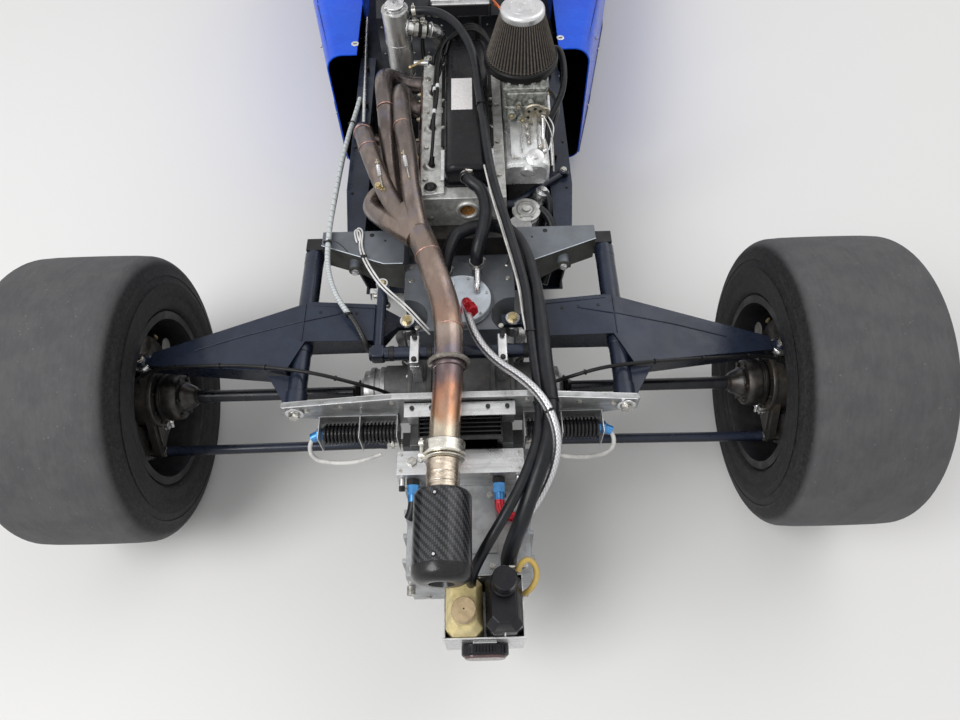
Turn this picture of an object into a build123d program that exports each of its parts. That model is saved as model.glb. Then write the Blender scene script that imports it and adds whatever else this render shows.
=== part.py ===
from build123d import *
import math
import os

# Open wheel single seat racing car with its engine cover and rear wing off.
# Millimetres. X is to the car's right, Y is forward, Z is up.
# The sizes are laid out from the rear axle (Y = 0) and the ground (Z = 0).
# The finished pieces are moved so that the origin is under the middle of the car.

# Driving dimensions of the whole car
WHEELBASE = 2500
REAR_TRACK = 1412
FRONT_TRACK = 1400
NOSE_TIP_Y = WHEELBASE + 705
TAIL_END_Y = -505
RIDE_HEIGHT = 50
SEAT_GAP = 0.3

# Wheels
REAR_TYRE_RADIUS = 285
REAR_TYRE_WIDTH = 260
FRONT_TYRE_RADIUS = 268
FRONT_TYRE_WIDTH = 196
RIM_RADIUS = 165
RIM_WALL = 6
RIM_LIP = 9
BARREL_INNER_RADIUS = 154
BEAD_INSET = 16
LIP_THICKNESS = 5
WHEEL_DISC = 12
DISC_RADIUS = 127
DISC_THICKNESS = 10
DISC_TO_WHEEL_FACE = 60
WHEEL_FACE_INSET = 70
CALIPER_HALF = 26
REAR_DISC_X = (REAR_TRACK + REAR_TYRE_WIDTH) / 2 - BEAD_INSET + SEAT_GAP + LIP_THICKNESS \
    - WHEEL_FACE_INSET - DISC_TO_WHEEL_FACE + DISC_THICKNESS / 2

# Rear axle line
CV_INNER_X = REAR_TRACK / 2 - 143
CV_RADIUS = 48
SHAFT_RADIUS = 12
OUTPUT_FLANGE_X = 150
UPRIGHT_BORE = 40
STUB_RADIUS = 34

# Rear suspension points
PIVOT_X = 299
PIVOT_Z = 400
PIVOT_TUBE_RADIUS = 17
PIVOT_FRONT_Y = 262
BEAM_Y = -94
BEAM_THICKNESS = 10
ROCKER_BALL = (REAR_TRACK / 2 - 88, 29, 370)
TOE_LINK_OUTER = (REAR_TRACK / 2 - 61, -80, 200)
TOE_LINK_INNER = (125, -75, 200)
LINK_RADIUS = 10
DAMPER_X = 104
DAMPER_Y = 100
DAMPER_BASE_Z = 140
DAMPER_TOP_Z = 372
SPRING_RADIUS = 29

# Casings down the middle of the car
TANK_HALF_WIDTH = 110
TANK_TOP_Z = 400
TANK_REAR_Y = 66
TANK_STEP_Y = 234
TANK_STEP_Z = 345
ENGINE_REAR_Y = 300
ENGINE_FRONT_Y = 900
ENGINE_LEFT_X = -95
ENGINE_RIGHT_X = 105
BLOCK_TOP_Z = 400
SUMP_Z = 70
HEAD_TOP_Z = 480
CAM_COVER_TOP_Z = HEAD_TOP_Z + 50
CAM_COVER_EDGE = 22
HEAD_LEFT_X = -77
HEAD_RIGHT_X = 100
HEAD_REAR_Y = 336
HEAD_FRONT_Y = 803
RAIL_INNER_X = 216
RAIL_OUTER_X = 256
RAIL_TOP_Z = 370
TRAY_Z = 60
GEARBOX_TOP_Z = 345
GEARBOX_STEP_Y = -150
TAIL_TOP_Z = 300
TAIL_REAR_Y = -376
WING_POST_Y = -290
WING_POST_WIDTH = 150
WING_POST_LENGTH = 110

# Tub
TUB_REAR_Y = 960
TUB_FRONT_Y = WHEELBASE + 60
TUB_TAPER_Y = WHEELBASE - 450
TUB_HALF_WIDTH = 255
TUB_NOSE_HALF_WIDTH = 180
TUB_TOP_Z = 360
TUB_SIDE = 78
TUB_FLOOR = 12
SEAT_BACK_Y = TUB_REAR_Y + 220
BULKHEAD_TOP_Z = 520
SCREEN_Y = TUB_TAPER_Y - 220
SCREEN_FOOT_Z = 538
SCREEN_TOP_Z = 600
SCREEN_BOW = 45
ROLL_HOOP_Y = TUB_REAR_Y + 140

# Sidepods
POD_WALL = 4
POD_TOP_CORNER = 45
POD_TOP_Z = 420
POD_BOTTOM_Z = 60
POD_REAR_Y = TUB_REAR_Y - 55
POD_FRONT_Y = WHEELBASE - 500

# Front suspension and steering
KINGPIN_X = FRONT_TRACK / 2 - 70
ARM_LENGTH = 105
ARM_X = KINGPIN_X
PIN_RADIUS = 6
EYE_RADIUS = 16
PIN_DIP = ARM_LENGTH * (1 - math.cos(math.radians(18))) / 2
RACK_Y = WHEELBASE + ARM_LENGTH
RACK_Z = 232
BODY_SHELL = 4
WISHBONE_INNER_X = 222
FRONT_STUB_RADIUS = 20
UPRIGHT_REACH = 88
RACK_ROD_RADIUS = 9
FRONT_DISC_RADIUS = 120
FRONT_DISC_X = KINGPIN_X + 29
ARM_TOP_Z = RACK_Z - RACK_ROD_RADIUS - 5
COLUMN_TOP = (0, SEAT_BACK_Y + 510, 500)
COLUMN_FOOT = (0, RACK_Y - 30, 258)
COLUMN_RADIUS = 10
WHEEL_RADIUS = 130

MIDDLE_Y = (NOSE_TIP_Y + TAIL_END_Y) / 2


def block(x0, x1, y0, y1, z0, z1):
    """Box between two corners."""
    centre = ((x0 + x1) / 2, (y0 + y1) / 2, (z0 + z1) / 2)
    return Pos(*centre) * Box(abs(x1 - x0), abs(y1 - y0), abs(z1 - z0))


def bar(start, end, radius, bore=0):
    """Straight round bar or tube from one point to another."""
    run = Vector(*end) - Vector(*start)
    place = Plane(origin=start, z_dir=run)
    solid = Part() + Solid.make_cylinder(radius, run.length, place)
    if bore:
        solid -= Solid.make_cylinder(bore, run.length, place)
    return solid


def bend_radii(points):
    """Radius for each corner of a route, as large as its two runs allow."""
    radii = []
    for before, here, after in zip(points, points[1:], points[2:]):
        run_in = Vector(*here) - Vector(*before)
        run_out = Vector(*after) - Vector(*here)
        half_turn = math.radians(run_in.get_angle(run_out)) / 2
        radii.append(0.45 * min(run_in.length, run_out.length) / math.tan(half_turn))
    return radii


def tube(points, radius, bore=0, radii=None):
    """Round tube along straight runs joined by tangent arcs."""
    path = FilletPolyline(*points, radius=radii or bend_radii(points))
    start = Plane(origin=path @ 0, z_dir=path % 0)
    profile = Circle(radius)
    if bore:
        profile -= Circle(bore)
    return Part() + sweep(start * profile, path=path)


def flat(points, z0, z1):
    """Plate from a plan outline between two heights."""
    return extrude(Plane.XY.offset(z0) * make_face(Polyline(*points, close=True)), z1 - z0)


def across(points, y0, y1):
    """Plate from a front view outline (x, z) between two lengths."""
    face = Plane.XZ.offset(-y1) * make_face(Polyline(*points, close=True))
    return extrude(face, y1 - y0)


def side(points, x0, x1):
    """Plate from a side view outline (y, z) between two widths."""
    return extrude(Plane.YZ.offset(x0) * make_face(Polyline(*points, close=True)), x1 - x0)


def turned(points, centre_y, centre_z):
    """Solid of revolution about a cross car axis, from (x, radius) points."""
    face = make_face(Polyline(*points, close=True))
    return Pos(0, centre_y, centre_z) * revolve(face, Axis.X)


def both_sides(shape):
    """The shape and its mirror image across the car."""
    return [shape, mirror(shape, about=Plane.YZ)]


nodes = {}


def keep(name, *solids):
    """Put the finished solids of one piece under its node's name."""
    nodes[name] = [solid for solid in solids]


# Tyres and rims

def tyre_section(width, radius):
    """Half outline of a slick's section as (distance from centre plane, radius)."""
    half = width / 2
    with_lines = [
        Line((0, RIM_RADIUS), (half - BEAD_INSET, RIM_RADIUS)),
        Line((half - BEAD_INSET, RIM_RADIUS), (half - BEAD_INSET, RIM_RADIUS + RIM_LIP + 2)),
        Line((half - BEAD_INSET, RIM_RADIUS + RIM_LIP + 2), (half - 8, RIM_RADIUS + RIM_LIP + 6)),
        ThreePointArc((half - 8, RIM_RADIUS + RIM_LIP + 6), (half, RIM_RADIUS + 55), (half - 5, radius - 30)),
        ThreePointArc((half - 5, radius - 30), (half - 12, radius - 11), (half - 32, radius - 2)),
        Line((half - 32, radius - 2), (0, radius)),
        Line((0, radius), (0, RIM_RADIUS)),
    ]
    return make_face(Wire(with_lines))


def tyre(centre_x, centre_y, width, radius):
    """Slick tyre, filled down to its bead seat."""
    half_tyre = revolve(tyre_section(width, radius), Axis.X)
    whole = half_tyre + mirror(half_tyre, about=Plane.YZ)
    return Pos(centre_x, centre_y, radius) * whole


def rim(centre_x, centre_y, width, height):
    """Wheel rim with its spoked disc, for the right side, bolted to a hub."""
    bead = width / 2 - BEAD_INSET + SEAT_GAP
    half = bead + LIP_THICKNESS
    seat = RIM_RADIUS - SEAT_GAP
    barrel = [
        (-half, seat + RIM_LIP), (-bead, seat + RIM_LIP), (-bead, seat), (bead, seat),
        (bead, seat + RIM_LIP), (half, seat + RIM_LIP), (half, seat - RIM_WALL),
        (half - 20, BARREL_INNER_RADIUS), (-half + 20, BARREL_INNER_RADIUS), (-half, seat - RIM_WALL),
    ]
    disc_x = half - WHEEL_FACE_INSET
    disc = [
        (disc_x, 0), (disc_x + WHEEL_DISC, 0), (disc_x + WHEEL_DISC, 70), (disc_x + 30, 120),
        (disc_x + 34, BARREL_INNER_RADIUS + 1), (disc_x + 22, BARREL_INNER_RADIUS + 1), (disc_x + 18, 120),
        (disc_x, 70),
    ]
    solid = turned(barrel, 0, 0) + turned(disc, 0, 0)
    slots = PolarLocations(108, 8)
    for place in slots:
        hole = Plane.YZ.offset(disc_x - 5) * place * Cylinder(17, 60, align=(Align.CENTER, Align.CENTER, Align.MIN))
        solid -= hole
    nut = bar((disc_x + WHEEL_DISC, 0, 0), (disc_x + WHEEL_DISC + 26, 0, 0), 30)
    return Pos(centre_x, centre_y, height) * (solid + nut), centre_x + disc_x


def on_side(shape, sign):
    """Leave a right side shape as it is, or mirror it to the left."""
    return shape if sign > 0 else mirror(shape, about=Plane.YZ)


def rear_wheels():
    """Rear tyres, rims, and the drive shafts that turn with them."""
    centre = REAR_TRACK / 2
    height = REAR_TYRE_RADIUS
    for name, sign in (("left", -1), ("right", 1)):
        rubber = tyre(centre, 0, REAR_TYRE_WIDTH, REAR_TYRE_RADIUS)
        wheel, disc_x = rim(centre, 0, REAR_TYRE_WIDTH, height)
        shaft = turned([
            (OUTPUT_FLANGE_X + SEAT_GAP, 0), (OUTPUT_FLANGE_X + SEAT_GAP, 50), (OUTPUT_FLANGE_X + 12, 50),
            (OUTPUT_FLANGE_X + 14, 44), (OUTPUT_FLANGE_X + 45, 44), (OUTPUT_FLANGE_X + 52, 22),
            (OUTPUT_FLANGE_X + 66, SHAFT_RADIUS), (CV_INNER_X - 26, SHAFT_RADIUS), (CV_INNER_X - 8, 26),
            (CV_INNER_X, 42), (CV_INNER_X, CV_RADIUS), (CV_INNER_X + 34, CV_RADIUS), (CV_INNER_X + 40, STUB_RADIUS),
            (disc_x - 26, STUB_RADIUS), (disc_x - 26, 62), (disc_x, 62), (disc_x, 0),
        ], 0, height)
        brake_x = disc_x - DISC_TO_WHEEL_FACE
        brake = turned([
            (brake_x, 62), (brake_x, DISC_RADIUS), (brake_x + DISC_THICKNESS, DISC_RADIUS),
            (brake_x + DISC_THICKNESS, 75), (disc_x - 26, 70), (disc_x - 26, 62),
        ], 0, height)
        keep(f"tyre_rear_{name}", on_side(rubber, sign))
        keep(f"rim_rear_{name}", on_side(wheel, sign))
        keep(f"drive_shaft_{name}", on_side(shaft + brake, sign))


# Rear suspension

def rear_rocker():
    """Right rear rocker arm: a fabricated box on a fore and aft pivot tube."""
    x, y, z = ROCKER_BALL
    tip = x - 22
    plan = [(120, 88), (155, 36), (290, 34), (320, -29), (tip, y - 15), (tip, y + 15), (283, 126), (157, 120),
            (120, 112)]
    front = [(120, 374), (163, 374), (300, 376), (tip, z - 13), (tip, z + 13), (300, 424), (163, 418), (120, 386)]
    arm = flat(plan, 340, 440) & across(front, -60, 200)
    tongue = block(82, 130, 88, 112, DAMPER_TOP_Z, DAMPER_TOP_Z + 12)
    pivot = bar((PIVOT_X, PIVOT_FRONT_Y, PIVOT_Z), (PIVOT_X, BEAM_Y, PIVOT_Z), PIVOT_TUBE_RADIUS)
    neck = bar((tip - 6, y, z), (x - 8, y, z), 11)
    ball = Pos(x, y, z) * Sphere(15)
    stud = bar((DAMPER_X, DAMPER_Y, DAMPER_TOP_Z - 5), (DAMPER_X, DAMPER_Y, DAMPER_TOP_Z + 30), 6 + SEAT_GAP)
    return arm + tongue + pivot + neck + ball - stud


def rear_upright():
    """Right rear upright: a bearing housing with a fabricated side plate."""
    x, y, z = ROCKER_BALL
    axle = REAR_TYRE_RADIUS
    foot_z = TOE_LINK_OUTER[2] + 10 + SEAT_GAP
    plate = side([(y - 22, z - 15), (y + 22, z - 15), (62, axle), (30, axle - 62), (-62, foot_z),
                  (-98, foot_z), (-98, foot_z + 12), (-60, axle)], x - 6, x + 8)
    housing = bar((x - 6, 0, axle), (x + 50, 0, axle), 56)
    foot = block(x - 6, TOE_LINK_OUTER[0] + 14, -96, -64, foot_z, foot_z + 9)
    ear = block(x + 20, REAR_DISC_X - CALIPER_HALF - SEAT_GAP, 40, 112, 262, 300)
    solid = plate + housing + foot + ear
    return solid - bar((x - 60, 0, axle), (x + 120, 0, axle), UPRIGHT_BORE)


def brake_caliper(centre_x, centre_y, height, forward):
    """Right side caliper over the brake disc, bolted to the upright."""
    disc_mid = centre_x
    outline = [(forward * 84, -48), (forward * 128, -48), (forward * 138, 0), (forward * 128, 40), (forward * 84, 40)]
    body = side([(centre_y + y, height + z) for y, z in outline], disc_mid - CALIPER_HALF, disc_mid + CALIPER_HALF)
    slot = bar((disc_mid - 11, centre_y, height), (disc_mid + 11, centre_y, height), DISC_RADIUS + 6)
    return body - slot


def rear_links():
    """Right rear lower links: the toe link and the lower wishbone."""
    ox, oy, oz = TOE_LINK_OUTER
    ix, iy, iz = TOE_LINK_INNER
    link = bar((ix + 6, iy, iz), (ox - 24, oy, oz), LINK_RADIUS)
    link += block(ix, ix + 8, iy - 7, iy + 7, iz - 7, iz + 7)
    link += Pos(ox, oy, oz) * Cylinder(16, 20)
    link += bar((ox - 30, oy, oz), (ox - 8, oy, oz), 7)
    return link


def spring_damper():
    """Right rear spring and damper unit, standing beside the oil tank."""
    base, top = DAMPER_BASE_Z, DAMPER_TOP_Z
    coils = 7
    coil_pitch = (top - base - 70) / coils
    outline = [(0, base), (12, base), (12, base + 18), (SPRING_RADIUS, base + 22), (SPRING_RADIUS, base + 28)]
    for number in range(coils):
        z = base + 30 + number * coil_pitch
        outline += [(SPRING_RADIUS - 7, z), (SPRING_RADIUS, z + coil_pitch / 3), (SPRING_RADIUS, z + 2 * coil_pitch / 3)]
    outline += [(SPRING_RADIUS - 7, top - 40), (SPRING_RADIUS, top - 38), (SPRING_RADIUS, top - 30), (14, top - 24),
                (14, top), (6, top), (6, top + 12 + SEAT_GAP), (10, top + 12 + SEAT_GAP), (10, top + 24), (0, top + 24)]
    face = Plane.XZ * make_face(Polyline(*outline, close=True))
    return Pos(DAMPER_X, DAMPER_Y, 0) * revolve(face, Axis.Z)


def anti_roll_bar():
    """Rear anti roll bar with its left lever, across the top of the gearbox."""
    z = 425
    rod = bar((-166, 0, z), (131, 0, z), 13)
    lever = block(-158, -142, 0, 160, z - 8, z + 8)
    boss = Pos(-150, 160, z) * Cylinder(12, 22)
    return rod + lever + boss


def roll_bar_clamps():
    """Two clamp blocks that carry the anti roll bar on the gearbox."""
    pair = []
    for x in (-82, 80):
        post = block(x - 9, x + 9, -17, 17, GEARBOX_TOP_Z, 446)
        pair.append(post - bar((x - 20, 0, 425), (x + 20, 0, 425), 13 + SEAT_GAP))
    return pair


def rear_suspension():
    """All rear suspension pieces."""
    keep("rear_rockers", *both_sides(rear_rocker()))
    keep("rear_uprights", *both_sides(rear_upright()))
    keep("rear_links", *both_sides(rear_links()))
    keep("spring_dampers", *both_sides(spring_damper()))
    keep("anti_roll_bar", anti_roll_bar(), *roll_bar_clamps())
    keep("rear_calipers", *both_sides(brake_caliper(REAR_DISC_X, 0, REAR_TYRE_RADIUS, 1)))


# Casings, crossmember and beam

def oil_tank():
    """Bellhousing oil tank with its side recesses, lid and spigots."""
    body = block(-TANK_HALF_WIDTH, TANK_HALF_WIDTH, TANK_REAR_Y, TANK_STEP_Y, 130, TANK_TOP_Z)
    body += block(-TANK_HALF_WIDTH, TANK_HALF_WIDTH, TANK_STEP_Y, ENGINE_REAR_Y, 130, TANK_STEP_Z)
    for sign in (-1, 1):
        recess = Pos(sign * DAMPER_X, DAMPER_Y, DAMPER_BASE_Z) * Cylinder(
            SPRING_RADIUS + 13, 400, align=(Align.CENTER, Align.CENTER, Align.MIN))
        body -= recess
        body -= block(sign * DAMPER_X, sign * 200, DAMPER_Y - 42, DAMPER_Y + 42, DAMPER_BASE_Z, 600)
    lid = Pos(5, 132, TANK_TOP_Z) * Cylinder(57, 12, align=(Align.CENTER, Align.CENTER, Align.MIN))
    small_lid = Pos(-31, 166, TANK_TOP_Z) * Cylinder(22, 20, align=(Align.CENTER, Align.CENTER, Align.MIN))
    spigot = bar((36, 206, TANK_TOP_Z), (36, 206, TANK_TOP_Z + 26), 11)
    return body + lid + small_lid + spigot


def crossmember_wing():
    """Right wing of the rear crossmember, a tapered box in sheet metal."""
    plan = [(TANK_HALF_WIDTH, 212), (150, 212), (280, 264), (280, 300), (TANK_HALF_WIDTH, 300)]
    front = [(TANK_HALF_WIDTH, 345), (TANK_HALF_WIDTH, 430), (280, 430), (280, RAIL_TOP_Z), (200, RAIL_TOP_Z)]
    box = flat(plan, 300, 460) & across(front, 200, 310)
    lug = block(280, 314, PIVOT_FRONT_Y, 292, PIVOT_Z - 17, PIVOT_Z + 20)
    pad = bar((212, 250, 403), (212, 218, 403), 12)
    return box + lug + pad


def gearbox():
    """Gearbox: main case, output bosses, stepped tail casing and side ribs."""
    case = block(-95, 95, GEARBOX_STEP_Y, TANK_REAR_Y, 125, GEARBOX_TOP_Z)
    tail = block(-100, 118, TAIL_REAR_Y, GEARBOX_STEP_Y, 140, TAIL_TOP_Z)
    solid = case + tail
    solid += bar((-OUTPUT_FLANGE_X, 0, REAR_TYRE_RADIUS), (OUTPUT_FLANGE_X, 0, REAR_TYRE_RADIUS), 52)
    solid += block(-108, 126, GEARBOX_STEP_Y - 10, GEARBOX_STEP_Y + 6, 132, TAIL_TOP_Z + 6)
    solid += block(-103, 103, TANK_REAR_Y - 12, TANK_REAR_Y, 125, GEARBOX_TOP_Z)
    for y in (-345, -300, -255, -210):
        solid += block(-108, 126, y - 4, y + 4, 150, TAIL_TOP_Z - 12)
    for z in (190, 240):
        solid += block(-105, 123, TAIL_REAR_Y + 10, GEARBOX_STEP_Y, z - 4, z + 4)
    ix, iy, iz = TOE_LINK_INNER
    for sign in (-1, 1):
        solid += block(sign * 90, sign * ix, iy - 16, iy + 16, iz - 16, iz + 16)
        for y in (WING_POST_Y - WING_POST_LENGTH / 2, WING_POST_Y + WING_POST_LENGTH / 2):
            x = sign * WING_POST_WIDTH / 2
            solid -= bar((x, y, TAIL_TOP_Z - 25), (x, y, TAIL_TOP_Z + 5), 4)
    return solid


def rear_beam():
    """Flat plate across the back that carries the rocker pivots."""
    outline = [(-322, 382), (-322, 418), (-120, 440), (120, 440), (322, 418), (322, 382),
               (130, GEARBOX_TOP_Z), (-130, GEARBOX_TOP_Z)]
    return across(outline, BEAM_Y - BEAM_THICKNESS, BEAM_Y)


def side_cooler():
    """Right finned cooler in its sheet cradle behind the beam."""
    rear = BEAM_Y - BEAM_THICKNESS
    body = block(120, 250, rear - 40, rear - 4, 338, 372)
    for number in range(9):
        x = 124 + number * 14
        body += block(x, x + 6, rear - 44, rear - 4, 332, 378)
    cradle = block(114, 260, rear - 4, rear, 326, 384)
    for x in (114, 182, 256):
        cradle += block(x, x + 3, rear - 46, rear, 326, 384)
    return body + cradle


def centre_cooler():
    """Middle finned cooler with its angle bracket and the flat oil box behind it."""
    rear = BEAM_Y - BEAM_THICKNESS
    core = block(-75, 75, rear - 58, rear - 4, GEARBOX_TOP_Z, 390)
    for number in range(6):
        y = rear - 56 + number * 9
        core += block(-75, 75, y, y + 5, GEARBOX_TOP_Z, 398)
    bracket = block(-98, 98, rear - 4, rear, GEARBOX_TOP_Z, 428)
    return core + bracket


def oil_box():
    """Brushed box behind the middle cooler."""
    return block(-116, 112, -214, -167, TAIL_TOP_Z, 360)


def catch_tray():
    """Open sheet tray behind the gearbox."""
    wall = 2
    outer = block(-33, 101, -482, TAIL_REAR_Y, 215, 300)
    return outer - block(-33 + wall, 101 - wall, -482 + wall, TAIL_REAR_Y - wall, 215 + wall, 320)


def catch_bottles():
    """The pale and the dark catch bottle with their caps."""
    pale = block(-30, 32, -478, -384, 217, 330)
    pale += Pos(2, -446, 330) * Cylinder(24, 30, align=(Align.CENTER, Align.CENTER, Align.MIN))
    dark = block(37, 98, -478, -384, 217, 350)
    dark += Pos(68, -408, 350) * Cylinder(24, 46, align=(Align.CENTER, Align.CENTER, Align.MIN))
    return [pale, dark]


def rain_light():
    """Round cornered rear light on the tray."""
    return block(-6, 74, TAIL_END_Y, -482, 232, 276)


def middle_casings():
    """Everything bolted in line behind the engine."""
    keep("oil_tank", oil_tank())
    keep("rear_crossmember", *both_sides(crossmember_wing()))
    keep("gearbox", gearbox())
    keep("rear_beam", rear_beam())
    keep("side_coolers", *both_sides(side_cooler()))
    keep("centre_cooler", centre_cooler())
    keep("oil_box", oil_box())
    keep("catch_tray", catch_tray())
    keep("catch_bottles", *catch_bottles())
    keep("rain_light", rain_light())


# Engine

def engine_block():
    """Plain block of the in line four with its sump and side mounts."""
    solid = block(ENGINE_LEFT_X, ENGINE_RIGHT_X, ENGINE_REAR_Y, ENGINE_FRONT_Y, 130, BLOCK_TOP_Z)
    solid += block(ENGINE_LEFT_X + 20, ENGINE_RIGHT_X - 20, ENGINE_REAR_Y + 40, ENGINE_FRONT_Y - 60, SUMP_Z, 130)
    solid += block(-RAIL_INNER_X, RAIL_INNER_X, ENGINE_FRONT_Y - 40, ENGINE_FRONT_Y - 10, 335, 360)
    return solid


def cylinder_head():
    """Head with its rear face, exhaust port row and core plug recess."""
    solid = block(HEAD_LEFT_X, HEAD_RIGHT_X, HEAD_REAR_Y, HEAD_FRONT_Y, BLOCK_TOP_Z, HEAD_TOP_Z)
    solid -= bar((20, HEAD_REAR_Y - 5, 445), (20, HEAD_REAR_Y + 6, 445), 18)
    return solid


def cam_cover():
    """Long rounded cam cover."""
    solid = block(-25, 71, 372, 800, HEAD_TOP_Z, CAM_COVER_TOP_Z)
    return fillet(solid.edges().filter_by(Axis.Y).group_by(Axis.Z)[-1], CAM_COVER_EDGE)


def carburettor():
    """Intake manifold on the right of the head, and the carburettor on it."""
    trunk = block(HEAD_RIGHT_X, 199, 440, 735, 405, 470)
    trunk = fillet(trunk.edges().filter_by(Axis.Y).group_by(Axis.X)[-1], 20)
    throat = block(HEAD_RIGHT_X + 8, 190, 500, 560, 470, 484)
    body = block(HEAD_RIGHT_X, 197, 566, 728, 470, 546) + block(HEAD_RIGHT_X, 199, 572, 724, 546, 560)
    solid = trunk + throat + body
    for x, z, radius in ((120, 500, 11), (145, 490, 14), (184, 484, 8)):
        solid += bar((x, 570, z), (x, 557, z), radius)
    solid += bar((168, 570, 510), (168, 545, 510), 6)
    return solid + bar((168, 552, 510), (168, 547, 510), 25)


def air_filter():
    """Cone air filter with its rubber base and metal cap."""
    return Pos(143, 660, 560) * revolve(Plane.XZ * make_face(Polyline(
        (0, 0), (80, 0), (80, 18), (75, 20), (44, 118), (46, 120), (46, 128), (0, 128), close=True)), Axis.Z)


PRIMARY_ROUTES = (
    # front, second, third and rear pipe: the points from the head's port to the collector
    [(HEAD_LEFT_X, 748, 441), (-118, 748, 441), (-164, 742, 475), (-168, 690, 500), (-157, 610, 496),
     (-150, 527, 478), (-142, 440, 455), (-126, 350, 448)],
    [(HEAD_LEFT_X, 652, 441), (-100, 652, 441), (-124, 672, 478), (-124, 640, 506), (-116, 534, 506),
     (-100, 436, 508), (-92, 330, 500)],
    [(HEAD_LEFT_X, 525, 441), (-128, 525, 441), (-196, 560, 432), (-209, 570, 466), (-200, 520, 492),
     (-182, 455, 490), (-150, 365, 484), (-112, 285, 482)],
    [(HEAD_LEFT_X, 415, 441), (-120, 415, 441), (-172, 408, 428), (-186, 376, 424), (-176, 345, 438),
     (-148, 298, 464), (-108, 250, 480)],
)


EXHAUST_ROUTE = [(-96, 300, 482), (-62, 205, 490), (-40, 123, 496), (-16, 40, 490), (-16, -80, 478),
                 (-25, -195, 465.5), (-26, -275, 460)]


def exhaust_pipes():
    """Primary pipes from the head, the collector they meet in and the tail pipe over the gearbox."""
    merged = tube(EXHAUST_ROUTE, 26)
    for route in PRIMARY_ROUTES:
        merged += tube(route, 20)
    merged += block(HEAD_LEFT_X - 8, HEAD_LEFT_X, 388, 770, 420, 462)
    clamp = bar((-25, -206, 465), (-25, -226, 463.5), 36)
    slip_ring = bar((-16, -45, 482), (-16, -71, 479), 33)
    return merged + clamp + slip_ring


def muffler():
    """Round muffler at the end of the tail pipe."""
    return bar((-26, -275 - SEAT_GAP, 460), (-28, -440, 449), 48)


def swirl_pot():
    """Upright coolant header pot at the left front of the engine."""
    pot = bar((-132, 815, 380), (-134, 808, 600), 30) + bar((-134, 808, 600), (-134.1, 807.6, 612), 22)
    arm = tube([(-134, 806, 560), (-95, 800, 556), (-60, 806, 546), (-40, 832, 520), (-36, 840, 470),
                (-36, 840, BLOCK_TOP_Z + SEAT_GAP)], 16)
    strap = block(-106, ENGINE_LEFT_X, 800, 830, 384, 394)
    return pot + arm + strap


def control_box():
    """Finned box on two posts over the front of the engine block."""
    box = block(-56, 84, 828, 936, 560, 592)
    for y in (838, 858, 878, 898, 918):
        box += block(-56, 84, y, y + 9, 592, 597)
    for x in (0, 52):
        box += bar((x, 882, BLOCK_TOP_Z + SEAT_GAP), (x, 882, 560), 9)
    return box


def engine():
    """Engine pieces."""
    keep("engine_block", engine_block())
    keep("cylinder_head", cylinder_head())
    keep("cam_cover", cam_cover())
    keep("carburettor", carburettor())
    keep("air_filter", air_filter())
    keep("exhaust_pipes", exhaust_pipes())
    keep("muffler", muffler())
    keep("swirl_pot", swirl_pot())
    keep("control_box", control_box())


# Tub and bodywork

def tub():
    """Sheet metal tub: side boxes, floor, tank bulkhead and front bulkhead."""
    wide, narrow = TUB_HALF_WIDTH, TUB_NOSE_HALF_WIDTH
    outline = [(-wide, TUB_REAR_Y), (wide, TUB_REAR_Y), (wide, TUB_TAPER_Y), (narrow, TUB_FRONT_Y),
               (-narrow, TUB_FRONT_Y), (-wide, TUB_TAPER_Y)]
    solid = flat(outline, RIDE_HEIGHT, TUB_TOP_Z)
    inner, foot = wide - TUB_SIDE, narrow - 30
    cavity = [(-inner, SEAT_BACK_Y), (inner, SEAT_BACK_Y), (inner, TUB_TAPER_Y - 60), (foot, TUB_FRONT_Y - 20),
              (-foot, TUB_FRONT_Y - 20), (-inner, TUB_TAPER_Y - 60)]
    solid -= flat(cavity, RIDE_HEIGHT + TUB_FLOOR, TUB_TOP_Z + 50)
    back = [(TUB_REAR_Y, TUB_TOP_Z), (TUB_REAR_Y, BULKHEAD_TOP_Z - 40), (TUB_REAR_Y + 60, BULKHEAD_TOP_Z),
            (SEAT_BACK_Y - 60, BULKHEAD_TOP_Z),
            (SEAT_BACK_Y, TUB_TOP_Z)]
    solid += side(back, -200, 200)
    for y in (WHEELBASE - 120, WHEELBASE + 20):
        for sign in (-1, 1):
            solid += block(sign * (narrow - 20), sign * WISHBONE_INNER_X, y - 16, y + 16, 150, 180)
    return solid - bar(COLUMN_TOP, COLUMN_FOOT, COLUMN_RADIUS + 8)


def engine_bay_side():
    """Right side of the engine bay: a tapered top rail over an upright sheet."""
    rear, front = 262, TUB_REAR_Y
    outer, inner = RAIL_OUTER_X, RAIL_INNER_X
    rail = flat([(206, rear), (236, rear), (outer, 480), (outer, front), (inner, front), (inner, 640), (206, 540)],
                RAIL_TOP_Z - 30, RAIL_TOP_Z)
    sheet = flat([(231, rear), (235, rear), (outer - 2, 480), (outer - 2, front), (outer - 6, front),
                  (outer - 6, 480)], TRAY_Z, RAIL_TOP_Z - 30)
    cut = side([(200, 340), (300, 340), (420, 90), (420, 50), (200, 50)], 200, 400)
    return rail + (sheet - cut)


def engine_bay_frame():
    """Both sides of the engine bay, the floor tray between them and the brace to the engine."""
    frame = block(-RAIL_OUTER_X + 2, RAIL_OUTER_X - 2, 420, TUB_REAR_Y, TRAY_Z, TRAY_Z + 4)
    for half in both_sides(engine_bay_side()):
        frame += half
    frame += bar((238, 512, RAIL_TOP_Z + 4), (ENGINE_RIGHT_X + 8, 404, 386), 8)
    frame += bar((238, 512, RAIL_TOP_Z - 10), (238, 512, RAIL_TOP_Z + 14), 13)
    return frame + bar((ENGINE_RIGHT_X + SEAT_GAP, 404, 386), (ENGINE_RIGHT_X + 16, 404, 386), 12)


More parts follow.
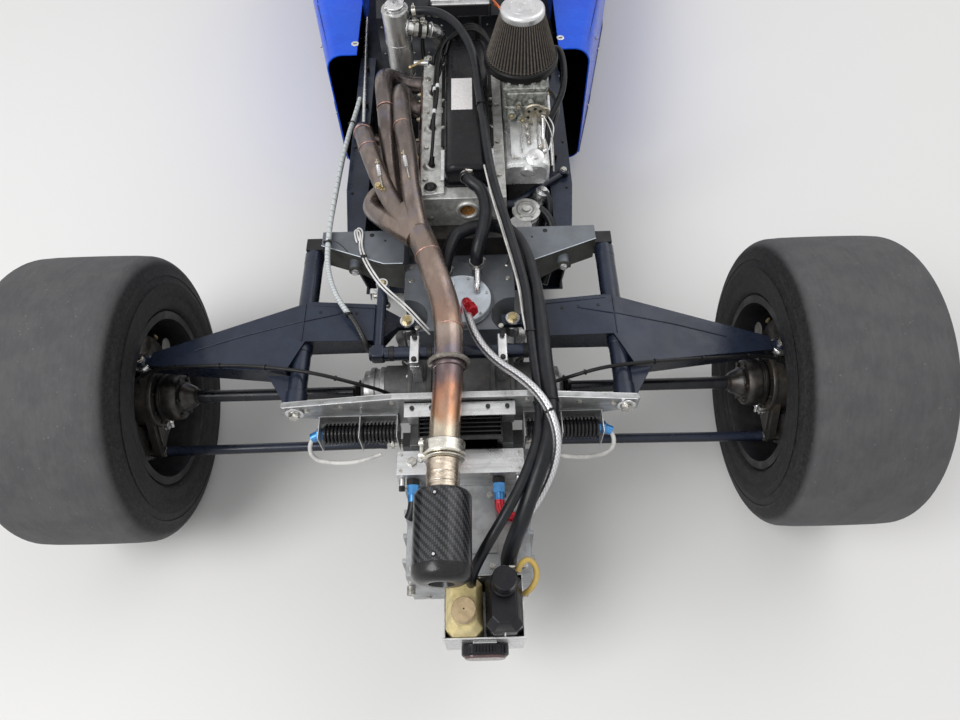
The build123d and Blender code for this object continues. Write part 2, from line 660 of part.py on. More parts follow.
POD_SECTIONS = (
    # y, outer half width, radius of the lower corner
    (POD_REAR_Y, 338, 30),
    (POD_REAR_Y + 242, 394, 30),
    (POD_FRONT_Y - 500, 470, 12),
    (POD_FRONT_Y, 540, 12),
)


def pod_section(y, outer, lower, inset):
    """Section of the sidepod's skin at one length, inset by a wall."""
    x0 = TUB_HALF_WIDTH + (0 if inset == 0 else -5)
    x1, z0, z1 = outer - inset, POD_BOTTOM_Z + inset, POD_TOP_Z - inset
    top, low = POD_TOP_CORNER - inset, lower - inset
    bend = 1 - math.sqrt(0.5)
    lines = [
        Line((x0, z0), (x1 - low, z0)),
        ThreePointArc((x1 - low, z0), (x1 - low * bend, z0 + low * bend), (x1, z0 + low)),
        Line((x1, z0 + low), (x1, z1 - top)),
        ThreePointArc((x1, z1 - top), (x1 - top * bend, z1 - top * bend), (x1 - top, z1)),
        Line((x1 - top, z1), (x0, z1)), Line((x0, z1), (x0, z0)),
    ]
    return Plane.XZ.offset(-y) * make_face(Wire(lines))


def pod_skin(inset):
    """Solid form of the sidepod, inset by a wall."""
    return lofted([pod_section(y, outer, lower, inset) for y, outer, lower in POD_SECTIONS])


def sidepod():
    """Right sidepod: a hollow duct open at both ends."""
    return pod_skin(0) - pod_skin(POD_WALL)


def radiator():
    """Right radiator core across the duct."""
    core = block(TUB_HALF_WIDTH, 560, POD_FRONT_Y - 504, POD_FRONT_Y - 460, 0, 500)
    return core & pod_skin(POD_WALL + SEAT_GAP)


BODY_SECTIONS = (
    # y, half width, side height, top height, bottom height
    (SEAT_BACK_Y - 60, TUB_HALF_WIDTH, 470, 560, TUB_TOP_Z),
    (TUB_TAPER_Y - 150, TUB_HALF_WIDTH, 440, 540, TUB_TOP_Z),
    (WHEELBASE - 200, 222, 400, 470, TUB_TOP_Z),
    (TUB_FRONT_Y, TUB_NOSE_HALF_WIDTH, 380, 430, TUB_TOP_Z),
)


def body_section(y, half, shoulder, top, bottom, inset):
    """Arched section of the upper bodywork, inset by its wall."""
    h, s, t = half - inset, shoulder - inset, top - inset
    lines = [
        Line((-h, bottom), (h, bottom)), Line((h, bottom), (h, s)),
        ThreePointArc((h, s), (h * 0.92, s + (t - s) * 0.64), (h * 0.72, t)), Line((h * 0.72, t), (-h * 0.72, t)),
        ThreePointArc((-h * 0.72, t), (-h * 0.92, s + (t - s) * 0.64), (-h, s)), Line((-h, s), (-h, bottom)),
    ]
    return Plane.XZ.offset(-y) * make_face(Wire(lines))


def lofted(sections):
    """Ruled body through a row of sections."""
    solid = None
    for first, second in zip(sections, sections[1:]):
        piece = loft([first, second], ruled=True)
        solid = piece if solid is None else solid + piece
    return solid


def screen_arc(inset):
    """Bowed line of the windscreen in plan, moved back by the inset."""
    bow, y = SCREEN_BOW, SCREEN_Y - inset
    return ThreePointArc((150, y - bow), (0, y), (-150, y - bow))


def cockpit_surround():
    """Upper bodywork over the tub, with the cockpit opening cut in it."""
    outer = lofted([body_section(*row, 0) for row in BODY_SECTIONS])
    rows = [(y, half, shoulder, top, bottom - 1) for y, half, shoulder, top, bottom in BODY_SECTIONS]
    inner = lofted([body_section(*row, BODY_SHELL) for row in rows])
    rear, front = SEAT_BACK_Y - 80, SCREEN_Y
    edge = [Line((-190, rear), (190, rear)), Line((190, rear), (200, rear + 200)),
            Line((200, rear + 200), (200, front - 230)), Line((200, front - 230), (150, front - SCREEN_BOW)),
            screen_arc(0), Line((-150, front - SCREEN_BOW), (-200, front - 230)),
            Line((-200, front - 230), (-200, rear + 200)), Line((-200, rear + 200), (-190, rear))]
    opening = extrude(Plane.XY.offset(420) * make_face(Wire(edge)), 280)
    return outer - inner - opening


NOSE_SECTIONS = (
    # y, half width, bottom, top
    (TUB_FRONT_Y, TUB_NOSE_HALF_WIDTH, 60, 430),
    (NOSE_TIP_Y - 355, 140, 75, 330),
    (NOSE_TIP_Y - 105, 105, 95, 220),
    (NOSE_TIP_Y, 60, 120, 170),
)


def nose_section(y, half, bottom, top, inset):
    """Rounded section of the nose."""
    h, b, t = half - inset, bottom + inset, top - inset
    s = b + (t - b) * 0.66
    lines = [
        Line((-h, b), (h, b)), Line((h, b), (h, s)),
        ThreePointArc((h, s), (h * 0.91, s + (t - s) * 0.68), (h * 0.66, t)), Line((h * 0.66, t), (-h * 0.66, t)),
        ThreePointArc((-h * 0.66, t), (-h * 0.91, s + (t - s) * 0.68), (-h, s)), Line((-h, s), (-h, b)),
    ]
    return Plane.XZ.offset(-y) * make_face(Wire(lines))


def nose_cone():
    """Hollow nose with a front wing on each side."""
    outer = lofted([nose_section(*row, 0) for row in NOSE_SECTIONS])
    inner = lofted([nose_section(*row, BODY_SHELL) for row in NOSE_SECTIONS[:3]])
    nose = outer - inner
    notch = block(-260, 260, RACK_Y - 55, RACK_Y + 55, RACK_Z - 42, RACK_Z + 43)
    nose -= notch
    tip = NOSE_TIP_Y
    span = KINGPIN_X - 18
    wing = side([(tip - 315, 172), (tip - 305, 182), (tip - 205, 168), (tip - 75, 140), (tip - 55, 132),
                 (tip - 75, 126), (tip - 205, 140)], 60, span)
    plate = side([(tip - 335, 90), (tip - 335, 230), (tip - 205, 220), (tip - 35, 160), (tip - 35, 90)],
                 span, span + 6)
    right = wing + plate
    nose += right - outer
    nose += mirror(right, about=Plane.YZ) - outer
    return nose


def seat():
    """Moulded seat shell lying on the tub floor."""
    y = SEAT_BACK_Y
    shell = side([(y, 62), (y, 350), (y + 12, 350), (y + 90, 110), (y + 480, 90), (y + 480, 62)], -140, 140)
    bolster = [(y, 62), (y, 340), (y + 40, 330), (y + 120, 190), (y + 260, 150), (y + 470, 140), (y + 480, 62)]
    return shell + side(bolster, 138, 165) + side(bolster, -165, -138)


def windscreen():
    """Low bowed screen at the front edge of the cockpit opening."""
    thick = 4
    front, back = SCREEN_Y - SCREEN_BOW, SCREEN_Y - SCREEN_BOW - thick
    lines = [screen_arc(0), Line((-150, front), (-150, back)), screen_arc(thick), Line((150, back), (150, front))]
    return extrude(Plane.XY.offset(SCREEN_FOOT_Z) * make_face(Wire(lines)), SCREEN_TOP_Z - SCREEN_FOOT_Z)


def roll_hoop():
    """Main roll hoop with its two stays to the bulkhead."""
    top, foot = 900, BULKHEAD_TOP_Z
    y = ROLL_HOOP_Y
    route = [(-180, y, foot), (-180, y, top - 90), (-120, y, top), (120, y, top), (180, y, top - 90), (180, y, foot)]
    hoop = tube(route, 17)
    for sign in (-1, 1):
        hoop += bar((sign * 150, y - 70, foot - 10), (sign * 150, y, top - 40), 13)
    return hoop - block(-260, 260, y - 200, y + 100, foot - 60, foot)


def mirrors():
    """Two rear view mirrors."""
    pod = block(270, 390, SCREEN_Y - 50, SCREEN_Y, 560, 640)
    pod = fillet(pod.edges().filter_by(Axis.Y), 20)
    pod = fillet(pod.faces().sort_by(Axis.Y)[-1].edges(), 14)
    stalk = bar((225, SCREEN_Y - 30, 460), (300, SCREEN_Y - 30, 570), 6)
    return pod + (stalk - lofted([body_section(*row, 0) for row in BODY_SECTIONS]))


def body_work():
    """Tub, bodywork and cockpit fittings."""
    keep("tub", tub())
    keep("engine_bay_frame", engine_bay_frame())
    pod = sidepod()
    keep("sidepod_right", pod)
    keep("sidepod_left", mirror(pod, about=Plane.YZ))
    keep("radiators", *both_sides(radiator()))
    keep("cockpit_surround", cockpit_surround())
    keep("nose_cone", nose_cone())
    keep("seat", seat())
    keep("windscreen", windscreen())
    keep("roll_hoop", roll_hoop())
    keep("mirrors", *both_sides(mirrors()))


# Front axle and steering

def front_upright():
    """Right front upright with its steering arm, turning about the kingpin."""
    axle = FRONT_TYRE_RADIUS
    low, high = axle - UPRIGHT_REACH, axle + UPRIGHT_REACH
    solid = side([(WHEELBASE - 20, low), (WHEELBASE + 20, low), (WHEELBASE + 45, axle),
                  (WHEELBASE + 20, high), (WHEELBASE - 20, high), (WHEELBASE - 45, axle)],
                 KINGPIN_X - 14, KINGPIN_X + 14)
    solid -= bar((KINGPIN_X - 30, WHEELBASE, axle), (KINGPIN_X + 60, WHEELBASE, axle), FRONT_STUB_RADIUS + SEAT_GAP)
    arm = flat([(KINGPIN_X - 14, WHEELBASE + 10), (KINGPIN_X + 14, WHEELBASE + 10), (ARM_X + 14, RACK_Y + 12),
                (ARM_X - 14, RACK_Y + 12)], ARM_TOP_Z - 10, ARM_TOP_Z)
    pin = bar((ARM_X, RACK_Y, ARM_TOP_Z), (ARM_X, RACK_Y, RACK_Z + 12), PIN_RADIUS)
    ear = block(KINGPIN_X - 6, KINGPIN_X + 14, WHEELBASE - 100, WHEELBASE - 20, axle - 24, axle + 24)
    return solid + arm + pin + ear + brake_caliper(FRONT_DISC_X, WHEELBASE, axle, -1)


def front_rocker():
    """Right front top rocker arm from the tub to the upright."""
    plan = [(200, WHEELBASE - 60), (200, WHEELBASE + 60), (KINGPIN_X - 10, WHEELBASE + 14),
            (KINGPIN_X - 10, WHEELBASE - 14)]
    front = [(200, 366), (200, 400), (KINGPIN_X - 10, 382), (KINGPIN_X - 10, 362)]
    arm = flat(plan, 340, 440) & across(front, WHEELBASE - 100, WHEELBASE + 100)
    joint_z = FRONT_TYRE_RADIUS + UPRIGHT_REACH + SEAT_GAP
    joint = bar((KINGPIN_X, WHEELBASE, joint_z), (KINGPIN_X, WHEELBASE, 384), 15)
    return arm + joint


def front_wishbone():
    """Right front lower wishbone."""
    joint_z = FRONT_TYRE_RADIUS - UPRIGHT_REACH - SEAT_GAP
    solid = bar((KINGPIN_X, WHEELBASE, joint_z - 20), (KINGPIN_X, WHEELBASE, joint_z), 16)
    for y in (WHEELBASE - 120, WHEELBASE + 20):
        solid += bar((WISHBONE_INNER_X + 8, y, 165), (KINGPIN_X - 10, WHEELBASE, 168), 10)
        solid += block(WISHBONE_INNER_X, WISHBONE_INNER_X + 14, y - 9, y + 9, 156, 174)
    return solid


def front_wheels():
    """Front tyres and rims on their stub axles."""
    centre = FRONT_TRACK / 2
    for name, sign in (("left", -1), ("right", 1)):
        rubber = tyre(centre, WHEELBASE, FRONT_TYRE_WIDTH, FRONT_TYRE_RADIUS)
        wheel, disc_x = rim(centre, WHEELBASE, FRONT_TYRE_WIDTH, FRONT_TYRE_RADIUS)
        stub = turned([(KINGPIN_X - 14, 0), (KINGPIN_X - 14, FRONT_STUB_RADIUS),
                       (disc_x - 14, FRONT_STUB_RADIUS), (disc_x - 14, 55), (disc_x, 55),
                       (disc_x, 0)], WHEELBASE, FRONT_TYRE_RADIUS)
        keep(f"tyre_front_{name}", on_side(rubber, sign))
        x = FRONT_DISC_X - DISC_THICKNESS / 2
        disc = turned([(x, FRONT_STUB_RADIUS - 5), (x, FRONT_DISC_RADIUS), (x + DISC_THICKNESS, FRONT_DISC_RADIUS),
                       (x + DISC_THICKNESS, 60), (x + 34, 48), (x + 34, FRONT_STUB_RADIUS - 5)], WHEELBASE,
                      FRONT_TYRE_RADIUS)
        keep(f"rim_front_{name}", on_side(wheel + stub + disc, sign))


def steering_wheel():
    """Steering wheel with three spokes on its column."""
    run = Vector(*COLUMN_FOOT) - Vector(*COLUMN_TOP)
    place = Plane(origin=COLUMN_TOP, z_dir=run)
    rim_ring = place * Torus(WHEEL_RADIUS, 13)
    hub = place * Cylinder(32, 16)
    solid = rim_ring + hub
    for angle in (0, 90, 180):
        spoke = Pos(WHEEL_RADIUS / 2, 0, 0) * Box(WHEEL_RADIUS - 10, 26, 6)
        solid += place * (Rot(0, 0, angle) * spoke)
    return solid + bar(COLUMN_TOP, COLUMN_FOOT, COLUMN_RADIUS)


def steering():
    """Rack housing, sliding rod with track rods, wheel and column."""
    keep("steering_wheel", steering_wheel())
    housing = bar((-130, RACK_Y, RACK_Z), (130, RACK_Y, RACK_Z), 22)
    housing += block(-30, 30, TUB_FRONT_Y, RACK_Y - 14, RACK_Z - 20, RACK_Z + 12)
    foot = Vector(*COLUMN_FOOT)
    lean = (foot - Vector(*COLUMN_TOP)).normalized()
    housing += bar(foot - lean * 12, foot + lean * 8, COLUMN_RADIUS + 6)
    housing -= bar(foot - lean * 40, foot + lean * 1, COLUMN_RADIUS + SEAT_GAP)
    housing -= bar((-140, RACK_Y, RACK_Z), (140, RACK_Y, RACK_Z), RACK_ROD_RADIUS + SEAT_GAP)
    keep("steering_rack", housing)
    rod = bar((-ARM_X + 14, RACK_Y, RACK_Z), (ARM_X - 14, RACK_Y, RACK_Z), RACK_ROD_RADIUS)
    for sign in (-1, 1):
        eye = Cylinder(EYE_RADIUS, 12) - Cylinder(PIN_RADIUS + PIN_DIP + 1.2, 12)
        eye = Pos(sign * ARM_X, RACK_Y - PIN_DIP, RACK_Z + 1) * eye
        rod += eye
    keep("track_rods", rod)


# Hoses and lines that the car holds at both ends

HOSES = {
    # node: (radius, points)
    "breather_hose": (13, [(20, 371.7, 512), (20, 345, 512), (28, 300, 492), (34, 250, 476), (36, 206, 458),
                           (36, 206, TANK_TOP_Z + 26 + SEAT_GAP)]),
    "bottle_hose_thick": (14, [(-30, 206, TANK_TOP_Z + SEAT_GAP), (-30, 206, 432), (-12, 266, 446), (40, 300, 447),
                               (96, 298, 450), (140, 246, 458), (164, 150, 464), (164, 40, 466), (158, -70, 464),
                               (156, -160, 456), (142, -240, 432), (114, -300, 400), (86, -340, 358),
                               (78, -358, 322), (78, -383.7, 322)]),
    "bottle_hose_thin": (9, [(-103, 814, 588), (-78, 814, 590), (-34, 812, 600), (14, 770, 590), (46, 690, 566),
                             (58, 560, 556), (66, 440, 552), (84, 340, 530), (104, 240, 492), (120, 140, 474),
                             (126, 40, 466), (128, -70, 462), (124, -170, 452), (104, -250, 430), (66, -320, 402),
                             (30, -372, 384), (14, -398, 362), (14, -398, 330.3)]),
    "braided_hose": (8, [(14, 100, TANK_TOP_Z + 12 + SEAT_GAP), (14, 100, 440), (34, 40, 462), (74, -20, 478),
                         (118, -76, 496), (158, -130, 500), (186, -176, 478), (182, -226, 430), (156, -268, 374),
                         (104, -296, 336), (104, -296, TAIL_TOP_Z + SEAT_GAP)]),
    "wrapped_cable": (5.5, [(-246, 790, RAIL_TOP_Z + 5.9), (-251, 720, 384), (-258, 640, 397), (-262, 540, 411),
                            (-264, 420, 426), (-265, 300, 441), (-261, 215, 447), (-253, 172, 448), (-240, 132, 446),
                            (-220, 98, 441), (-196, 66, 435), (-178, 30, 425), (-172, 24, 398), (-158, 26, 366),
                            (-124, 36, 354), (-86, 42, 357), (-86, 42, GEARBOX_TOP_Z + SEAT_GAP)]),
}
BRAKE_LINE_ROUTE = [(95.3, -46, 335), (122, -46, 336), (150, -48, 370), (200, -52, 404), (260, -46, 426),
                    (318, -34, 428), (400, -18, 418), (500, -6, 402), (ROCKER_BALL[0] - 38, -2, 390),
                    (ROCKER_BALL[0] + 14, -14, 366), (ROCKER_BALL[0] + 28, -24, 346)]
BRAKE_LINE_RADIUS = 3.5


def hoses():
    """Hoses and lines, each one tube along its route."""
    for name, (radius, points) in HOSES.items():
        print(name, "radii", [round(r) for r in bend_radii(points)])
        keep(name, tube(points, radius))
    keep("brake_lines", *both_sides(tube(BRAKE_LINE_ROUTE, BRAKE_LINE_RADIUS)))


def build_all():
    """Make every piece."""
    rear_wheels()
    rear_suspension()
    middle_casings()
    engine()
    body_work()
    front_wheels()
    for name, sign in (("left", -1), ("right", 1)):
        keep(f"front_upright_{name}", on_side(front_upright(), sign))
    keep("front_rockers", *both_sides(front_rocker()))
    keep("front_wishbones", *both_sides(front_wishbone()))
    steering()
    hoses()


build_all()
os.makedirs("parts", exist_ok=True)
for name, solids in nodes.items():
    placed = [Pos(0, -MIDDLE_Y, 0) * piece for shape in solids for piece in shape.solids()]
    export_step(placed[0] if len(placed) == 1 else Compound(children=placed), f"parts/{name}.step")
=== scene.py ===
"""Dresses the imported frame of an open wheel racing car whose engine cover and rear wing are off.

Lengths are millimetres in the car's layout: X to the right, Y forward from the rear axle and Z up from the
ground. at() turns them into the frame's metres.
"""
import logging
import math
from collections.abc import Callable
from dataclasses import dataclass

import bmesh
import bpy
from mathutils import Matrix, Vector


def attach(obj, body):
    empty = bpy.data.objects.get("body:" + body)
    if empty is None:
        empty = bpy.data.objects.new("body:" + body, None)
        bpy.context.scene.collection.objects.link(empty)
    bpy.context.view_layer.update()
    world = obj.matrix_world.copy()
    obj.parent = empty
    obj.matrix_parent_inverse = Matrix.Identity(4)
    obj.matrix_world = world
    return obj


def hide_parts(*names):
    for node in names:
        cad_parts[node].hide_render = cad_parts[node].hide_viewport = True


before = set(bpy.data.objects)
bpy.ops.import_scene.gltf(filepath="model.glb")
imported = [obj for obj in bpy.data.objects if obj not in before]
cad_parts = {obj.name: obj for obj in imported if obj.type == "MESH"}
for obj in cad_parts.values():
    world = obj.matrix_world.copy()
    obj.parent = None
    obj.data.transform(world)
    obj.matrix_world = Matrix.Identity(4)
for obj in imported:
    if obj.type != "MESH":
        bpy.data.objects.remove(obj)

log = logging.getLogger("racing_car")

Point = tuple[float, float, float]
Colour = tuple[float, float, float]
CHASSIS = "chassis"
MM_PER_M = 1000
MIDDLE_Y = 1350.0
MERGE_DISTANCE = 0.001
SIDES = (("left", -1), ("right", 1))


@dataclass(frozen=True)
class Axle:
    """One axle's wheels: name, place along the car, tyre radius and width, and half the track."""

    name: str
    y: float
    radius: float
    width: float
    half_track: float


UP = (0, 0, 1)
RIGHT = (1, 0, 0)
LEFT = (-1, 0, 0)
FORWARD = (0, 1, 0)
BACK = (0, -1, 0)
REAR_AXLE = Axle("rear", 0, 285, 260, 706)
FRONT_AXLE = Axle("front", 2500, 268, 196, 700)


def at(x: float, y: float, z: float) -> Vector:
    """Layout millimetres as a point of the frame, in metres."""
    return Vector((x, y - MIDDLE_Y, z)) / MM_PER_M


TO_FRAME = Matrix.Scale(1 / MM_PER_M, 4) @ Matrix.Translation((0, -MIDDLE_Y, 0))
FROM_FRAME = TO_FRAME.inverted()


class Val:
    """One value in a material's nodes. Arithmetic on it adds Math nodes."""

    def __init__(self, shade: "Shade", socket: bpy.types.NodeSocket) -> None:
        """Keep the socket and the material it belongs to."""
        self.shade = shade
        self.socket = socket

    def math(self, operation: str, *terms: "Val | float") -> "Val":
        """Result of one Math node on the given terms."""
        return self.shade.node("Math", {"operation": operation}, dict(enumerate(terms)))

    def __add__(self, other: "Val | float") -> "Val":
        """Sum."""
        return self.math("ADD", self, other)

    __radd__ = __add__

    def __sub__(self, other: "Val | float") -> "Val":
        """Difference."""
        return self.math("SUBTRACT", self, other)

    def __rsub__(self, other: "Val | float") -> "Val":
        """Difference from a number."""
        return self.math("SUBTRACT", other, self)

    def __mul__(self, other: "Val | float") -> "Val":
        """Product."""
        return self.math("MULTIPLY", self, other)

    __rmul__ = __mul__

    def __truediv__(self, other: "Val | float") -> "Val":
        """Quotient."""
        return self.math("DIVIDE", self, other)

    def between(self, low: float, high: float) -> "Val":
        """Smooth step from 0 at low to 1 at high."""
        settings = {"interpolation_type": "SMOOTHSTEP", "clamp": True}
        if low < high:
            return self.shade.node("MapRange", settings, {0: self, 1: low, 2: high, 3: 0.0, 4: 1.0})
        return self.shade.node("MapRange", settings, {0: self, 1: high, 2: low, 3: 1.0, 4: 0.0})


class Shade:
    """The node tree of one material."""

    def __init__(self, name: str) -> None:
        """Start an empty material."""
        self.material = bpy.data.materials.new(name)
        self.material.use_nodes = True
        self.tree = self.material.node_tree
        self.tree.nodes.clear()

    def node(self, kind: str, settings: dict | None = None, sockets: dict | None = None,
             output: int = 0) -> Val:
        """Add one node.

        Args:
            kind: The node's type, without its ShaderNode prefix.
            settings: Its properties, and a ramp's stops as (place, colour) pairs.
            sockets: Values or links for its inputs, by name or number.
            output: Number of the output to give back.

        Returns:
            The chosen output.
        """
        made = self.tree.nodes.new("ShaderNode" + kind)
        for key, value in (settings or {}).items():
            if key == "stops":
                ramp = made.color_ramp.elements
                while len(ramp) < len(value):
                    ramp.new(0.5)
                for stop, (place, colour) in zip(ramp, value):
                    stop.position = place
                    stop.color = (*colour, 1)
            else:
                setattr(made, key, value)
        for key, value in (sockets or {}).items():
            if isinstance(value, Val):
                self.tree.links.new(value.socket, made.inputs[key])
            else:
                made.inputs[key].default_value = value
        return Val(self, made.outputs[output])

    def place(self, stretch: Point = (1, 1, 1), shift: Point = (0, 0, 0)) -> Val:
        """Object coordinates, shifted by frame metres and stretched."""
        where = self.node("TexCoord", output=3)
        return self.node("Mapping", None, {"Vector": where, "Location": shift, "Scale": stretch})

    def axis(self, where: Val, number: int) -> Val:
        """One coordinate of a vector."""
        return self.node("SeparateXYZ", None, {0: where}, number)

    def noise(self, where: Val, size: float, detail: float = 3, low: float = 0.38,
              high: float = 0.62) -> Val:
        """Noise stretched to run from 0 to 1, its lumps about size millimetres across."""
        raw = self.node("TexNoise", None,
                        {"Vector": where, "Scale": MM_PER_M / size, "Detail": detail, "Roughness": 0.6})
        return raw.between(low, high)

    def mix(self, share: "Val | float", first: "Colour | Val", second: "Colour | Val") -> Val:
        """Colour between two others."""
        pair = [c if isinstance(c, Val) else (*c, 1) for c in (first, second)]
        return self.node("Mix", {"data_type": "RGBA"}, {0: share, 6: pair[0], 7: pair[1]}, 2)

    def bump(self, height: Val, depth: float, under: "Val | None" = None) -> Val:
        """Normal of a relief depth millimetres deep."""
        sockets = {"Height": height, "Distance": depth / MM_PER_M, "Strength": 1.0}
        if under is not None:
            sockets["Normal"] = under
        return self.node("Bump", None, sockets)

    def facing_up(self) -> Val:
        """How far the surface looks up, 0 on walls and 1 on tops, in the piece's own frame."""
        return self.axis(self.node("TexCoord", output=1), 2).between(0.2, 0.95)

    def close(self, **sockets: "Val | float | Colour") -> bpy.types.Material:
        """Join the surface shader to the output.

        Args:
            sockets: Inputs of the Principled shader, with _ for each space.

        Returns:
            The finished material.
        """
        named = {key.replace("_", " "): (*value, 1) if isinstance(value, tuple) else value
                 for key, value in sockets.items()}
        shader = self.node("BsdfPrincipled", None, named)
        out = self.tree.nodes.new("ShaderNodeOutputMaterial")
        self.tree.links.new(shader.socket, out.inputs[0])
        return self.material


DUST = (0.33, 0.30, 0.26)
made_materials: dict[str, bpy.types.Material] = {}


@dataclass(frozen=True)
class Finish:
    """A surface with patches of a second tone, dust on its tops and a fine grain.

    vary is the share by which the colour changes, patch the size of the patches, grain the relief's depth.
    """

    name: str
    colour: Colour
    rough: float = 0.45
    metal: float = 0.0
    coat: float = 0.0
    vary: float = 0.2
    patch: float = 30.0
    dust: float = 0.15
    grain: float = 0.03
    grain_size: float = 1.2
    stretch: Point = (1, 1, 1)
    stain: Colour | None = None
    stain_share: float = 0.4
    shine: float = 0.5

    def material(self) -> bpy.types.Material:
        """The finish's material, made once."""
        if self.name not in made_materials:
            made_materials[self.name] = self.make(Shade(self.name))
        return made_materials[self.name]

    def tones(self, shade: Shade) -> Val:
        """Base colour with its patches and stains."""
        where = shade.place(self.stretch)
        patches = shade.noise(where, self.patch, 4)
        low = tuple(c * (1 - self.vary) for c in self.colour)
        high = tuple(min(1.0, c * (1 + self.vary)) for c in self.colour)
        colour = shade.mix(patches, low, high)
        if self.stain:
            stains = shade.noise(shade.place(shift=(0.31, 0.17, 0.05)), self.patch * 1.7, 5, 0.5, 0.66)
            colour = shade.mix(stains * self.stain_share, colour, self.stain)
        return colour

    def make(self, shade: Shade) -> bpy.types.Material:
        """Build the nodes."""
        where = shade.place(self.stretch)
        fine = shade.noise(where, self.grain_size, 3)
        dirt = shade.noise(shade.place(shift=(0.1, 0.2, 0.3)), 18, 5, 0.35, 0.7)
        dust = shade.facing_up() * dirt * self.dust
        smudge = shade.noise(shade.place(shift=(0.7, 0.1, 0.4)), 45, 4)
        rough = (smudge * 0.16 - 0.08 + self.rough) + dust * 0.5
        return shade.close(
            Base_Color=shade.mix(dust, self.tones(shade), DUST), Roughness=rough,
            Metallic=self.metal * (1 - dust), Specular_IOR_Level=self.shine, Coat_Weight=self.coat,
            Coat_Roughness=0.12,
            Normal=shade.bump(fine, self.grain))


@dataclass(frozen=True)
class SlickRubber(Finish):
    """Slick tyre rubber: a dusty speckled tread between darker sidewalls, with crumbs of picked up rubber."""

    centre_y: float = REAR_AXLE.y
    centre_z: float = REAR_AXLE.radius
    outer: float = REAR_AXLE.radius
    middle_x: float = REAR_AXLE.half_track
    half_tread: float = 98.0

    def make(self, shade: Shade) -> bpy.types.Material:
        """Build the nodes."""
        where = shade.place()
        x = where.math("ABSOLUTE", shade.axis(where, 0)) - self.middle_x / MM_PER_M
        y = shade.axis(where, 1) - (self.centre_y - MIDDLE_Y) / MM_PER_M
        z = shade.axis(where, 2) - self.centre_z / MM_PER_M
        around = where.math("ARCTAN2", y, 0 - z)
        radius = (y * y + z * z).math("SQRT", y * y + z * z)
        wrap = shade.node("CombineXYZ", None, {0: x, 1: around * (0.25 * self.outer / MM_PER_M), 2: radius})
        streaks = shade.noise(wrap, 6, 4)
        blotch = shade.noise(shade.place(), 55, 5)
        edge = x.math("ABSOLUTE", x)
        tread = radius.between((self.outer - 20) / MM_PER_M, (self.outer - 7) / MM_PER_M)
        flank = shade.mix(shade.noise(shade.place(), 9, 6), (0.006, 0.006, 0.007), (0.015, 0.015, 0.016))
        scuffs = shade.noise(shade.place((1, 1, 1), (0.5, 0, 0)), 5, 8, 0.55, 0.63)
        shoulder = edge.between(self.half_tread * 0.8 / MM_PER_M, self.half_tread * 1.05 / MM_PER_M)
        top = shade.mix(streaks * 0.3 + blotch * 0.5, (0.068, 0.068, 0.072), (0.094, 0.093, 0.096))
        speck = shade.node("TexVoronoi", None, {"Vector": where, "Scale": 95.0})
        pick = shade.noise(shade.place(shift=(0.2, 0.4, 0.1)), 22, 3, 0.5, 0.62)
        crumbs = speck.between(0.17, 0.08) * pick
        top = shade.mix(crumbs * 0.45, top, (0.24, 0.23, 0.21))
        side = shade.mix(scuffs * 0.2, flank, (0.09, 0.087, 0.083))
        pores = shade.noise(shade.place(), 1.6, 4, 0.3, 0.7)
        ribs = shade.noise(wrap, 22, 2, 0.3, 0.7)
        relief = shade.bump(pores, 0.22, shade.bump(ribs, 0.5))
        return shade.close(
            Base_Color=shade.mix(tread, side, top), Roughness=0.60 + tread * 0.18 + shoulder * 0.03,
            Specular_IOR_Level=0.35,
            Normal=relief)


@dataclass(frozen=True)
class PowderCoat(Finish):
    """Black powder coat: near black on its walls, with a painted navy grey reflection of the sky on its tops.
    """

    # top is the painted reflection of the sky, mixed into the base colour of the faces that look up.
    top: Colour = (0.019, 0.026, 0.047)

    def tones(self, shade: Shade) -> Val:
        """Base colour by the way the surface faces: a painted sky reflection on the tops, in patches."""
        patches = shade.noise(shade.place(), self.patch, 3)
        return shade.mix(shade.facing_up() * (patches * 0.3 + 0.7), self.colour, self.top)


@dataclass(frozen=True)
class SpiralWrap(Finish):
    """White spiral binding that ends part way along a black cable, on the piece's own UV map."""

    last_y: float = 85.0
    turns: float = 95.0

    def make(self, shade: Shade) -> bpy.types.Material:
        """Build the nodes."""
        uv = shade.node("TexCoord", output=2)
        turn = shade.axis(uv, 0) * self.turns + shade.axis(uv, 1)
        place = turn.math("FRACT", turn)
        gap = place.between(0.10, 0.04) + place.between(0.93, 0.99)
        grime = shade.noise(shade.place(), 14, 4)
        white = shade.mix(grime, (0.50, 0.53, 0.54), self.colour)
        edge = (self.last_y - MIDDLE_Y) / MM_PER_M
        black = shade.axis(shade.place(), 1).between(edge + 0.001, edge - 0.001)
        colour = shade.mix(black, shade.mix(gap * 0.75, white, (0.09, 0.09, 0.09)), (0.010, 0.010, 0.010))
        return shade.close(Base_Color=colour, Roughness=self.rough, Normal=shade.bump(gap * -1, 0.5))


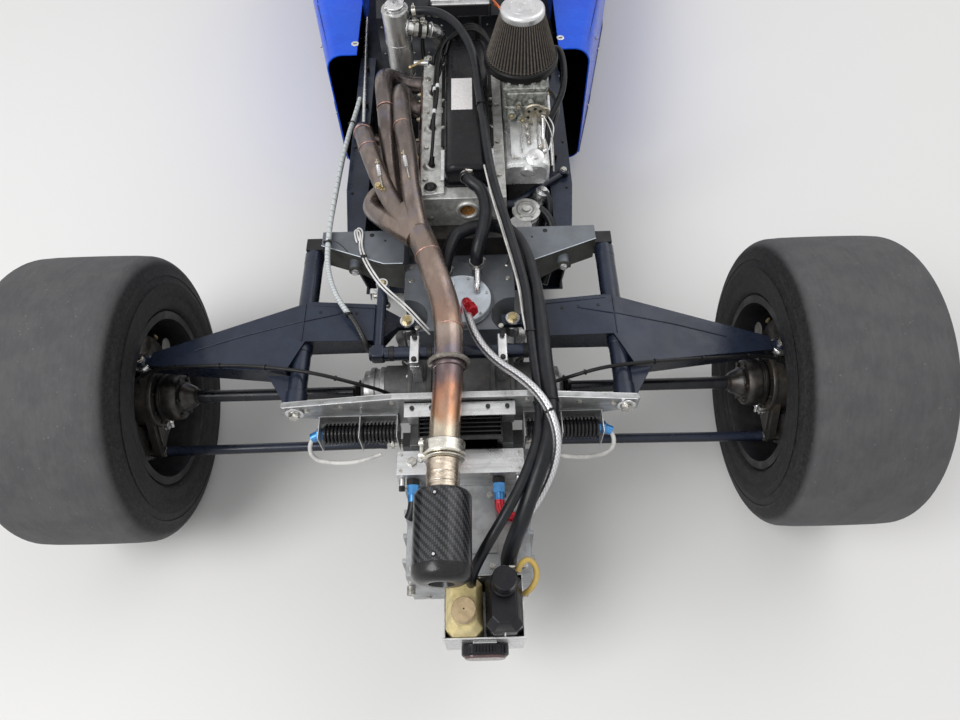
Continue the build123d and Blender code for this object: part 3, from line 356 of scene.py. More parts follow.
@dataclass(frozen=True)
class HeatTint(Finish):
    """Stainless tube coloured by heat: brown at the engine, copper and straw further along."""

    def make(self, shade: Shade) -> bpy.types.Material:
        """Build the nodes."""
        where = shade.place()
        y = shade.axis(where, 1)
        waves = shade.noise(shade.place((1, 0.5, 1)), 40, 3, 0.3, 0.7)
        run = (0.55 + MIDDLE_Y / MM_PER_M) * -1
        along = (y - run) * 0.8 + waves * 0.02 - 0.01
        stops = [
            (0.00, (0.55, 0.47, 0.34)), (0.24, (0.54, 0.46, 0.33)), (0.292, (0.60, 0.52, 0.40)),
            (0.312, (0.48, 0.25, 0.14)), (0.345, (0.40, 0.19, 0.12)), (0.362, (0.18, 0.12, 0.12)),
            (0.385, (0.15, 0.12, 0.13)),
            (0.425, (0.24, 0.185, 0.16)), (0.448, (0.36, 0.29, 0.25)), (0.456, (0.30, 0.19, 0.14)),
            (0.50, (0.25, 0.18, 0.15)), (0.60, (0.24, 0.185, 0.155)), (0.68, (0.21, 0.17, 0.15)),
            (0.85, (0.15, 0.125, 0.115)), (1.0, (0.11, 0.095, 0.095))]
        base = shade.node("ValToRGB", {"stops": stops}, {0: along})
        gold = shade.noise(shade.place((1, 0.5, 1), (0.3, 0, 0.2)), 30, 4, 0.45, 0.7)
        soot = shade.noise(shade.place((1, 0.35, 1), (0.6, 0.3, 0)), 32, 5, 0.48, 0.7)
        blue = shade.noise(shade.place(shift=(0.9, 0.5, 0)), 60, 2, 0.56, 0.72)
        colour = shade.mix(gold * 0.4, base, (0.42, 0.33, 0.28))
        colour = shade.mix(soot * 0.6, colour, (0.070, 0.055, 0.052))
        colour = shade.mix(blue * 0.25, colour, (0.13, 0.15, 0.26))
        return shade.close(Base_Color=colour, Metallic=0.85, Roughness=0.27 + soot * 0.16,
                           Normal=shade.bump(shade.noise(shade.place(), 2.0, 3), 0.03))


@dataclass(frozen=True)
class Twill(Finish):
    """Two by two carbon twill wrapped round the muffler, under a clear coat, with a painted glint on the
    crowns of the tows that lie over.
    """

    tow: float = 3.6

    def make(self, shade: Shade) -> bpy.types.Material:
        """Build the nodes."""
        where = shade.place()
        x = shade.axis(where, 0) + 0.027
        z = shade.axis(where, 2) - 0.4545
        around = where.math("ARCTAN2", x, z) * (48 / self.tow)
        along = shade.axis(where, 1) * (MM_PER_M / self.tow)
        column = around.math("FLOOR", around)
        row = along.math("FLOOR", along)
        step = column.math("FLOORED_MODULO", column + row, 4.0)
        over = step.math("LESS_THAN", step, 2.0)
        across = around - column
        down = along - row
        lobe = over * (across * (1 - across)) + (1 - over) * (down * (1 - down))
        # Painted highlight: the tows that lie over get a pale bluish glint in their base colour, brightest at
        # their crowns; the others stay black.
        painted_glint = shade.mix(over, (0.003, 0.003, 0.004), (0.085, 0.090, 0.105))
        colour = shade.mix(lobe * 2.6, (0.003, 0.003, 0.003), painted_glint)
        return shade.close(Base_Color=colour, Roughness=0.34 - over * 0.06, Specular_IOR_Level=0.3,
                           Coat_Weight=0.4, Coat_Roughness=0.06,
                           Normal=shade.bump(lobe * 4, 0.15))


@dataclass(frozen=True)
class Braid(Finish):
    """Woven steel sleeve with tracer lines along it, on the piece's own UV map."""

    turns: float = 12.0
    pitch: float = 4.0

    def make(self, shade: Shade) -> bpy.types.Material:
        """Build the nodes."""
        uv = shade.node("TexCoord", output=2)
        u = shade.axis(uv, 0) * self.pitch
        v = shade.axis(uv, 1) * self.turns
        one = (u + v).math("FRACT", u + v)
        two = (u - v).math("FRACT", u - v)
        weave = (one * (1 - one) + two * (1 - two)) * 2
        side = v.math("FRACT", v / self.turns * 3)
        tracer = side.between(0.13, 0.10) + side.between(0.87, 0.90)
        colour = shade.mix(weave, (0.26, 0.26, 0.27), (0.72, 0.72, 0.74))
        colour = shade.mix(tracer, colour, (0.03, 0.03, 0.035))
        return shade.close(Base_Color=colour, Metallic=0.8 * (1 - tracer), Roughness=0.38,
                           Normal=shade.bump(weave, 0.35))


@dataclass(frozen=True)
class GelCoat(Finish):
    """Glossy blue body panel with faint waves, dust at its foot and stone marks."""

    def make(self, shade: Shade) -> bpy.types.Material:
        """Build the nodes."""
        low = shade.axis(shade.place(), 2).between(0.22, 0.05)
        grime = shade.noise(shade.place(), 40, 5) * low * 0.35
        film = shade.noise(shade.place(shift=(0.3, 0.3, 0)), 120, 3)
        chip = shade.node("TexVoronoi", None, {"Vector": shade.place(), "Scale": 60.0}).between(0.06, 0.04)
        chips = chip * shade.noise(shade.place(), 35, 2, 0.6, 0.7)
        base = shade.mix(film, (0.001, 0.066, 0.62), (0.002, 0.088, 0.70))
        base = shade.mix(chips * 0.5, base, (0.30, 0.33, 0.38))
        dust = shade.facing_up() * shade.noise(shade.place(), 14, 5, 0.4, 0.7) * 0.02
        return shade.close(
            Base_Color=shade.mix(grime + dust, base, (0.20, 0.18, 0.15)),
            Roughness=0.22 + grime * 0.8 + film * 0.06, Specular_IOR_Level=0.2,
            Coat_Weight=0.08 * (1 - grime), Coat_Roughness=0.06,
            Normal=shade.bump(shade.noise(shade.place(), 60, 1, 0.2, 0.8), 0.35))


@dataclass(frozen=True)
class ClearPlastic(Finish):
    """Thin see-through plastic."""

    alpha: float = 0.3

    def make(self, shade: Shade) -> bpy.types.Material:
        """Build the nodes."""
        haze = shade.noise(shade.place(), 30, 4)
        return shade.close(Base_Color=self.colour, Roughness=self.rough, Alpha=haze * 0.1 + self.alpha,
                           Normal=shade.bump(haze, 0.1))


REAR_RUBBER = SlickRubber("rear slick rubber", (0.05, 0.05, 0.05))
FRONT_RUBBER = SlickRubber("front slick rubber", (0.05, 0.05, 0.05), centre_y=FRONT_AXLE.y,
                           centre_z=FRONT_AXLE.radius, outer=FRONT_AXLE.radius,
                           middle_x=FRONT_AXLE.half_track, half_tread=68)
RIM_DARK = Finish("wheel paint dark", (0.010, 0.010, 0.012), 0.42, dust=0.03, patch=45, shine=0.3)
RIM_EDGE = Finish("machined rim edge", (0.30, 0.30, 0.31), 0.36, 0.9, stain=(0.10, 0.09, 0.08))
# Its tops carry a painted navy grey sky reflection in their base colour.
GLOSS_BLACK = PowderCoat("black powder coat", (0.004, 0.006, 0.012), 0.28, coat=0.1, patch=60, dust=0.01,
                         grain=0.05, grain_size=3, shine=0.27)
SATIN_BLACK = Finish("satin black", (0.009, 0.009, 0.011), 0.45, dust=0.03, vary=0.2, shine=0.3)
CRACKLE = Finish("cam cover black", (0.005, 0.005, 0.007), 0.26, grain=0.06, grain_size=1.8, dust=0.01,
                 shine=0.22)
UPRIGHT_PAINT = Finish("upright oily paint", (0.035, 0.033, 0.030), 0.42, 0.4, stain=(0.08, 0.055, 0.03),
                       dust=0.12)
GREY_PAINT = Finish("satin grey paint", (0.125, 0.140, 0.160), 0.40, 0.25, vary=0.10, patch=70, dust=0.05,
                    stain=(0.085, 0.090, 0.095))
# Painted shade: the darker grey given to the crossmember's rear faces and the pad on them.
PAINTED_SHADE_GREY = Finish("shaded grey paint", (0.058, 0.060, 0.054), 0.45, 0.25, vary=0.15, patch=50, dust=0.05,
                    stain=(0.04, 0.038, 0.03))
TANK_PAINT = Finish("tank grey", (0.115, 0.127, 0.145), 0.38, 0.3, vary=0.12, patch=50,
                    stain=(0.06, 0.06, 0.058), dust=0.06)
CASTING = Finish("sand cast alloy", (0.22, 0.215, 0.205), 0.52, 0.55, vary=0.22, patch=22, grain=0.22,
                 grain_size=2.2, stain=(0.09, 0.07, 0.05), stain_share=0.55, dust=0.15)
GEARBOX_CAST = Finish("gearbox casting", (0.085, 0.087, 0.090), 0.50, 0.45, vary=0.14, patch=45, grain=0.2,
                      grain_size=2.5, stain=(0.045, 0.04, 0.032), stain_share=0.4, dust=0.12)
TAIL_CAST = Finish("tail casing alloy", (0.34, 0.35, 0.36), 0.44, 0.5, vary=0.16, patch=40, grain=0.2,
                   grain_size=2.5, stain=(0.16, 0.14, 0.10), stain_share=0.4, dust=0.08)
HEAD_CAST = Finish("cylinder head alloy", (0.53, 0.53, 0.515), 0.42, 0.55, vary=0.16, patch=16, grain=0.2,
                   grain_size=2, stain=(0.20, 0.17, 0.13), stain_share=0.4, dust=0.05)
TRUNK_ALLOY = Finish("intake trunk alloy", (0.62, 0.625, 0.63), 0.32, 0.75, vary=0.12, patch=18, grain=0.10,
                     grain_size=2, stain=(0.34, 0.33, 0.31), stain_share=0.3, dust=0.02)
IRON = Finish("engine iron", (0.028, 0.027, 0.027), 0.6, 0.3, stain=(0.07, 0.05, 0.035), dust=0.12)
BRUSHED = Finish("brushed sheet alloy", (0.60, 0.605, 0.61), 0.33, 0.85, vary=0.10, patch=8,
                 stretch=(0.06, 1, 1), grain=0.02, grain_size=0.6, dust=0.04, stain=(0.40, 0.39, 0.37),
                 stain_share=0.3)
BEAM_SHEET = Finish("beam plate", (0.30, 0.305, 0.31), 0.38, 0.8, vary=0.15, patch=14, stretch=(0.2, 1, 1),
                    dust=0.06, stain=(0.12, 0.115, 0.10), stain_share=0.4)
MACHINED = Finish("machined alloy", (0.62, 0.62, 0.63), 0.27, 0.95, vary=0.1, patch=15, dust=0.03)
DULL_ALLOY = Finish("dull alloy", (0.33, 0.33, 0.33), 0.42, 0.85, vary=0.2, patch=18,
                    stain=(0.16, 0.14, 0.12), dust=0.08)
POT_ALLOY = Finish("welded alloy tube", (0.56, 0.56, 0.55), 0.31, 0.85, vary=0.16, patch=26,
                   stain=(0.30, 0.27, 0.23), stretch=(1, 1, 0.4), dust=0.03)
STEEL = Finish("zinc plated steel", (0.46, 0.45, 0.42), 0.32, 0.95, vary=0.2, patch=6, dust=0.04,
               stain=(0.22, 0.15, 0.08), stain_share=0.3)
DARK_STEEL = Finish("oiled dark steel", (0.040, 0.038, 0.037), 0.38, 0.8, vary=0.3, patch=14, dust=0.08,
                    stain=(0.08, 0.055, 0.04))
SHAFT_BLACK = Finish("shaft black", (0.010, 0.011, 0.015), 0.28, 0.3, dust=0.02, shine=0.4)
BRAKE_IRON = Finish("brake disc iron", (0.20, 0.19, 0.185), 0.38, 0.9, vary=0.25, patch=9,
                    stain=(0.22, 0.10, 0.05), stain_share=0.3)
HOSE_RUBBER = Finish("hose rubber", (0.008, 0.009, 0.012), 0.34, vary=0.15, patch=40, dust=0.02, grain=0.03,
                     shine=0.26)
PLUG_RUBBER = Finish("plug boot rubber", (0.006, 0.006, 0.007), 0.36, dust=0.01, shine=0.22)
WIRE_BLACK = Finish("wire black", (0.007, 0.007, 0.008), 0.36, dust=0.01, shine=0.24)
TIE_BLACK = Finish("cable tie black", (0.005, 0.005, 0.006), 0.4, dust=0.01, shine=0.3)
SPIRAL_WRAP = SpiralWrap("white spiral wrap", (0.56, 0.59, 0.60), 0.42)
THIN_WIRE = Finish("pale thin wire", (0.58, 0.57, 0.55), 0.45, dust=0.03)
WHITE_WIRE = Finish("white twin wire", (0.70, 0.70, 0.69), 0.4, dust=0.02)
ORANGE_WIRE = Finish("orange wire", (0.60, 0.13, 0.03), 0.5, dust=0.03)
RED_ANODISED = Finish("red anodised", (0.60, 0.010, 0.025), 0.24, 0.45, 0.4, vary=0.12, dust=0.02)
BLUE_ANODISED = Finish("blue anodised", (0.060, 0.25, 0.56), 0.28, 0.6, 0.2, vary=0.15, dust=0.02)
BRASS = Finish("yellow plated", (0.52, 0.42, 0.22), 0.34, 0.9, vary=0.25, patch=8, stain=(0.20, 0.14, 0.08),
               dust=0.04)
QUADRANT = Finish("dull plated quadrant", (0.36, 0.33, 0.26), 0.36, 0.9, vary=0.25, patch=8, dust=0.04,
                  stain=(0.18, 0.14, 0.09))
WELD_PINK = Finish("weld heat ring", (0.52, 0.30, 0.25), 0.34, 0.9, vary=0.25, patch=8, dust=0.0)
RUST = Finish("rusty plug", (0.30, 0.14, 0.035), 0.75, 0.3, vary=0.4, patch=6, grain=0.3, dust=0.05)
EXHAUST = HeatTint("heat tinted stainless", (0.2, 0.15, 0.12))
SLIP_RING = Finish("scaled slip ring", (0.20, 0.18, 0.16), 0.5, 0.6, vary=0.25, patch=7, grain=0.3,
                   grain_size=3, dust=0.05)
CLAMP_STEEL = Finish("bright clamp steel", (0.70, 0.67, 0.60), 0.22, 0.95, vary=0.12, patch=14, dust=0.0)
SPIGOT_STEEL = Finish("straw tinted steel", (0.55, 0.47, 0.38), 0.26, 0.92, vary=0.2, patch=12,
                      stretch=(1, 3, 1), dust=0.0, stain=(0.34, 0.25, 0.19), stain_share=0.6)
CARBON = Twill("carbon twill", (0.02, 0.02, 0.02))
CARBON_CAP = Finish("moulded carbon cap", (0.005, 0.005, 0.006), 0.28, coat=0.2, vary=0.5, patch=3,
                    dust=0.01, shine=0.27)
FILTER_GAUZE = Finish("oiled filter gauze", (0.115, 0.098, 0.082), 0.7, 0.2, vary=0.25, patch=5, grain=0.2,
                      grain_size=0.8, dust=0.10)
FILTER_DARK = Finish("filter pleat shadow", (0.006, 0.006, 0.006), 0.8, dust=0.0)
FILTER_RUBBER = Finish("filter rubber", (0.006, 0.006, 0.006), 0.34, dust=0.01, shine=0.24)
CARB_ALLOY = Finish("weathered carburettor alloy", (0.31, 0.32, 0.30), 0.45, 0.6, vary=0.35, patch=7,
                    grain=0.25, grain_size=1.5, stain=(0.06, 0.055, 0.04), stain_share=0.6, dust=0.08)
COOLER_BLACK = Finish("black cooler fins", (0.005, 0.005, 0.007), 0.30, dust=0.02, shine=0.45)
GEL_BLUE = GelCoat("blue gel coat", (0.01, 0.13, 0.65))
SEAM_BLACK = Finish("panel gap", (0.002, 0.002, 0.003), 0.8, dust=0.0)
# Near black, used for the faces that look into the sidepod ducts and for the gauge faces.
DUCT_BLACK = Finish("duct lining", (0.003, 0.003, 0.004), 0.6, dust=0.01, shine=0.2)
TUB_SHEET = Finish("dark tub sheet", (0.020, 0.022, 0.027), 0.40, 0.3, vary=0.15, patch=80, dust=0.05,
                   shine=0.27)
SEAT_BLACK = Finish("moulded seat", (0.012, 0.012, 0.013), 0.6, vary=0.3, grain=0.15, grain_size=2)
PAD_FOAM = Finish("pad cover", (0.018, 0.018, 0.020), 0.8, vary=0.3, grain=0.12, grain_size=0.7)
BELT_WEB = Finish("harness webbing", (0.030, 0.032, 0.040), 0.75, vary=0.2, patch=8, grain=0.15,
                  grain_size=1.5, dust=0.08)
SUEDE = Finish("grip suede", (0.014, 0.014, 0.015), 0.85, vary=0.3, patch=6, grain=0.2, grain_size=0.6)
AGED_PLASTIC = Finish("aged pale plastic", (0.58, 0.48, 0.23), 0.38, coat=0.1, vary=0.16, patch=22,
                      stain=(0.34, 0.24, 0.10), dust=0.05)
AGED_CAP = Finish("aged tan cap", (0.40, 0.30, 0.17), 0.5, vary=0.14, patch=14, stain=(0.28, 0.19, 0.10),
                  dust=0.08)
DARK_PLASTIC = Finish("black moulded plastic", (0.006, 0.006, 0.009), 0.32, dust=0.01, shine=0.26)
LENS_RED = Finish("dark red lens", (0.05, 0.003, 0.004), 0.18, coat=0.8, vary=0.2, grain=0.4,
                  grain_size=2.4, dust=0.03)
MIRROR_GLASS = Finish("mirror glass", (0.72, 0.74, 0.76), 0.05, 1.0, vary=0.02, dust=0.03, grain=0.0)
BLANK_LABEL = Finish("blank label", (0.70, 0.68, 0.68), 0.42, vary=0.06, patch=5, dust=0.04,
                     stain=(0.60, 0.48, 0.48), stain_share=0.3)
BLANK_LID = Finish("blasted lid alloy", (0.56, 0.61, 0.67), 0.42, 0.4, vary=0.08, patch=24, dust=0.03,
                   stain=(0.42, 0.44, 0.46), stain_share=0.3)
AGED_WHITE = Finish("pale ferrule", (0.66, 0.68, 0.68), 0.4, vary=0.1, dust=0.05)
CAP_ALLOY = Finish("satin filter cap", (0.60, 0.60, 0.61), 0.33, 0.75, vary=0.08, patch=30, dust=0.03)
SCREEN_CLEAR = ClearPlastic("clear screen", (0.70, 0.76, 0.80), 0.08, alpha=0.28)
YELLOW_TUBE = ClearPlastic("yellow clear tube", (0.66, 0.46, 0.12), 0.2, alpha=0.85)
RADIATOR_CORE = Finish("radiator core", (0.045, 0.045, 0.048), 0.5, 0.6, vary=0.3, patch=6, dust=0.12)
RADIATOR_TANK = Finish("radiator tank alloy", (0.30, 0.31, 0.32), 0.38, 0.85, vary=0.15, patch=20, dust=0.1)
EDGE_RUBBER = Finish("edge trim rubber", (0.009, 0.009, 0.010), 0.5, dust=0.03, shine=0.3)


def show(item: bpy.types.Object) -> None:
    """Put an object in the scene."""
    bpy.context.scene.collection.objects.link(item)


def spread(spots: list[Point], axis: Point) -> list[Matrix]:
    """Matrices that stand a shape's Z along an axis at each of the spots."""
    aim = Vector(axis).to_track_quat("Z", "Y").to_matrix().to_4x4()
    return [Matrix.Translation(spot) @ aim for spot in spots]


def refresh_normals(mesh: bmesh.types.BMesh) -> None:
    """Point all faces outwards."""
    bmesh.ops.recalc_face_normals(mesh, faces=mesh.faces)


def aimed(start: Vector, end: Vector) -> Matrix:
    """Matrix that puts a shape's middle between two points with its Z along them."""
    run = end - start
    return Matrix.Translation((start + end) / 2) @ run.to_track_quat("Z", "Y").to_matrix().to_4x4()


def spline_points(points: list[Point], radius: float = 0.0, sides: int = 12, order: int = 3,
                  steps: int = 8) -> bpy.types.Mesh:
    """Mesh of one open NURBS spline.

    Args:
        points: Its control points.
        radius: Radius of the tube round it, or 0 for the bare line.
        sides: Number of the tube's sides.
        order: The spline's order.
        steps: Divisions between two control points.

    Returns:
        A mesh, in the units of the points.
    """
    curve = bpy.data.curves.new("run", "CURVE")
    curve.dimensions = "3D"
    spline = curve.splines.new("NURBS")
    spline.points.add(len(points) - 1)
    for knot, point in zip(spline.points, points):
        knot.co = (*point, 1)
    spline.order_u = order
    spline.use_endpoint_u = True
    spline.resolution_u = steps
    curve.resolution_u = steps
    curve.bevel_depth = radius
    curve.bevel_resolution = max(0, sides // 4 - 1)
    curve.use_fill_caps = radius > 0
    holder = bpy.data.objects.new("run", curve)
    show(holder)
    mesh = bpy.data.meshes.new_from_object(holder)
    bpy.data.objects.remove(holder)
    bpy.data.curves.remove(curve)
    return mesh


class Form:
    """A piece in the making: shapes in layout millimetres, each with its own finish."""

    def __init__(self, name: str) -> None:
        """Start an empty piece."""
        self.name = name
        self.mesh = bmesh.new()
        self.finishes: list[Finish] = []

    def add(self, shape: bmesh.types.BMesh, finish: Finish, places: list[Matrix] | None = None) -> "Form":
        """Take a finished shape into the piece.

        Args:
            shape: The shape, which is freed.
            finish: Its finish.
            places: Where copies of it go, or None for one as it is.

        Returns:
            The piece.
        """
        if finish not in self.finishes:
            self.finishes.append(finish)
        number = self.finishes.index(finish)
        for face in shape.faces:
            face.material_index = number
            face.smooth = True
        for place in places or [Matrix.Identity(4)]:
            copy = bpy.data.meshes.new("copy")
            shape.to_mesh(copy)
            copy.transform(place)
            self.mesh.from_mesh(copy)
            bpy.data.meshes.remove(copy)
        shape.free()
        return self

    @staticmethod
    def round_edges(shape: bmesh.types.BMesh, width: float, least: float = 30.0, segments: int = 2) -> None:
        """Round the edges that are sharper than least degrees."""
        if width <= 0:
            return
        limit = math.radians(least)
        edges = [e for e in shape.edges if len(e.link_faces) == 2 and e.calc_face_angle(0) > limit]
        bmesh.ops.bevel(shape, geom=edges, offset=width, offset_type="OFFSET", segments=segments,
                        profile=0.5, affect="EDGES", clamp_overlap=True, material=-1)

    def box(self, low: Point, high: Point, finish: Finish, edge: float = 1.0,
            places: list[Matrix] | None = None) -> "Form":
        """Box between two corners, with rounded edges."""
        shape = bmesh.new()
        low, high = Vector(low), Vector(high)
        size = Matrix.Diagonal((*(abs(c) for c in high - low), 1))
        bmesh.ops.create_cube(shape, size=1, matrix=Matrix.Translation((low + high) / 2) @ size)
        self.round_edges(shape, edge)
        return self.add(shape, finish, places)

    def rod(self, start: Point, end: Point, radius: float, finish: Finish, end_radius: float | None = None,
            sides: int = 20, edge: float = 0.6, places: list[Matrix] | None = None) -> "Form":
        """Round bar, cone or nut between two points."""
        shape = bmesh.new()
        start, end = Vector(start), Vector(end)
        bmesh.ops.create_cone(shape, cap_ends=True, cap_tris=False, segments=sides, radius1=radius,
                              radius2=radius if end_radius is None else end_radius,
                              depth=(end - start).length, matrix=aimed(start, end))
        self.round_edges(shape, edge, 61 if sides <= 6 else 40)
        return self.add(shape, finish, places)

    def ball(self, centre: Point, radius: float, finish: Finish, squash: float = 1.0) -> "Form":
        """Ball, or an oval one when squash along Z isn't 1."""
        shape = bmesh.new()
        size = Matrix.Diagonal((radius, radius, radius * squash, 1))
        bmesh.ops.create_uvsphere(shape, u_segments=20, v_segments=12, radius=1,
                                  matrix=Matrix.Translation(centre) @ size)
        return self.add(shape, finish)

    def ring(self, centre: Point, axis: Point, radius: float, tube: float, finish: Finish, sides: int = 40,
             small: int = 10) -> "Form":
        """Round ring with a round section."""
        profile = [(math.sin(a) * tube, radius + math.cos(a) * tube)
                   for a in (math.tau * n / small for n in range(small))]
        return self.lathe(profile, centre, axis, finish, sides, True)

    def lathe(self, profile: list[tuple[float, float]], centre: Point, axis: Point, finish: Finish,
              sides: int = 48, closed: bool = False, edge: float = 0.0, keep: bool = True) -> "Form":
        """Shape spun about an axis.

        Args:
            profile: Points as (distance along the axis, radius).
            centre: Where the axis has distance 0.
            axis: The axis's direction.
            finish: Its finish.
            sides: Steps of the spin.
            closed: Whether the profile's last point joins its first.
            edge: Width of rounded edges.
            keep: Whether to point the faces outwards.

        Returns:
            The piece.
        """
        shape = bmesh.new()
        along = Vector(axis).normalized()
        out = along.orthogonal().normalized()
        centre = Vector(centre)
        knots = [shape.verts.new(centre + along * a + out * r) for a, r in profile]
        pairs = list(zip(knots, knots[1:])) + ([(knots[-1], knots[0])] if closed else [])
        edges = [shape.edges.new(pair) for pair in pairs]
        bmesh.ops.spin(shape, geom=knots + edges, cent=centre, axis=along, dvec=(0, 0, 0), angle=math.tau,
                       steps=sides, use_merge=True, use_duplicate=False)
        bmesh.ops.remove_doubles(shape, verts=shape.verts, dist=MERGE_DISTANCE)
        if keep:
            refresh_normals(shape)
        self.round_edges(shape, edge, 40)
        return self.add(shape, finish)

    def pipe(self, points: list[Point], radius: float, finish: Finish, sides: int = 16, order: int = 3,
             steps: int = 8) -> "Form":
        """Round tube along one smooth line."""
        run = spline_points(points, radius, sides, order, steps)
        shape = bmesh.new()
        shape.from_mesh(run)
        bpy.data.meshes.remove(run)
        bmesh.ops.remove_doubles(shape, verts=shape.verts, dist=MERGE_DISTANCE)
        refresh_normals(shape)
        return self.add(shape, finish)

    def coil(self, start: Point, end: Point, radius: float, wire: float, turns: float, finish: Finish,
             sides: int = 8) -> "Form":
        """Coil spring between two points."""
        start, end = Vector(start), Vector(end)
        run = end - start
        out = run.orthogonal().normalized()
        side = run.normalized().cross(out)
        count = int(turns * 12)
        points = []
        for number in range(count + 1):
            turn = math.tau * turns * number / count
            spot = start + run * (number / count) + (out * math.cos(turn) + side * math.sin(turn)) * radius
            points.append(tuple(spot))
        return self.pipe(points, wire, finish, sides, 4, 2)

    def plate(self, outline: list[Point], thick: Point, finish: Finish, edge: float = 0.8,
              places: list[Matrix] | None = None) -> "Form":
        """Flat plate: an outline pushed along a vector."""
        shape = bmesh.new()
        face = shape.faces.new([shape.verts.new(p) for p in outline])
        pushed = bmesh.ops.extrude_face_region(shape, geom=[face])["geom"]
        moved = [g for g in pushed if isinstance(g, bmesh.types.BMVert)]
        bmesh.ops.translate(shape, verts=moved, vec=thick)
        refresh_normals(shape)
        self.round_edges(shape, edge)
        return self.add(shape, finish, places)

    def loft(self, rings: list[list[Point]], finish: Finish, caps: bool = True,
             edge: float = 0.0) -> "Form":
        """Skin through closed rings that have the same number of points."""
        shape = bmesh.new()
        loops = []
        for ring in rings:
            knots = [shape.verts.new(p) for p in ring]
            loops.append([shape.edges.new(pair) for pair in zip(knots, knots[1:] + knots[:1])])
        for first, second in zip(loops, loops[1:]):
            bmesh.ops.bridge_loops(shape, edges=first + second)
        if caps:
            for loop in (loops[0], loops[-1]):
                bmesh.ops.contextual_create(shape, geom=loop)
        refresh_normals(shape)
        self.round_edges(shape, edge)
        return self.add(shape, finish)

    def bolts(self, spots: list[Point], axis: Point, size: float, finish: Finish,
              height: float | None = None, washer: bool = True) -> "Form":
        """Hexagon bolt heads that stand on the given spots."""
        tall = size * 0.6 if height is None else height
        places = spread(spots, axis)
        if washer:
            self.rod((0, 0, 0), (0, 0, size * 0.14), size * 1.05, finish, sides=18, edge=0.2, places=places)
        self.rod((0, 0, size * 0.14), (0, 0, tall), size * 0.9, finish, sides=6, edge=0.3, places=places)
        return self

    def caps(self, spots: list[Point], axis: Point, radius: float, finish: Finish,
             socket: Finish) -> "Form":
        """Socket head screws that stand on the given spots. Each socket is a flat hex in the socket finish;
        where that finish is black, it is painted shade of the recess.
        """
        places = spread(spots, axis)
        self.rod((0, 0, 0), (0, 0, radius), radius, finish, sides=18, edge=radius * 0.15, places=places)
        # Flat hex for the socket: a black one is painted shade of the recess.
        self.rod((0, 0, radius * 0.9), (0, 0, radius * 1.02), radius * 0.5, socket, sides=6, edge=0,
                 places=places)
        return self

    def node(self, name: str, finish: Finish, edge: float = 1.2, least: float = 30.0) -> "Form":
        """Merged copy of a CAD node's mesh with its hard edges rounded."""
        shape = bmesh.new()
        shape.from_mesh(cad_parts[name].data)
        bmesh.ops.transform(shape, matrix=FROM_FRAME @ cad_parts[name].matrix_world, verts=shape.verts)
        bmesh.ops.remove_doubles(shape, verts=shape.verts, dist=0.02)
        bmesh.ops.dissolve_limit(shape, angle_limit=math.radians(1.0), verts=shape.verts, edges=shape.edges,
                                 delimit={"NORMAL"})
        self.round_edges(shape, edge, least)
        return self.add(shape, finish)

    def strap(self, points: list[Point], across: Point, wide: float, thick: float,
              finish: Finish) -> "Form":
        """Flat strip along a line, its width along one direction."""
        way = Vector(across).normalized() * wide / 2
        rings = []
        for before, here, after in zip(points[:1] + points[:-1], points, points[1:] + points[-1:]):
            up = (Vector(after) - Vector(before)).cross(way).normalized() * thick / 2
            spot = Vector(here)
            rings.append([tuple(spot + a * way + b * up) for a, b in ((1, 1), (-1, 1), (-1, -1), (1, -1))])
        return self.loft(rings, finish)

    def paint(self, finish: Finish, test: Callable[[Vector, Vector], bool]) -> "Form":
        """Give a finish to the faces whose middle and normal pass a test."""
        if finish not in self.finishes:
            self.finishes.append(finish)
        self.mesh.normal_update()
        for face in self.mesh.faces:
            if test(face.calc_center_median(), face.normal):
                face.material_index = self.finishes.index(finish)
        return self

    def mirrored(self) -> "Form":
        """Add the mirror image across the car."""
        copy = bpy.data.meshes.new("copy")
        self.mesh.to_mesh(copy)
        copy.transform(Matrix.Diagonal((-1, 1, 1, 1)))
        copy.flip_normals()
        self.mesh.from_mesh(copy)
        bpy.data.meshes.remove(copy)
        return self

    def flipped(self, sign: int) -> "Form":
        """Turn a right side piece into the left one when sign is negative."""
        if sign < 0:
            bmesh.ops.scale(self.mesh, vec=(-1, 1, 1), verts=self.mesh.verts)
            bmesh.ops.reverse_faces(self.mesh, faces=self.mesh.faces)
        return self

    def finish(self, body: str = CHASSIS, replaces: tuple[str, ...] = (), slot: str = "",
               sharp: float = 50.0, weighted: bool = True) -> bpy.types.Object:
        """Make the object, put it in the scene and let it ride.

        Args:
            body: The CAD body it rides on.
            replaces: CAD nodes that it stands for.
            slot: Not used.
            sharp: Angle above which an edge stays hard, in degrees.
            weighted: Whether flat faces keep their shading flat.

        Returns:
            The object.
        """
        data = bpy.data.meshes.new(self.name)
        self.mesh.to_mesh(data)
        self.mesh.free()
        data.transform(TO_FRAME)
        for finish in self.finishes:
            data.materials.append(finish.material())
        data.set_sharp_from_angle(angle=math.radians(sharp))
        made = bpy.data.objects.new(self.name, data)
        show(made)
        if weighted:
            level = made.modifiers.new("flat faces", "WEIGHTED_NORMAL")
            level.keep_sharp = True
        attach(made, body)
        if replaces:
            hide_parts(*replaces)
        log.info("%s: %d faces", self.name, len(data.polygons))
        return made


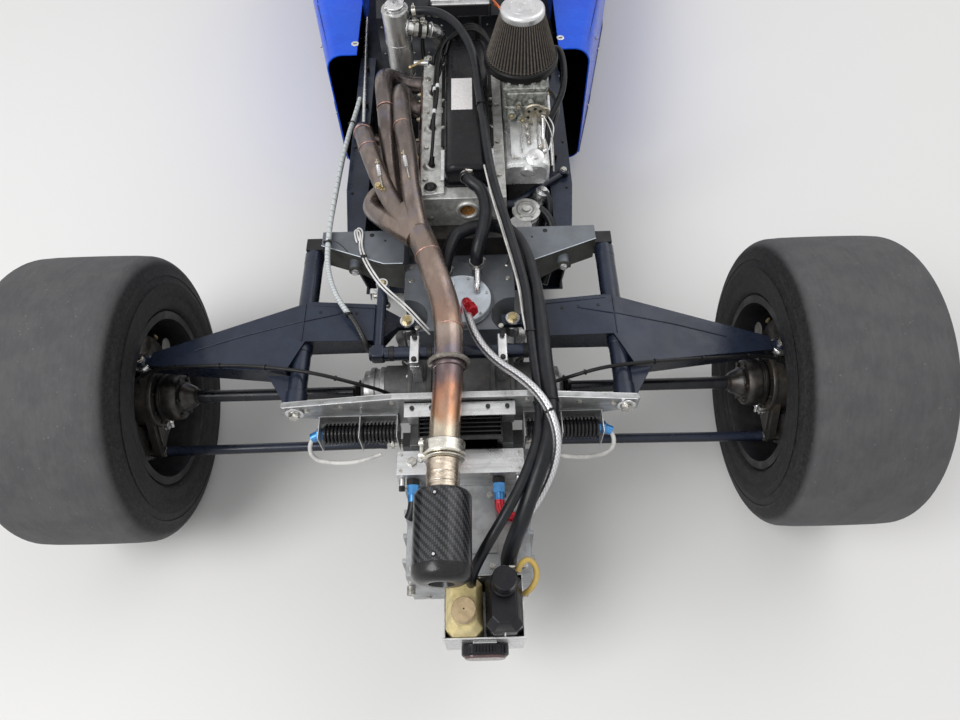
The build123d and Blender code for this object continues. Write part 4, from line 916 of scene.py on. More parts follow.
@dataclass
class Studio:
    """Plain pale floor, soft light and the camera at the photograph's angle."""

    eye: Point = (44.946, -722.665, 1547.463)
    yaw: float = -0.56895
    pitch: float = 57.91015
    roll: float = -2.02337
    lens: float = 27.05
    sensor_width: float = 36
    farthest: float = 50
    floor_size: float = 30
    sky_on_surfaces: float = 0.56
    sky_seen: float = 1.0
    lamp_target: Point = (0, -1.0, 0.3)

    def camera(self) -> None:
        """Camera above and behind the rear axle, looking down."""
        yaw, pitch, roll = (math.radians(a) for a in (self.yaw, self.pitch, self.roll))
        ahead = Vector((math.sin(yaw) * math.cos(pitch), math.cos(yaw) * math.cos(pitch), -math.sin(pitch)))
        level = Vector((math.cos(yaw), -math.sin(yaw), 0))
        above = level.cross(ahead)
        right = level * math.cos(roll) + above * math.sin(roll)
        up = above * math.cos(roll) - level * math.sin(roll)
        turn = Matrix((right, up, -ahead)).transposed().to_4x4()
        lens = bpy.data.cameras.new("camera")
        lens.sensor_width = self.sensor_width
        lens.lens = self.lens
        lens.clip_end = self.farthest
        holder = bpy.data.objects.new("camera", lens)
        holder.matrix_world = Matrix.Translation(at(*self.eye)) @ turn
        show(holder)
        bpy.context.scene.camera = holder

    def floor(self) -> None:
        """Large pale floor under the tyres."""
        shape = bmesh.new()
        bmesh.ops.create_grid(shape, x_segments=1, y_segments=1, size=self.floor_size)
        data = bpy.data.meshes.new("floor")
        shape.to_mesh(data)
        shape.free()
        shade = Shade("pale floor")
        data.materials.append(shade.close(Base_Color=(0.76, 0.755, 0.745), Roughness=0.85))
        ground = bpy.data.objects.new("floor", data)
        show(ground)

    def lamp(self, name: str, place: Point, size: float, power: float) -> None:
        """Large square lamp that faces the car's rear half."""
        data = bpy.data.lights.new(name, "AREA")
        data.size = size
        data.energy = power
        holder = bpy.data.objects.new(name, data)
        spot = Vector(place)
        aim = (Vector(self.lamp_target) - spot).to_track_quat("-Z", "Y")
        holder.matrix_world = Matrix.Translation(spot) @ aim.to_matrix().to_4x4()
        show(holder)

    def light(self) -> None:
        """World and lamps: an overcast sky with a soft brighter side."""
        world = bpy.data.worlds.new("sky")
        bpy.context.scene.world = world
        world.use_nodes = True
        tree = world.node_tree
        tree.nodes.clear()
        path = tree.nodes.new("ShaderNodeLightPath")
        seen = path.outputs["Is Camera Ray"]
        for ray in ("Is Glossy Ray", "Is Transmission Ray"):
            either = tree.nodes.new("ShaderNodeMath")
            either.operation = "MAXIMUM"
            tree.links.new(seen, either.inputs[0])
            tree.links.new(path.outputs[ray], either.inputs[1])
            seen = either.outputs[0]
        strength = tree.nodes.new("ShaderNodeMapRange")
        strength.inputs["To Min"].default_value = self.sky_on_surfaces
        strength.inputs["To Max"].default_value = self.sky_seen
        tree.links.new(seen, strength.inputs["Value"])
        sky = tree.nodes.new("ShaderNodeBackground")
        sky.inputs["Color"].default_value = (1, 1, 1, 1)
        tree.links.new(strength.outputs[0], sky.inputs["Strength"])
        out = tree.nodes.new("ShaderNodeOutputWorld")
        tree.links.new(sky.outputs[0], out.inputs[0])
        self.lamp("key", (-3.2, -3.4, 5.2), 3.2, 250)
        self.lamp("fill", (3.6, 1.4, 5.0), 4.5, 90)
        bpy.context.scene.view_settings.view_transform = "Standard"

    def build(self) -> None:
        """Set the whole studio up."""
        self.camera()
        self.floor()
        self.light()


@dataclass(frozen=True)
class HoseRun:
    """One hose that the car holds at both ends: its node, radius, finish, slot and route."""

    node: str
    radius: float
    finish: Finish
    slot: str
    route: tuple[Point, ...]

    def touch(self, number: int) -> tuple[Point, Vector]:
        """Where the line touches the run that follows one of its control points, and its direction there."""
        here, after = Vector(self.route[number]), Vector(self.route[number + 1])
        return tuple((here + after) / 2), after - here


BREATHER = HoseRun("breather_hose", 13, HOSE_RUBBER, "rubber", (
    (20, 371.7, 512), (24, 352, 512), (50, 335, 506), (59, 293, 495), (52, 254, 480), (38, 218, 462),
    (36, 206, 445), (36, 206, 426.3)))
THICK_HOSE = HoseRun("bottle_hose_thick", 14, HOSE_RUBBER, "rubber", (
    (-30, 206, 400.3), (-30, 206, 432), (-10, 262, 442), (3, 278, 443), (40, 291, 447), (83, 287, 450),
    (112, 262, 454), (131, 211, 458), (144, 139, 462), (149, 67, 464), (152, 5, 466), (153, -65, 466),
    (157, -113, 465), (157, -147, 464), (150, -196, 458), (137, -232, 448), (120, -272, 432),
    (100, -318, 400), (84, -345, 362), (78, -358, 335), (78, -366, 322), (78, -383.7, 322)))
THIN_HOSE = HoseRun("bottle_hose_thin", 9, HOSE_RUBBER, "rubber", (
    (-103, 814, 588), (-78, 814, 590), (-34, 790, 600), (2, 750, 600), (29, 698, 590), (43, 648, 576),
    (50, 574, 556), (57, 489, 548), (63, 408, 540), (71, 347, 530), (83, 293, 516), (94, 256, 504),
    (106, 205, 492), (118, 153, 482), (127, 99, 478), (130, 35, 472), (132, -15, 468), (135, -64, 466),
    (138, -112, 464), (138, -157, 462), (130, -205, 456), (105, -263, 442), (72, -316, 424),
    (40, -360, 402), (20, -388, 375), (14, -398, 350), (14, -398, 330.3)))
BRAIDED_HOSE = HoseRun("braided_hose", 8, Braid("braided steel hose", (0.5, 0.5, 0.5), pitch=70, turns=9),
                       "braid", (
    (14, 100, 412.3), (14, 98, 436), (17, 68, 448), (28, 18, 462), (48, -28, 472), (76, -65, 480),
    (101, -89, 488), (125, -117, 494), (145, -147, 494), (158, -176, 484), (164, -204, 468),
    (160, -228, 444), (148, -252, 410), (128, -276, 372), (108, -294, 345), (104, -296, 325),
    (104, -296, 300.3)))
WRAPPED_CABLE = HoseRun("wrapped_cable", 5.5, SPIRAL_WRAP, "wrap", (
    (-246, 790, 375.9), (-251, 720, 384), (-258, 640, 397), (-262, 540, 411), (-264, 420, 426),
    (-265, 300, 441), (-261, 215, 447), (-253, 172, 448), (-240, 132, 446), (-220, 98, 441),
    (-196, 66, 435), (-178, 30, 425), (-172, 24, 398), (-158, 26, 366), (-124, 36, 354), (-86, 42, 357),
    (-86, 42, 345.3)))
HOSE_RUNS = (BREATHER, THICK_HOSE, THIN_HOSE, BRAIDED_HOSE, WRAPPED_CABLE)
BRAKE_LINES = {
    "left": ((95.3, -46, 335), (122, -46, 336), (150, -45, 370), (201, -46, 403), (255, -40, 425),
             (318, -28, 427), (400, -11, 416), (500, 0, 401), (580, 4, 389), (632, -10, 366),
             (646, -24, 346)),
    "right": ((95.3, -46, 335), (122, -46, 336), (150, -46, 370), (200, -47, 403), (260, -40, 423),
              (318, -35, 426), (400, -24, 416), (500, -12, 401), (580, -2, 389), (630, -12, 366),
              (646, -24, 346)),
}


def line_length(points: list[Point]) -> float:
    """Length in metres of a hose's own line through its route, in millimetres."""
    run = spline_points(points)
    spots = [v.co.copy() for v in run.vertices]
    bpy.data.meshes.remove(run)
    return sum((b - a).length for a, b in zip(spots, spots[1:])) / MM_PER_M


@dataclass
class Hoses:
    """The hoses and lines, each one curve along its route."""

    line_radius: float = 3.5

    def run(self, name: str, hose: HoseRun) -> None:
        """One hose as a bevelled spline, its real length logged."""
        curve = bpy.data.curves.new(name, "CURVE")
        curve.dimensions = "3D"
        spline = curve.splines.new("NURBS")
        spline.points.add(len(hose.route) - 1)
        for knot, point in zip(spline.points, hose.route):
            knot.co = (*at(*point), 1)
        spline.order_u = 3
        spline.use_endpoint_u = True
        spline.resolution_u = 8
        curve.bevel_depth = hose.radius / MM_PER_M
        curve.bevel_resolution = 5
        curve.use_fill_caps = True
        curve.materials.append(hose.finish.material())
        made = bpy.data.objects.new(name, curve)
        show(made)
        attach(made, CHASSIS)
        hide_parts(hose.node)
        length = line_length(list(hose.route))
        tuple(at(*hose.route[0]))
        2 * hose.radius / 1000
        log.info("%s: %.3f m", name, length)

    def build(self) -> None:
        """All hoses and both brake lines."""
        for hose in HOSE_RUNS:
            self.run(hose.node.replace("_", "-"), hose)
        for side, sign in SIDES:
            route = tuple((sign * x, y, z) for x, y, z in BRAKE_LINES[side])
            self.run(f"brake-line-{side}",
                     HoseRun("brake_lines", self.line_radius, WIRE_BLACK, "rubber", route))


@dataclass
class CarcassPlain:
    """CAD pieces whose shape is right, each with its edges rounded and its finish on."""

    rows: tuple[tuple[str, Finish, str, float], ...] = (
        ("rear_uprights", UPRIGHT_PAINT, "upright", 1.5),
        ("rear_beam", BEAM_SHEET, "alloy", 0.8),
        ("engine_block", IRON, "engine", 3.0),
        ("engine_bay_frame", GLOSS_BLACK, "frame_black", 0.8),
        ("front_rockers", GLOSS_BLACK, "arm_black", 2.0),
        ("front_wishbones", GLOSS_BLACK, "arm_black", 0.8),
        ("steering_rack", DULL_ALLOY, "alloy", 1.0),
    )

    def build(self) -> None:
        """One piece for each row."""
        for node, finish, slot, edge in self.rows:
            Form(node.replace("_", "-")).node(node, finish, edge).finish(replaces=(node,), slot=slot)


@dataclass
class Tyre:
    """One slick tyre: crown, shoulders, moulded sidewall rings and bead."""

    node: str
    body: str
    centre: Point
    width: float
    radius: float
    finish: Finish
    bead_radius: float = 165.0
    bead_inset: float = 16.0

    def profile(self) -> list[tuple[float, float]]:
        """Section of one half, from the crown's middle to the bead."""
        half, outer = self.width / 2, self.radius
        points = [(0, outer)]
        points += [(half * t, outer - 2.2 * t * t) for t in (0.2, 0.4, 0.6)]
        flat = half - 34
        points.append((flat, outer - 2))
        for step in range(1, 9):
            turn = math.radians(step * 10)
            points.append((flat + 26 * math.sin(turn), outer - 2 - 26 * (1 - math.cos(turn))))
        points += [(half - 6.5, outer - 34), (half - 3.6, outer - 40), (half - 5.0, outer - 42),
                   (half - 2.6, outer - 50)]
        low = self.bead_radius + 9
        points += [(half - 0.4, outer - 62), (half, (outer + low) / 2), (half - 1.2, low + 34),
                   (half - 2.4, low + 32), (half - 2.0, low + 22), (half - 4.6, low + 12),
                   (half - 4.4, low + 9), (half - 8, low + 5), (half - self.bead_inset, low + 2),
                   (half - self.bead_inset, self.bead_radius)]
        return points

    def build(self) -> None:
        """Spin the section."""
        half = self.profile()
        section = half + [(-x, r) for x, r in reversed(half[1:])]
        form = Form(self.node.replace("_", "-"))
        form.lathe(section, self.centre, RIGHT, self.finish, 96, True)
        form.finish(self.body, (self.node,), "tyre", weighted=False)


@dataclass
class Rim:
    """One wheel: barrel, windowed centre, bolts and nut, made for the right side."""

    node: str
    body: str
    sign: int
    centre: Point
    width: float
    face_inset: float = 70.0
    windows: int = 8
    bolts: int = 4
    bolt_circle: float = 50

    def build(self, stub: bool) -> None:
        """Make the wheel.

        Args:
            stub: Whether its stub axle is part of it, as on the front wheels.
        """
        bead = self.width / 2 - 15.7
        half = bead + 5
        cx, cy, cz = self.centre
        form = Form(self.node.replace("_", "-"))
        barrel = [(-half, 173.7), (-bead - 1, 173.7), (-bead, 172), (-bead, 164.7), (-bead + 26, 164.7),
                  (-bead + 34, 161.5), (bead - 34, 161.5), (bead - 26, 164.7), (bead, 164.7), (bead, 172),
                  (bead + 1, 173.7), (half, 173.7), (half, 158.7), (half - 6, 157.2), (half - 20, 154),
                  (half - 44, 154), (half - 46, 155.5), (-half + 46, 155.5), (-half + 44, 154),
                  (-half + 20, 154), (-half + 6, 157.2), (-half, 158.7)]
        form.lathe(barrel, (cx, cy, cz), RIGHT, RIM_DARK, 72, True)
        face = half - self.face_inset
        self.centre_disc(form, face)
        form.ring((cx + face + 3, cy, cz), RIGHT, 62, 1.6, RIM_EDGE)
        form.rod((cx + face + 10, cy, cz), (cx + face + 20, cy, cz), 40, RIM_EDGE, 36, 32)
        form.rod((cx + face + 18, cy, cz), (cx + face + 38, cy, cz), 29, RED_ANODISED if self.sign > 0 else
                 BLUE_ANODISED, sides=6, edge=1.5)
        form.rod((cx + face + 37, cy, cz), (cx + face + 37.9, cy, cz), 12, DARK_STEEL, sides=24)
        for number in range(self.bolts):
            turn = math.tau * (number + 0.5) / self.bolts
            y, z = (self.bolt_circle * part for part in (math.cos(turn), math.sin(turn)))
            spot = (cx + face + 12, cy + y, cz + z)
            form.bolts([spot], RIGHT, 8, STEEL)
        form.rod((cx + half - 30, cy, cz - 158), (cx + half - 12, cy, cz - 146), 3, DARK_STEEL, sides=10)
        if stub:
            form.lathe([(-84, 0), (-84, 20), (face - 14, 20), (face - 14, 55), (face, 55), (face, 0)],
                       (cx, cy, cz), RIGHT, DULL_ALLOY, 40, edge=1.0)
            form.lathe([(-46, 60), (-46, 119), (-45, 120), (-42.6, 120), (-42.4, 112), (-39.6, 112),
                        (-39.4, 120), (-37, 120), (-36, 119), (-36, 60)], (cx, cy, cz), RIGHT,
                       BRAKE_IRON, 64, True)
            form.lathe([(-44, 20), (-44, 61), (-38, 61), (-36, 58), (-13, 49), (-12, 46), (-12, 20)],
                       (cx, cy, cz), RIGHT, DULL_ALLOY, 48, True, edge=0.6)
        form.flipped(self.sign)
        form.finish(self.body, (self.node,), "rim")

    def centre_disc(self, form: Form, face: float) -> None:
        """Cast centre with eight windows between its spokes."""
        cx, cy, cz = self.centre
        shape = bmesh.new()
        profile = [(face + 6, 30), (face + 6, 56), (face + 8, 72), (face + 18, 86), (face + 24, 104),
                   (face + 27, 122), (face + 28, 138), (face + 28, 155)]
        knots = [shape.verts.new((cx + a, cy, cz + r)) for a, r in profile]
        edges = [shape.edges.new(pair) for pair in zip(knots, knots[1:])]
        steps = self.windows * 10
        bmesh.ops.spin(shape, geom=knots + edges, cent=(cx, cy, cz), axis=RIGHT, dvec=(0, 0, 0),
                       angle=math.tau, steps=steps, use_merge=True, use_duplicate=False)
        bmesh.ops.remove_doubles(shape, verts=shape.verts, dist=0.01)
        cut = []
        for f in shape.faces:
            mid = f.calc_center_median()
            reach = math.hypot(mid.y - cy, mid.z - cz)
            turn = math.atan2(mid.y - cy, mid.z - cz) / math.tau * self.windows % 1
            if 88 < reach < 130 and 0.22 < turn < 0.78 + (reach - 88) * 0.0005:
                cut.append(f)
        bmesh.ops.delete(shape, geom=cut, context="FACES")
        refresh_normals(shape)
        bmesh.ops.solidify(shape, geom=shape.faces, thickness=8)
        refresh_normals(shape)
        form.round_edges(shape, 1.6, 60)
        form.add(shape, RIM_DARK)


@dataclass
class DriveLine:
    """Drive shafts: output flange, bolted joints, shaft and brake disc."""

    axle_z: float = REAR_AXLE.radius
    flange_x: float = 150.3
    joint_x: float = 563.0
    disc_x: float = 696.6

    def shaft(self, side: str, sign: int) -> None:
        """One side's shaft."""
        z = self.axle_z
        form = Form(f"drive-shaft-{side}")
        inner = [(self.flange_x, 0), (self.flange_x, 50), (self.flange_x + 10, 50),
                 (self.flange_x + 11, 46), (self.flange_x + 20, 46), (self.flange_x + 21, 49),
                 (self.flange_x + 30, 49), (self.flange_x + 31, 43), (self.flange_x + 42, 42),
                 (self.flange_x + 46, 30), (self.flange_x + 50, 26)]
        form.lathe(inner, (0, 0, z), RIGHT, DULL_ALLOY, 48, edge=0.8)
        boot = [(self.flange_x + 50, 26), (self.flange_x + 52, 22), (self.flange_x + 55, 25),
                (self.flange_x + 58, 19), (self.flange_x + 61, 21), (self.flange_x + 64, 16),
                (self.flange_x + 68, 13.5)]
        form.lathe(boot, (0, 0, z), RIGHT, PLUG_RUBBER, 40)
        shaft = [(self.flange_x + 66, 12), (self.joint_x - 60, 12), (self.joint_x - 58, 13.5),
                 (self.joint_x - 30, 13.5)]
        form.lathe(shaft, (0, 0, z), RIGHT, SHAFT_BLACK, 32)
        form.lathe([(self.joint_x - 34, 12.5), (self.joint_x - 32, 15), (self.joint_x - 22, 15),
                    (self.joint_x - 20, 12.5)], (0, 0, z), RIGHT, DARK_STEEL, 32)
        cup = [(self.joint_x - 30, 13), (self.joint_x - 26, 20), (self.joint_x - 14, 26),
               (self.joint_x - 8, 30), (self.joint_x - 4, 30), (self.joint_x - 2, 34),
               (self.joint_x - 2, 42), (self.joint_x, 45), (self.joint_x + 10, 48), (self.joint_x + 24, 48),
               (self.joint_x + 25, 43), (self.joint_x + 30, 43), (self.joint_x + 31, 47),
               (self.joint_x + 36, 47), (self.joint_x + 40, 34)]
        form.lathe(cup, (0, 0, z), RIGHT, DARK_STEEL, 56, edge=0.6)
        disc = self.disc_x
        stub = [(self.joint_x + 40, 34), (disc - 26, 34), (disc - 26, 62), (disc, 62), (disc, 0)]
        form.lathe(stub, (0, 0, z), RIGHT, DARK_STEEL, 48, edge=0.8)
        brake = disc - 60
        rotor = [(brake, 66), (brake, 126), (brake + 1, 127), (brake + 3.4, 127), (brake + 3.6, 118),
                 (brake + 6.4, 118), (brake + 6.6, 127), (brake + 9, 127), (brake + 10, 126),
                 (brake + 10, 66)]
        form.lathe(rotor, (0, 0, z), RIGHT, BRAKE_IRON, 72, True)
        bell = [(brake + 8, 76), (brake + 10.5, 76), (disc - 27, 70), (disc - 26, 62), (disc - 30, 62),
                (brake + 8, 69)]
        form.lathe(bell, (0, 0, z), RIGHT, DULL_ALLOY, 56, True)
        for number in range(6):
            turn = math.tau * number / 6 + 0.2
            around = (math.cos(turn), math.sin(turn))
            for x, reach, size, way in ((self.joint_x - 1, 38, 5, -1), (self.flange_x + 30.5, 40, 4, 1)):
                spot = (x, reach * around[0], z + reach * around[1])
                form.caps([spot], (way, 0, 0), size, DARK_STEEL if way < 0 else STEEL, SATIN_BLACK)
        form.flipped(sign)
        form.finish(f"wheel_rear_{side}", (f"drive_shaft_{side}",), "steel_dark")

    def build(self) -> None:
        """Build the pieces of both sides."""
        for side, sign in SIDES:
            self.shaft(side, sign)


@dataclass
class RearCorner:
    """Rear rocker arms, toe links, calipers and the small parts on the uprights."""

    ball: Point = (618, 29, 370)
    pivot_x: float = 299.0
    pivot_z: float = 400.0
    link_outer: Point = (645, -80, 200)
    link_inner: Point = (125, -75, 200)

    def rod_end(self, form: Form, centre: Point, axis: Point, shank: Point, size: float = 12.0) -> None:
        """Spherical bearing in its housing, with a threaded shank and a lock nut.

        Args:
            form: Where it goes.
            centre: Middle of its ball.
            axis: Direction of its bolt.
            shank: Point the shank runs to.
            size: Radius of its ball.
        """
        form.lathe([(-size * 0.55, size * 0.9), (-size * 0.55, size * 1.35), (-size * 0.4, size * 1.5),
                    (size * 0.4, size * 1.5), (size * 0.55, size * 1.35), (size * 0.55, size * 0.9)],
                   centre, axis, MACHINED, 32, True)
        form.ball(centre, size, STEEL)
        form.rod(centre, shank, size * 0.55, DULL_ALLOY, sides=16)
        far = Vector(centre).lerp(Vector(shank), 0.62)
        form.rod(tuple(far), tuple(Vector(centre).lerp(Vector(shank), 0.78)), size * 0.95, STEEL, sides=6)

    def rocker(self) -> None:
        """Both rocker arms: the fabricated box, its pivot tube, seams and bearing housings."""
        form = Form("rear-rockers").node("rear_rockers", GLOSS_BLACK, 1.6)
        made = Form("rocker-fittings")
        x, z = self.pivot_x, self.pivot_z
        for low, high in ((236, 263), (-93, -66)):
            made.lathe([(0, 12), (0, 19.5), (high - low, 19.5), (high - low, 12)], (x, low, z), FORWARD,
                       GLOSS_BLACK, 32, True, edge=0.8)
        made.lathe([(0, 0), (0, 18), (2, 19), (216, 19), (218, 18), (218, 0)], (x, 20, z), FORWARD,
                   GLOSS_BLACK, 32)
        for start, end in (((297, 35, 425.0), (297, 121, 425.0)), ((231, 97, 421.8), (295, 80, 424.8)),
                           ((299, 80, 424.6), (415, 60, 408.8)), ((415, 60, 408.8), (509, 38, 395.8)),
                           ((160, 110, 418.6), (283, 118, 423.2))):
            made.rod(start, end, 1.1, GLOSS_BLACK, sides=8, edge=0)
        made.plate([(315, -30, 402), (315, -86, 402), (322, -86, 402), (356, -29, 402)], (0, 0, 4),
                   GLOSS_BLACK)
        made.plate([(306, -88, 398), (306, -60, 398), (318, -60, 398), (330, -34, 398), (318, -88, 398)],
                   (0, 0, 3), GLOSS_BLACK)
        for spot in ((198, 99, 419.6), (230, 100, 421.0), (268, 101, 422.6)):
            made.rod(spot, (spot[0], spot[1], spot[2] + 1.2), 3.2, SATIN_BLACK, sides=18)
        bx, by, bz = self.ball
        self.rod_end(made, (bx, by, bz), UP, (bx - 44, by, bz + 1), 13)
        made.rod((bx, by, bz - 20), (bx, by, bz + 18), 5.5, STEEL, sides=16)
        made.bolts([(bx, by, bz + 15)], UP, 9, STEEL)
        made.rod((bx - 44, by, bz), (bx - 30, by, bz), 12.5, MACHINED, 11, 24)
        made.mirrored()
        form.finish(replaces=("rear_rockers",), slot="arm_black")
        made.finish(slot="arm_black")

    def links(self) -> None:
        """Toe links with rod ends at both ends."""
        form = Form("rear-links")
        ox, oy, oz = self.link_outer
        ix, iy, iz = self.link_inner
        inner, outer = Vector((ix + 34, iy, iz)), Vector((ox - 36, oy, oz))
        form.rod(tuple(inner), tuple(outer), 10, GLOSS_BLACK, sides=24, edge=1)
        for end, way in ((inner, 1), (outer, -1)):
            run = (outer - inner).normalized() * way
            form.rod(tuple(end), tuple(end + run * 14), 11.5, GLOSS_BLACK, 10, 24)
        form.rod((ix + 8, iy, iz), (ix + 36, iy, iz), 6.5, STEEL, sides=16)
        form.rod((ix + 18, iy, iz), (ix + 26, iy, iz), 11, STEEL, sides=6)
        form.box((ix + 0.3, iy - 7, iz - 7), (ix + 9, iy + 7, iz + 7), STEEL, 1.5)
        self.rod_end(form, (ox, oy, oz), UP, (ox - 40, oy, oz), 11)
        form.rod((ox, oy, oz - 17), (ox, oy, oz + 10), 5, STEEL, sides=16)
        form.bolts([(ox, oy, oz - 10)], (0, 0, -1), 8, STEEL)
        form.mirrored()
        form.finish(replaces=("rear_links",), slot="arm_black")

    def upright_fittings(self) -> None:
        """Bearing ring, studs, seams and the breather on each upright."""
        form = Form("upright-fittings")
        z = REAR_AXLE.radius
        form.lathe([(0, 41), (0, 58), (3, 59.5), (8, 59.5), (8, 41)], (604, 0, z), RIGHT, UPRIGHT_PAINT,
                   48, True, edge=0.6)
        for number in range(8):
            turn = math.tau * (number + 0.5) / 8
            form.caps([(604, 50 * math.cos(turn), z + 50 * math.sin(turn))], LEFT, 3.6, DARK_STEEL,
                      SATIN_BLACK)
        for spots in (((610, 50, 343), (610, 9, 330)), ((610, -52, 268), (610, -78, 226))):
            form.rod(*spots, 3, UPRIGHT_PAINT, sides=12)
        form.bolts([(612, -20, 238), (612, -38, 228)], LEFT, 6, MACHINED, 7)
        form.rod((606, -44, 250), (598, -44, 250), 6, STEEL, sides=16)
        form.ball((600, -30, 240), 6.5, MACHINED)
        form.rod((600, -30, 240), (600, -36, 226), 4, MACHINED, sides=12)
        form.mirrored()
        form.finish(slot="upright")

    def calipers(self) -> None:
        """Calipers: the CAD body with bridge bolts, fluid union and bleed screw."""
        form = Form("rear-calipers").node("rear_calipers", CASTING, 3.0)
        details = Form("caliper-details")
        disc = 641.6
        for dz in (-36, -12, 12, 32):
            details.caps([(disc + 26, 112 - abs(dz) * 0.2, REAR_AXLE.radius + dz)], RIGHT, 4, DARK_STEEL,
                         SATIN_BLACK)
        for dz in (-26, 20):
            details.lathe([(0, 0), (0, 17), (1.5, 18), (3, 16), (3, 0)],
                          (disc - 26, 110, REAR_AXLE.radius + dz), LEFT, CASTING, 32)
        details.rod((disc - 14, 118, 325), (disc - 14, 118, 337), 4, BRASS, 2.5, 12)
        details.rod((disc + 12, 118, 325), (disc + 12, 118, 334), 5, STEEL, sides=6)
        details.mirrored()
        form.finish(replaces=("rear_calipers",), slot="cast")
        details.finish(slot="cast")

    def build(self) -> None:
        """All rear corner pieces."""
        self.rocker()
        self.links()
        self.upright_fittings()
        self.calipers()


@dataclass
class SpringDampers:
    """Rear coil spring and damper units beside the oil tank."""

    x: float = 104.0
    y: float = 100.0
    base: float = 140.0
    top: float = 372.0

    def build(self) -> None:
        """Both units."""
        form = Form("spring-dampers")
        x, y = self.x, self.y
        form.rod((x, y, self.base), (x, y, self.base + 20), 12, DULL_ALLOY, sides=24)
        form.lathe([(20, 0), (20, 27), (22, 29), (27, 29), (28, 26), (34, 21), (96, 21), (97, 0)],
                   (x, y, self.base), UP, DULL_ALLOY, 40, edge=0.5)
        form.lathe([(30, 21.2), (30, 24), (34, 25.5), (38, 25.5), (42, 24), (42, 21.2)], (x, y, self.base),
                   UP, BLUE_ANODISED, 40)
        form.coil((x, y, self.base + 36), (x, y, self.top - 44), 25, 3.6, 6.5, DARK_STEEL, 10)
        form.lathe([(-46, 0), (-46, 26), (-44, 28.5), (-38, 29), (-34, 27), (-31, 14), (-4, 13), (-2, 8),
                    (0, 6)],
                   (x, y, self.top), UP, DULL_ALLOY, 40)
        form.rod((x, y, self.base + 90), (x, y, self.top - 30), 6, MACHINED, sides=20)
        form.rod((x, y, self.top - 2), (x, y, self.top + 14), 6, MACHINED, sides=20)
        form.lathe([(12.3, 0), (12.3, 14), (14, 15.5), (17, 14), (17, 0)], (x, y, self.top), UP,
                   MACHINED, 28)
        form.rod((x, y, self.top + 14), (x, y, self.top + 24), 10, BRASS, sides=6)
        form.mirrored()
        form.finish(replaces=("spring_dampers",), slot="spring")


@dataclass
class AntiRollBar:
    """Anti roll bar with its lever, clamps and drop link."""

    z: float = 425.0

    def build(self) -> None:
        """Make the bar."""
        z = self.z
        form = Form("anti-roll-bar")
        form.lathe([(0, 0), (0, 12), (1.2, 13), (296, 13), (297.2, 12), (297.2, 0)], (-166, 0, z),
                   RIGHT, GLOSS_BLACK, 36)
        for x in (-130, -60, 50, 118):
            form.lathe([(0, 13), (1, 14.2), (9, 14.2), (10, 13)], (x, 0, z), RIGHT, SATIN_BLACK, 36)
        form.rod((-150, -8, z), (-150, 156, z), 9.5, GLOSS_BLACK, sides=24)
        form.box((-163, -14, z - 13.5), (-137, 14, z + 13.5), GLOSS_BLACK, 5)
        form.lathe([(-9, 8), (-9, 11), (-7, 12.4), (7, 12.4), (9, 11), (9, 8)], (-150, 160, z), UP,
                   MACHINED, 36, True)
        form.ball((-150, 160, z), 9, STEEL)
        form.bolts([(-150, 160, z + 7)], UP, 6, BRASS, 5)
        for x in (-82, 80):
            for half, low, high, edge in ((17, 345.3, 412, 1.0), (30, 412, 425, 1.5), (30, 426, 440, 2.5)):
                form.box((x - 9, -half, low), (x + 9, half, high), MACHINED, edge)
            form.caps([(x, -24, 440), (x, 24, 440)], UP, 5, SATIN_BLACK, DARK_STEEL)
        form.finish(replaces=("anti_roll_bar",), slot="arm_black")
        link = Form("roll-bar-link")
        link.rod((-163, 160, z - 30), (-172, 160, z - 30), 7, STEEL, sides=6)
        link.rod((-150, 160, z - 12), (-150, 158, z - 60), 5, DARK_STEEL, sides=16)
        link.ball((-150, 158, z - 62), 8, MACHINED)
        link.box((-178, 152, z - 15), (-158, 164, z - 13), MACHINED, 0.4)
        link.box((-178, 152, z - 36), (-176, 164, z - 13), MACHINED, 0.4)
        link.finish(slot="spring")


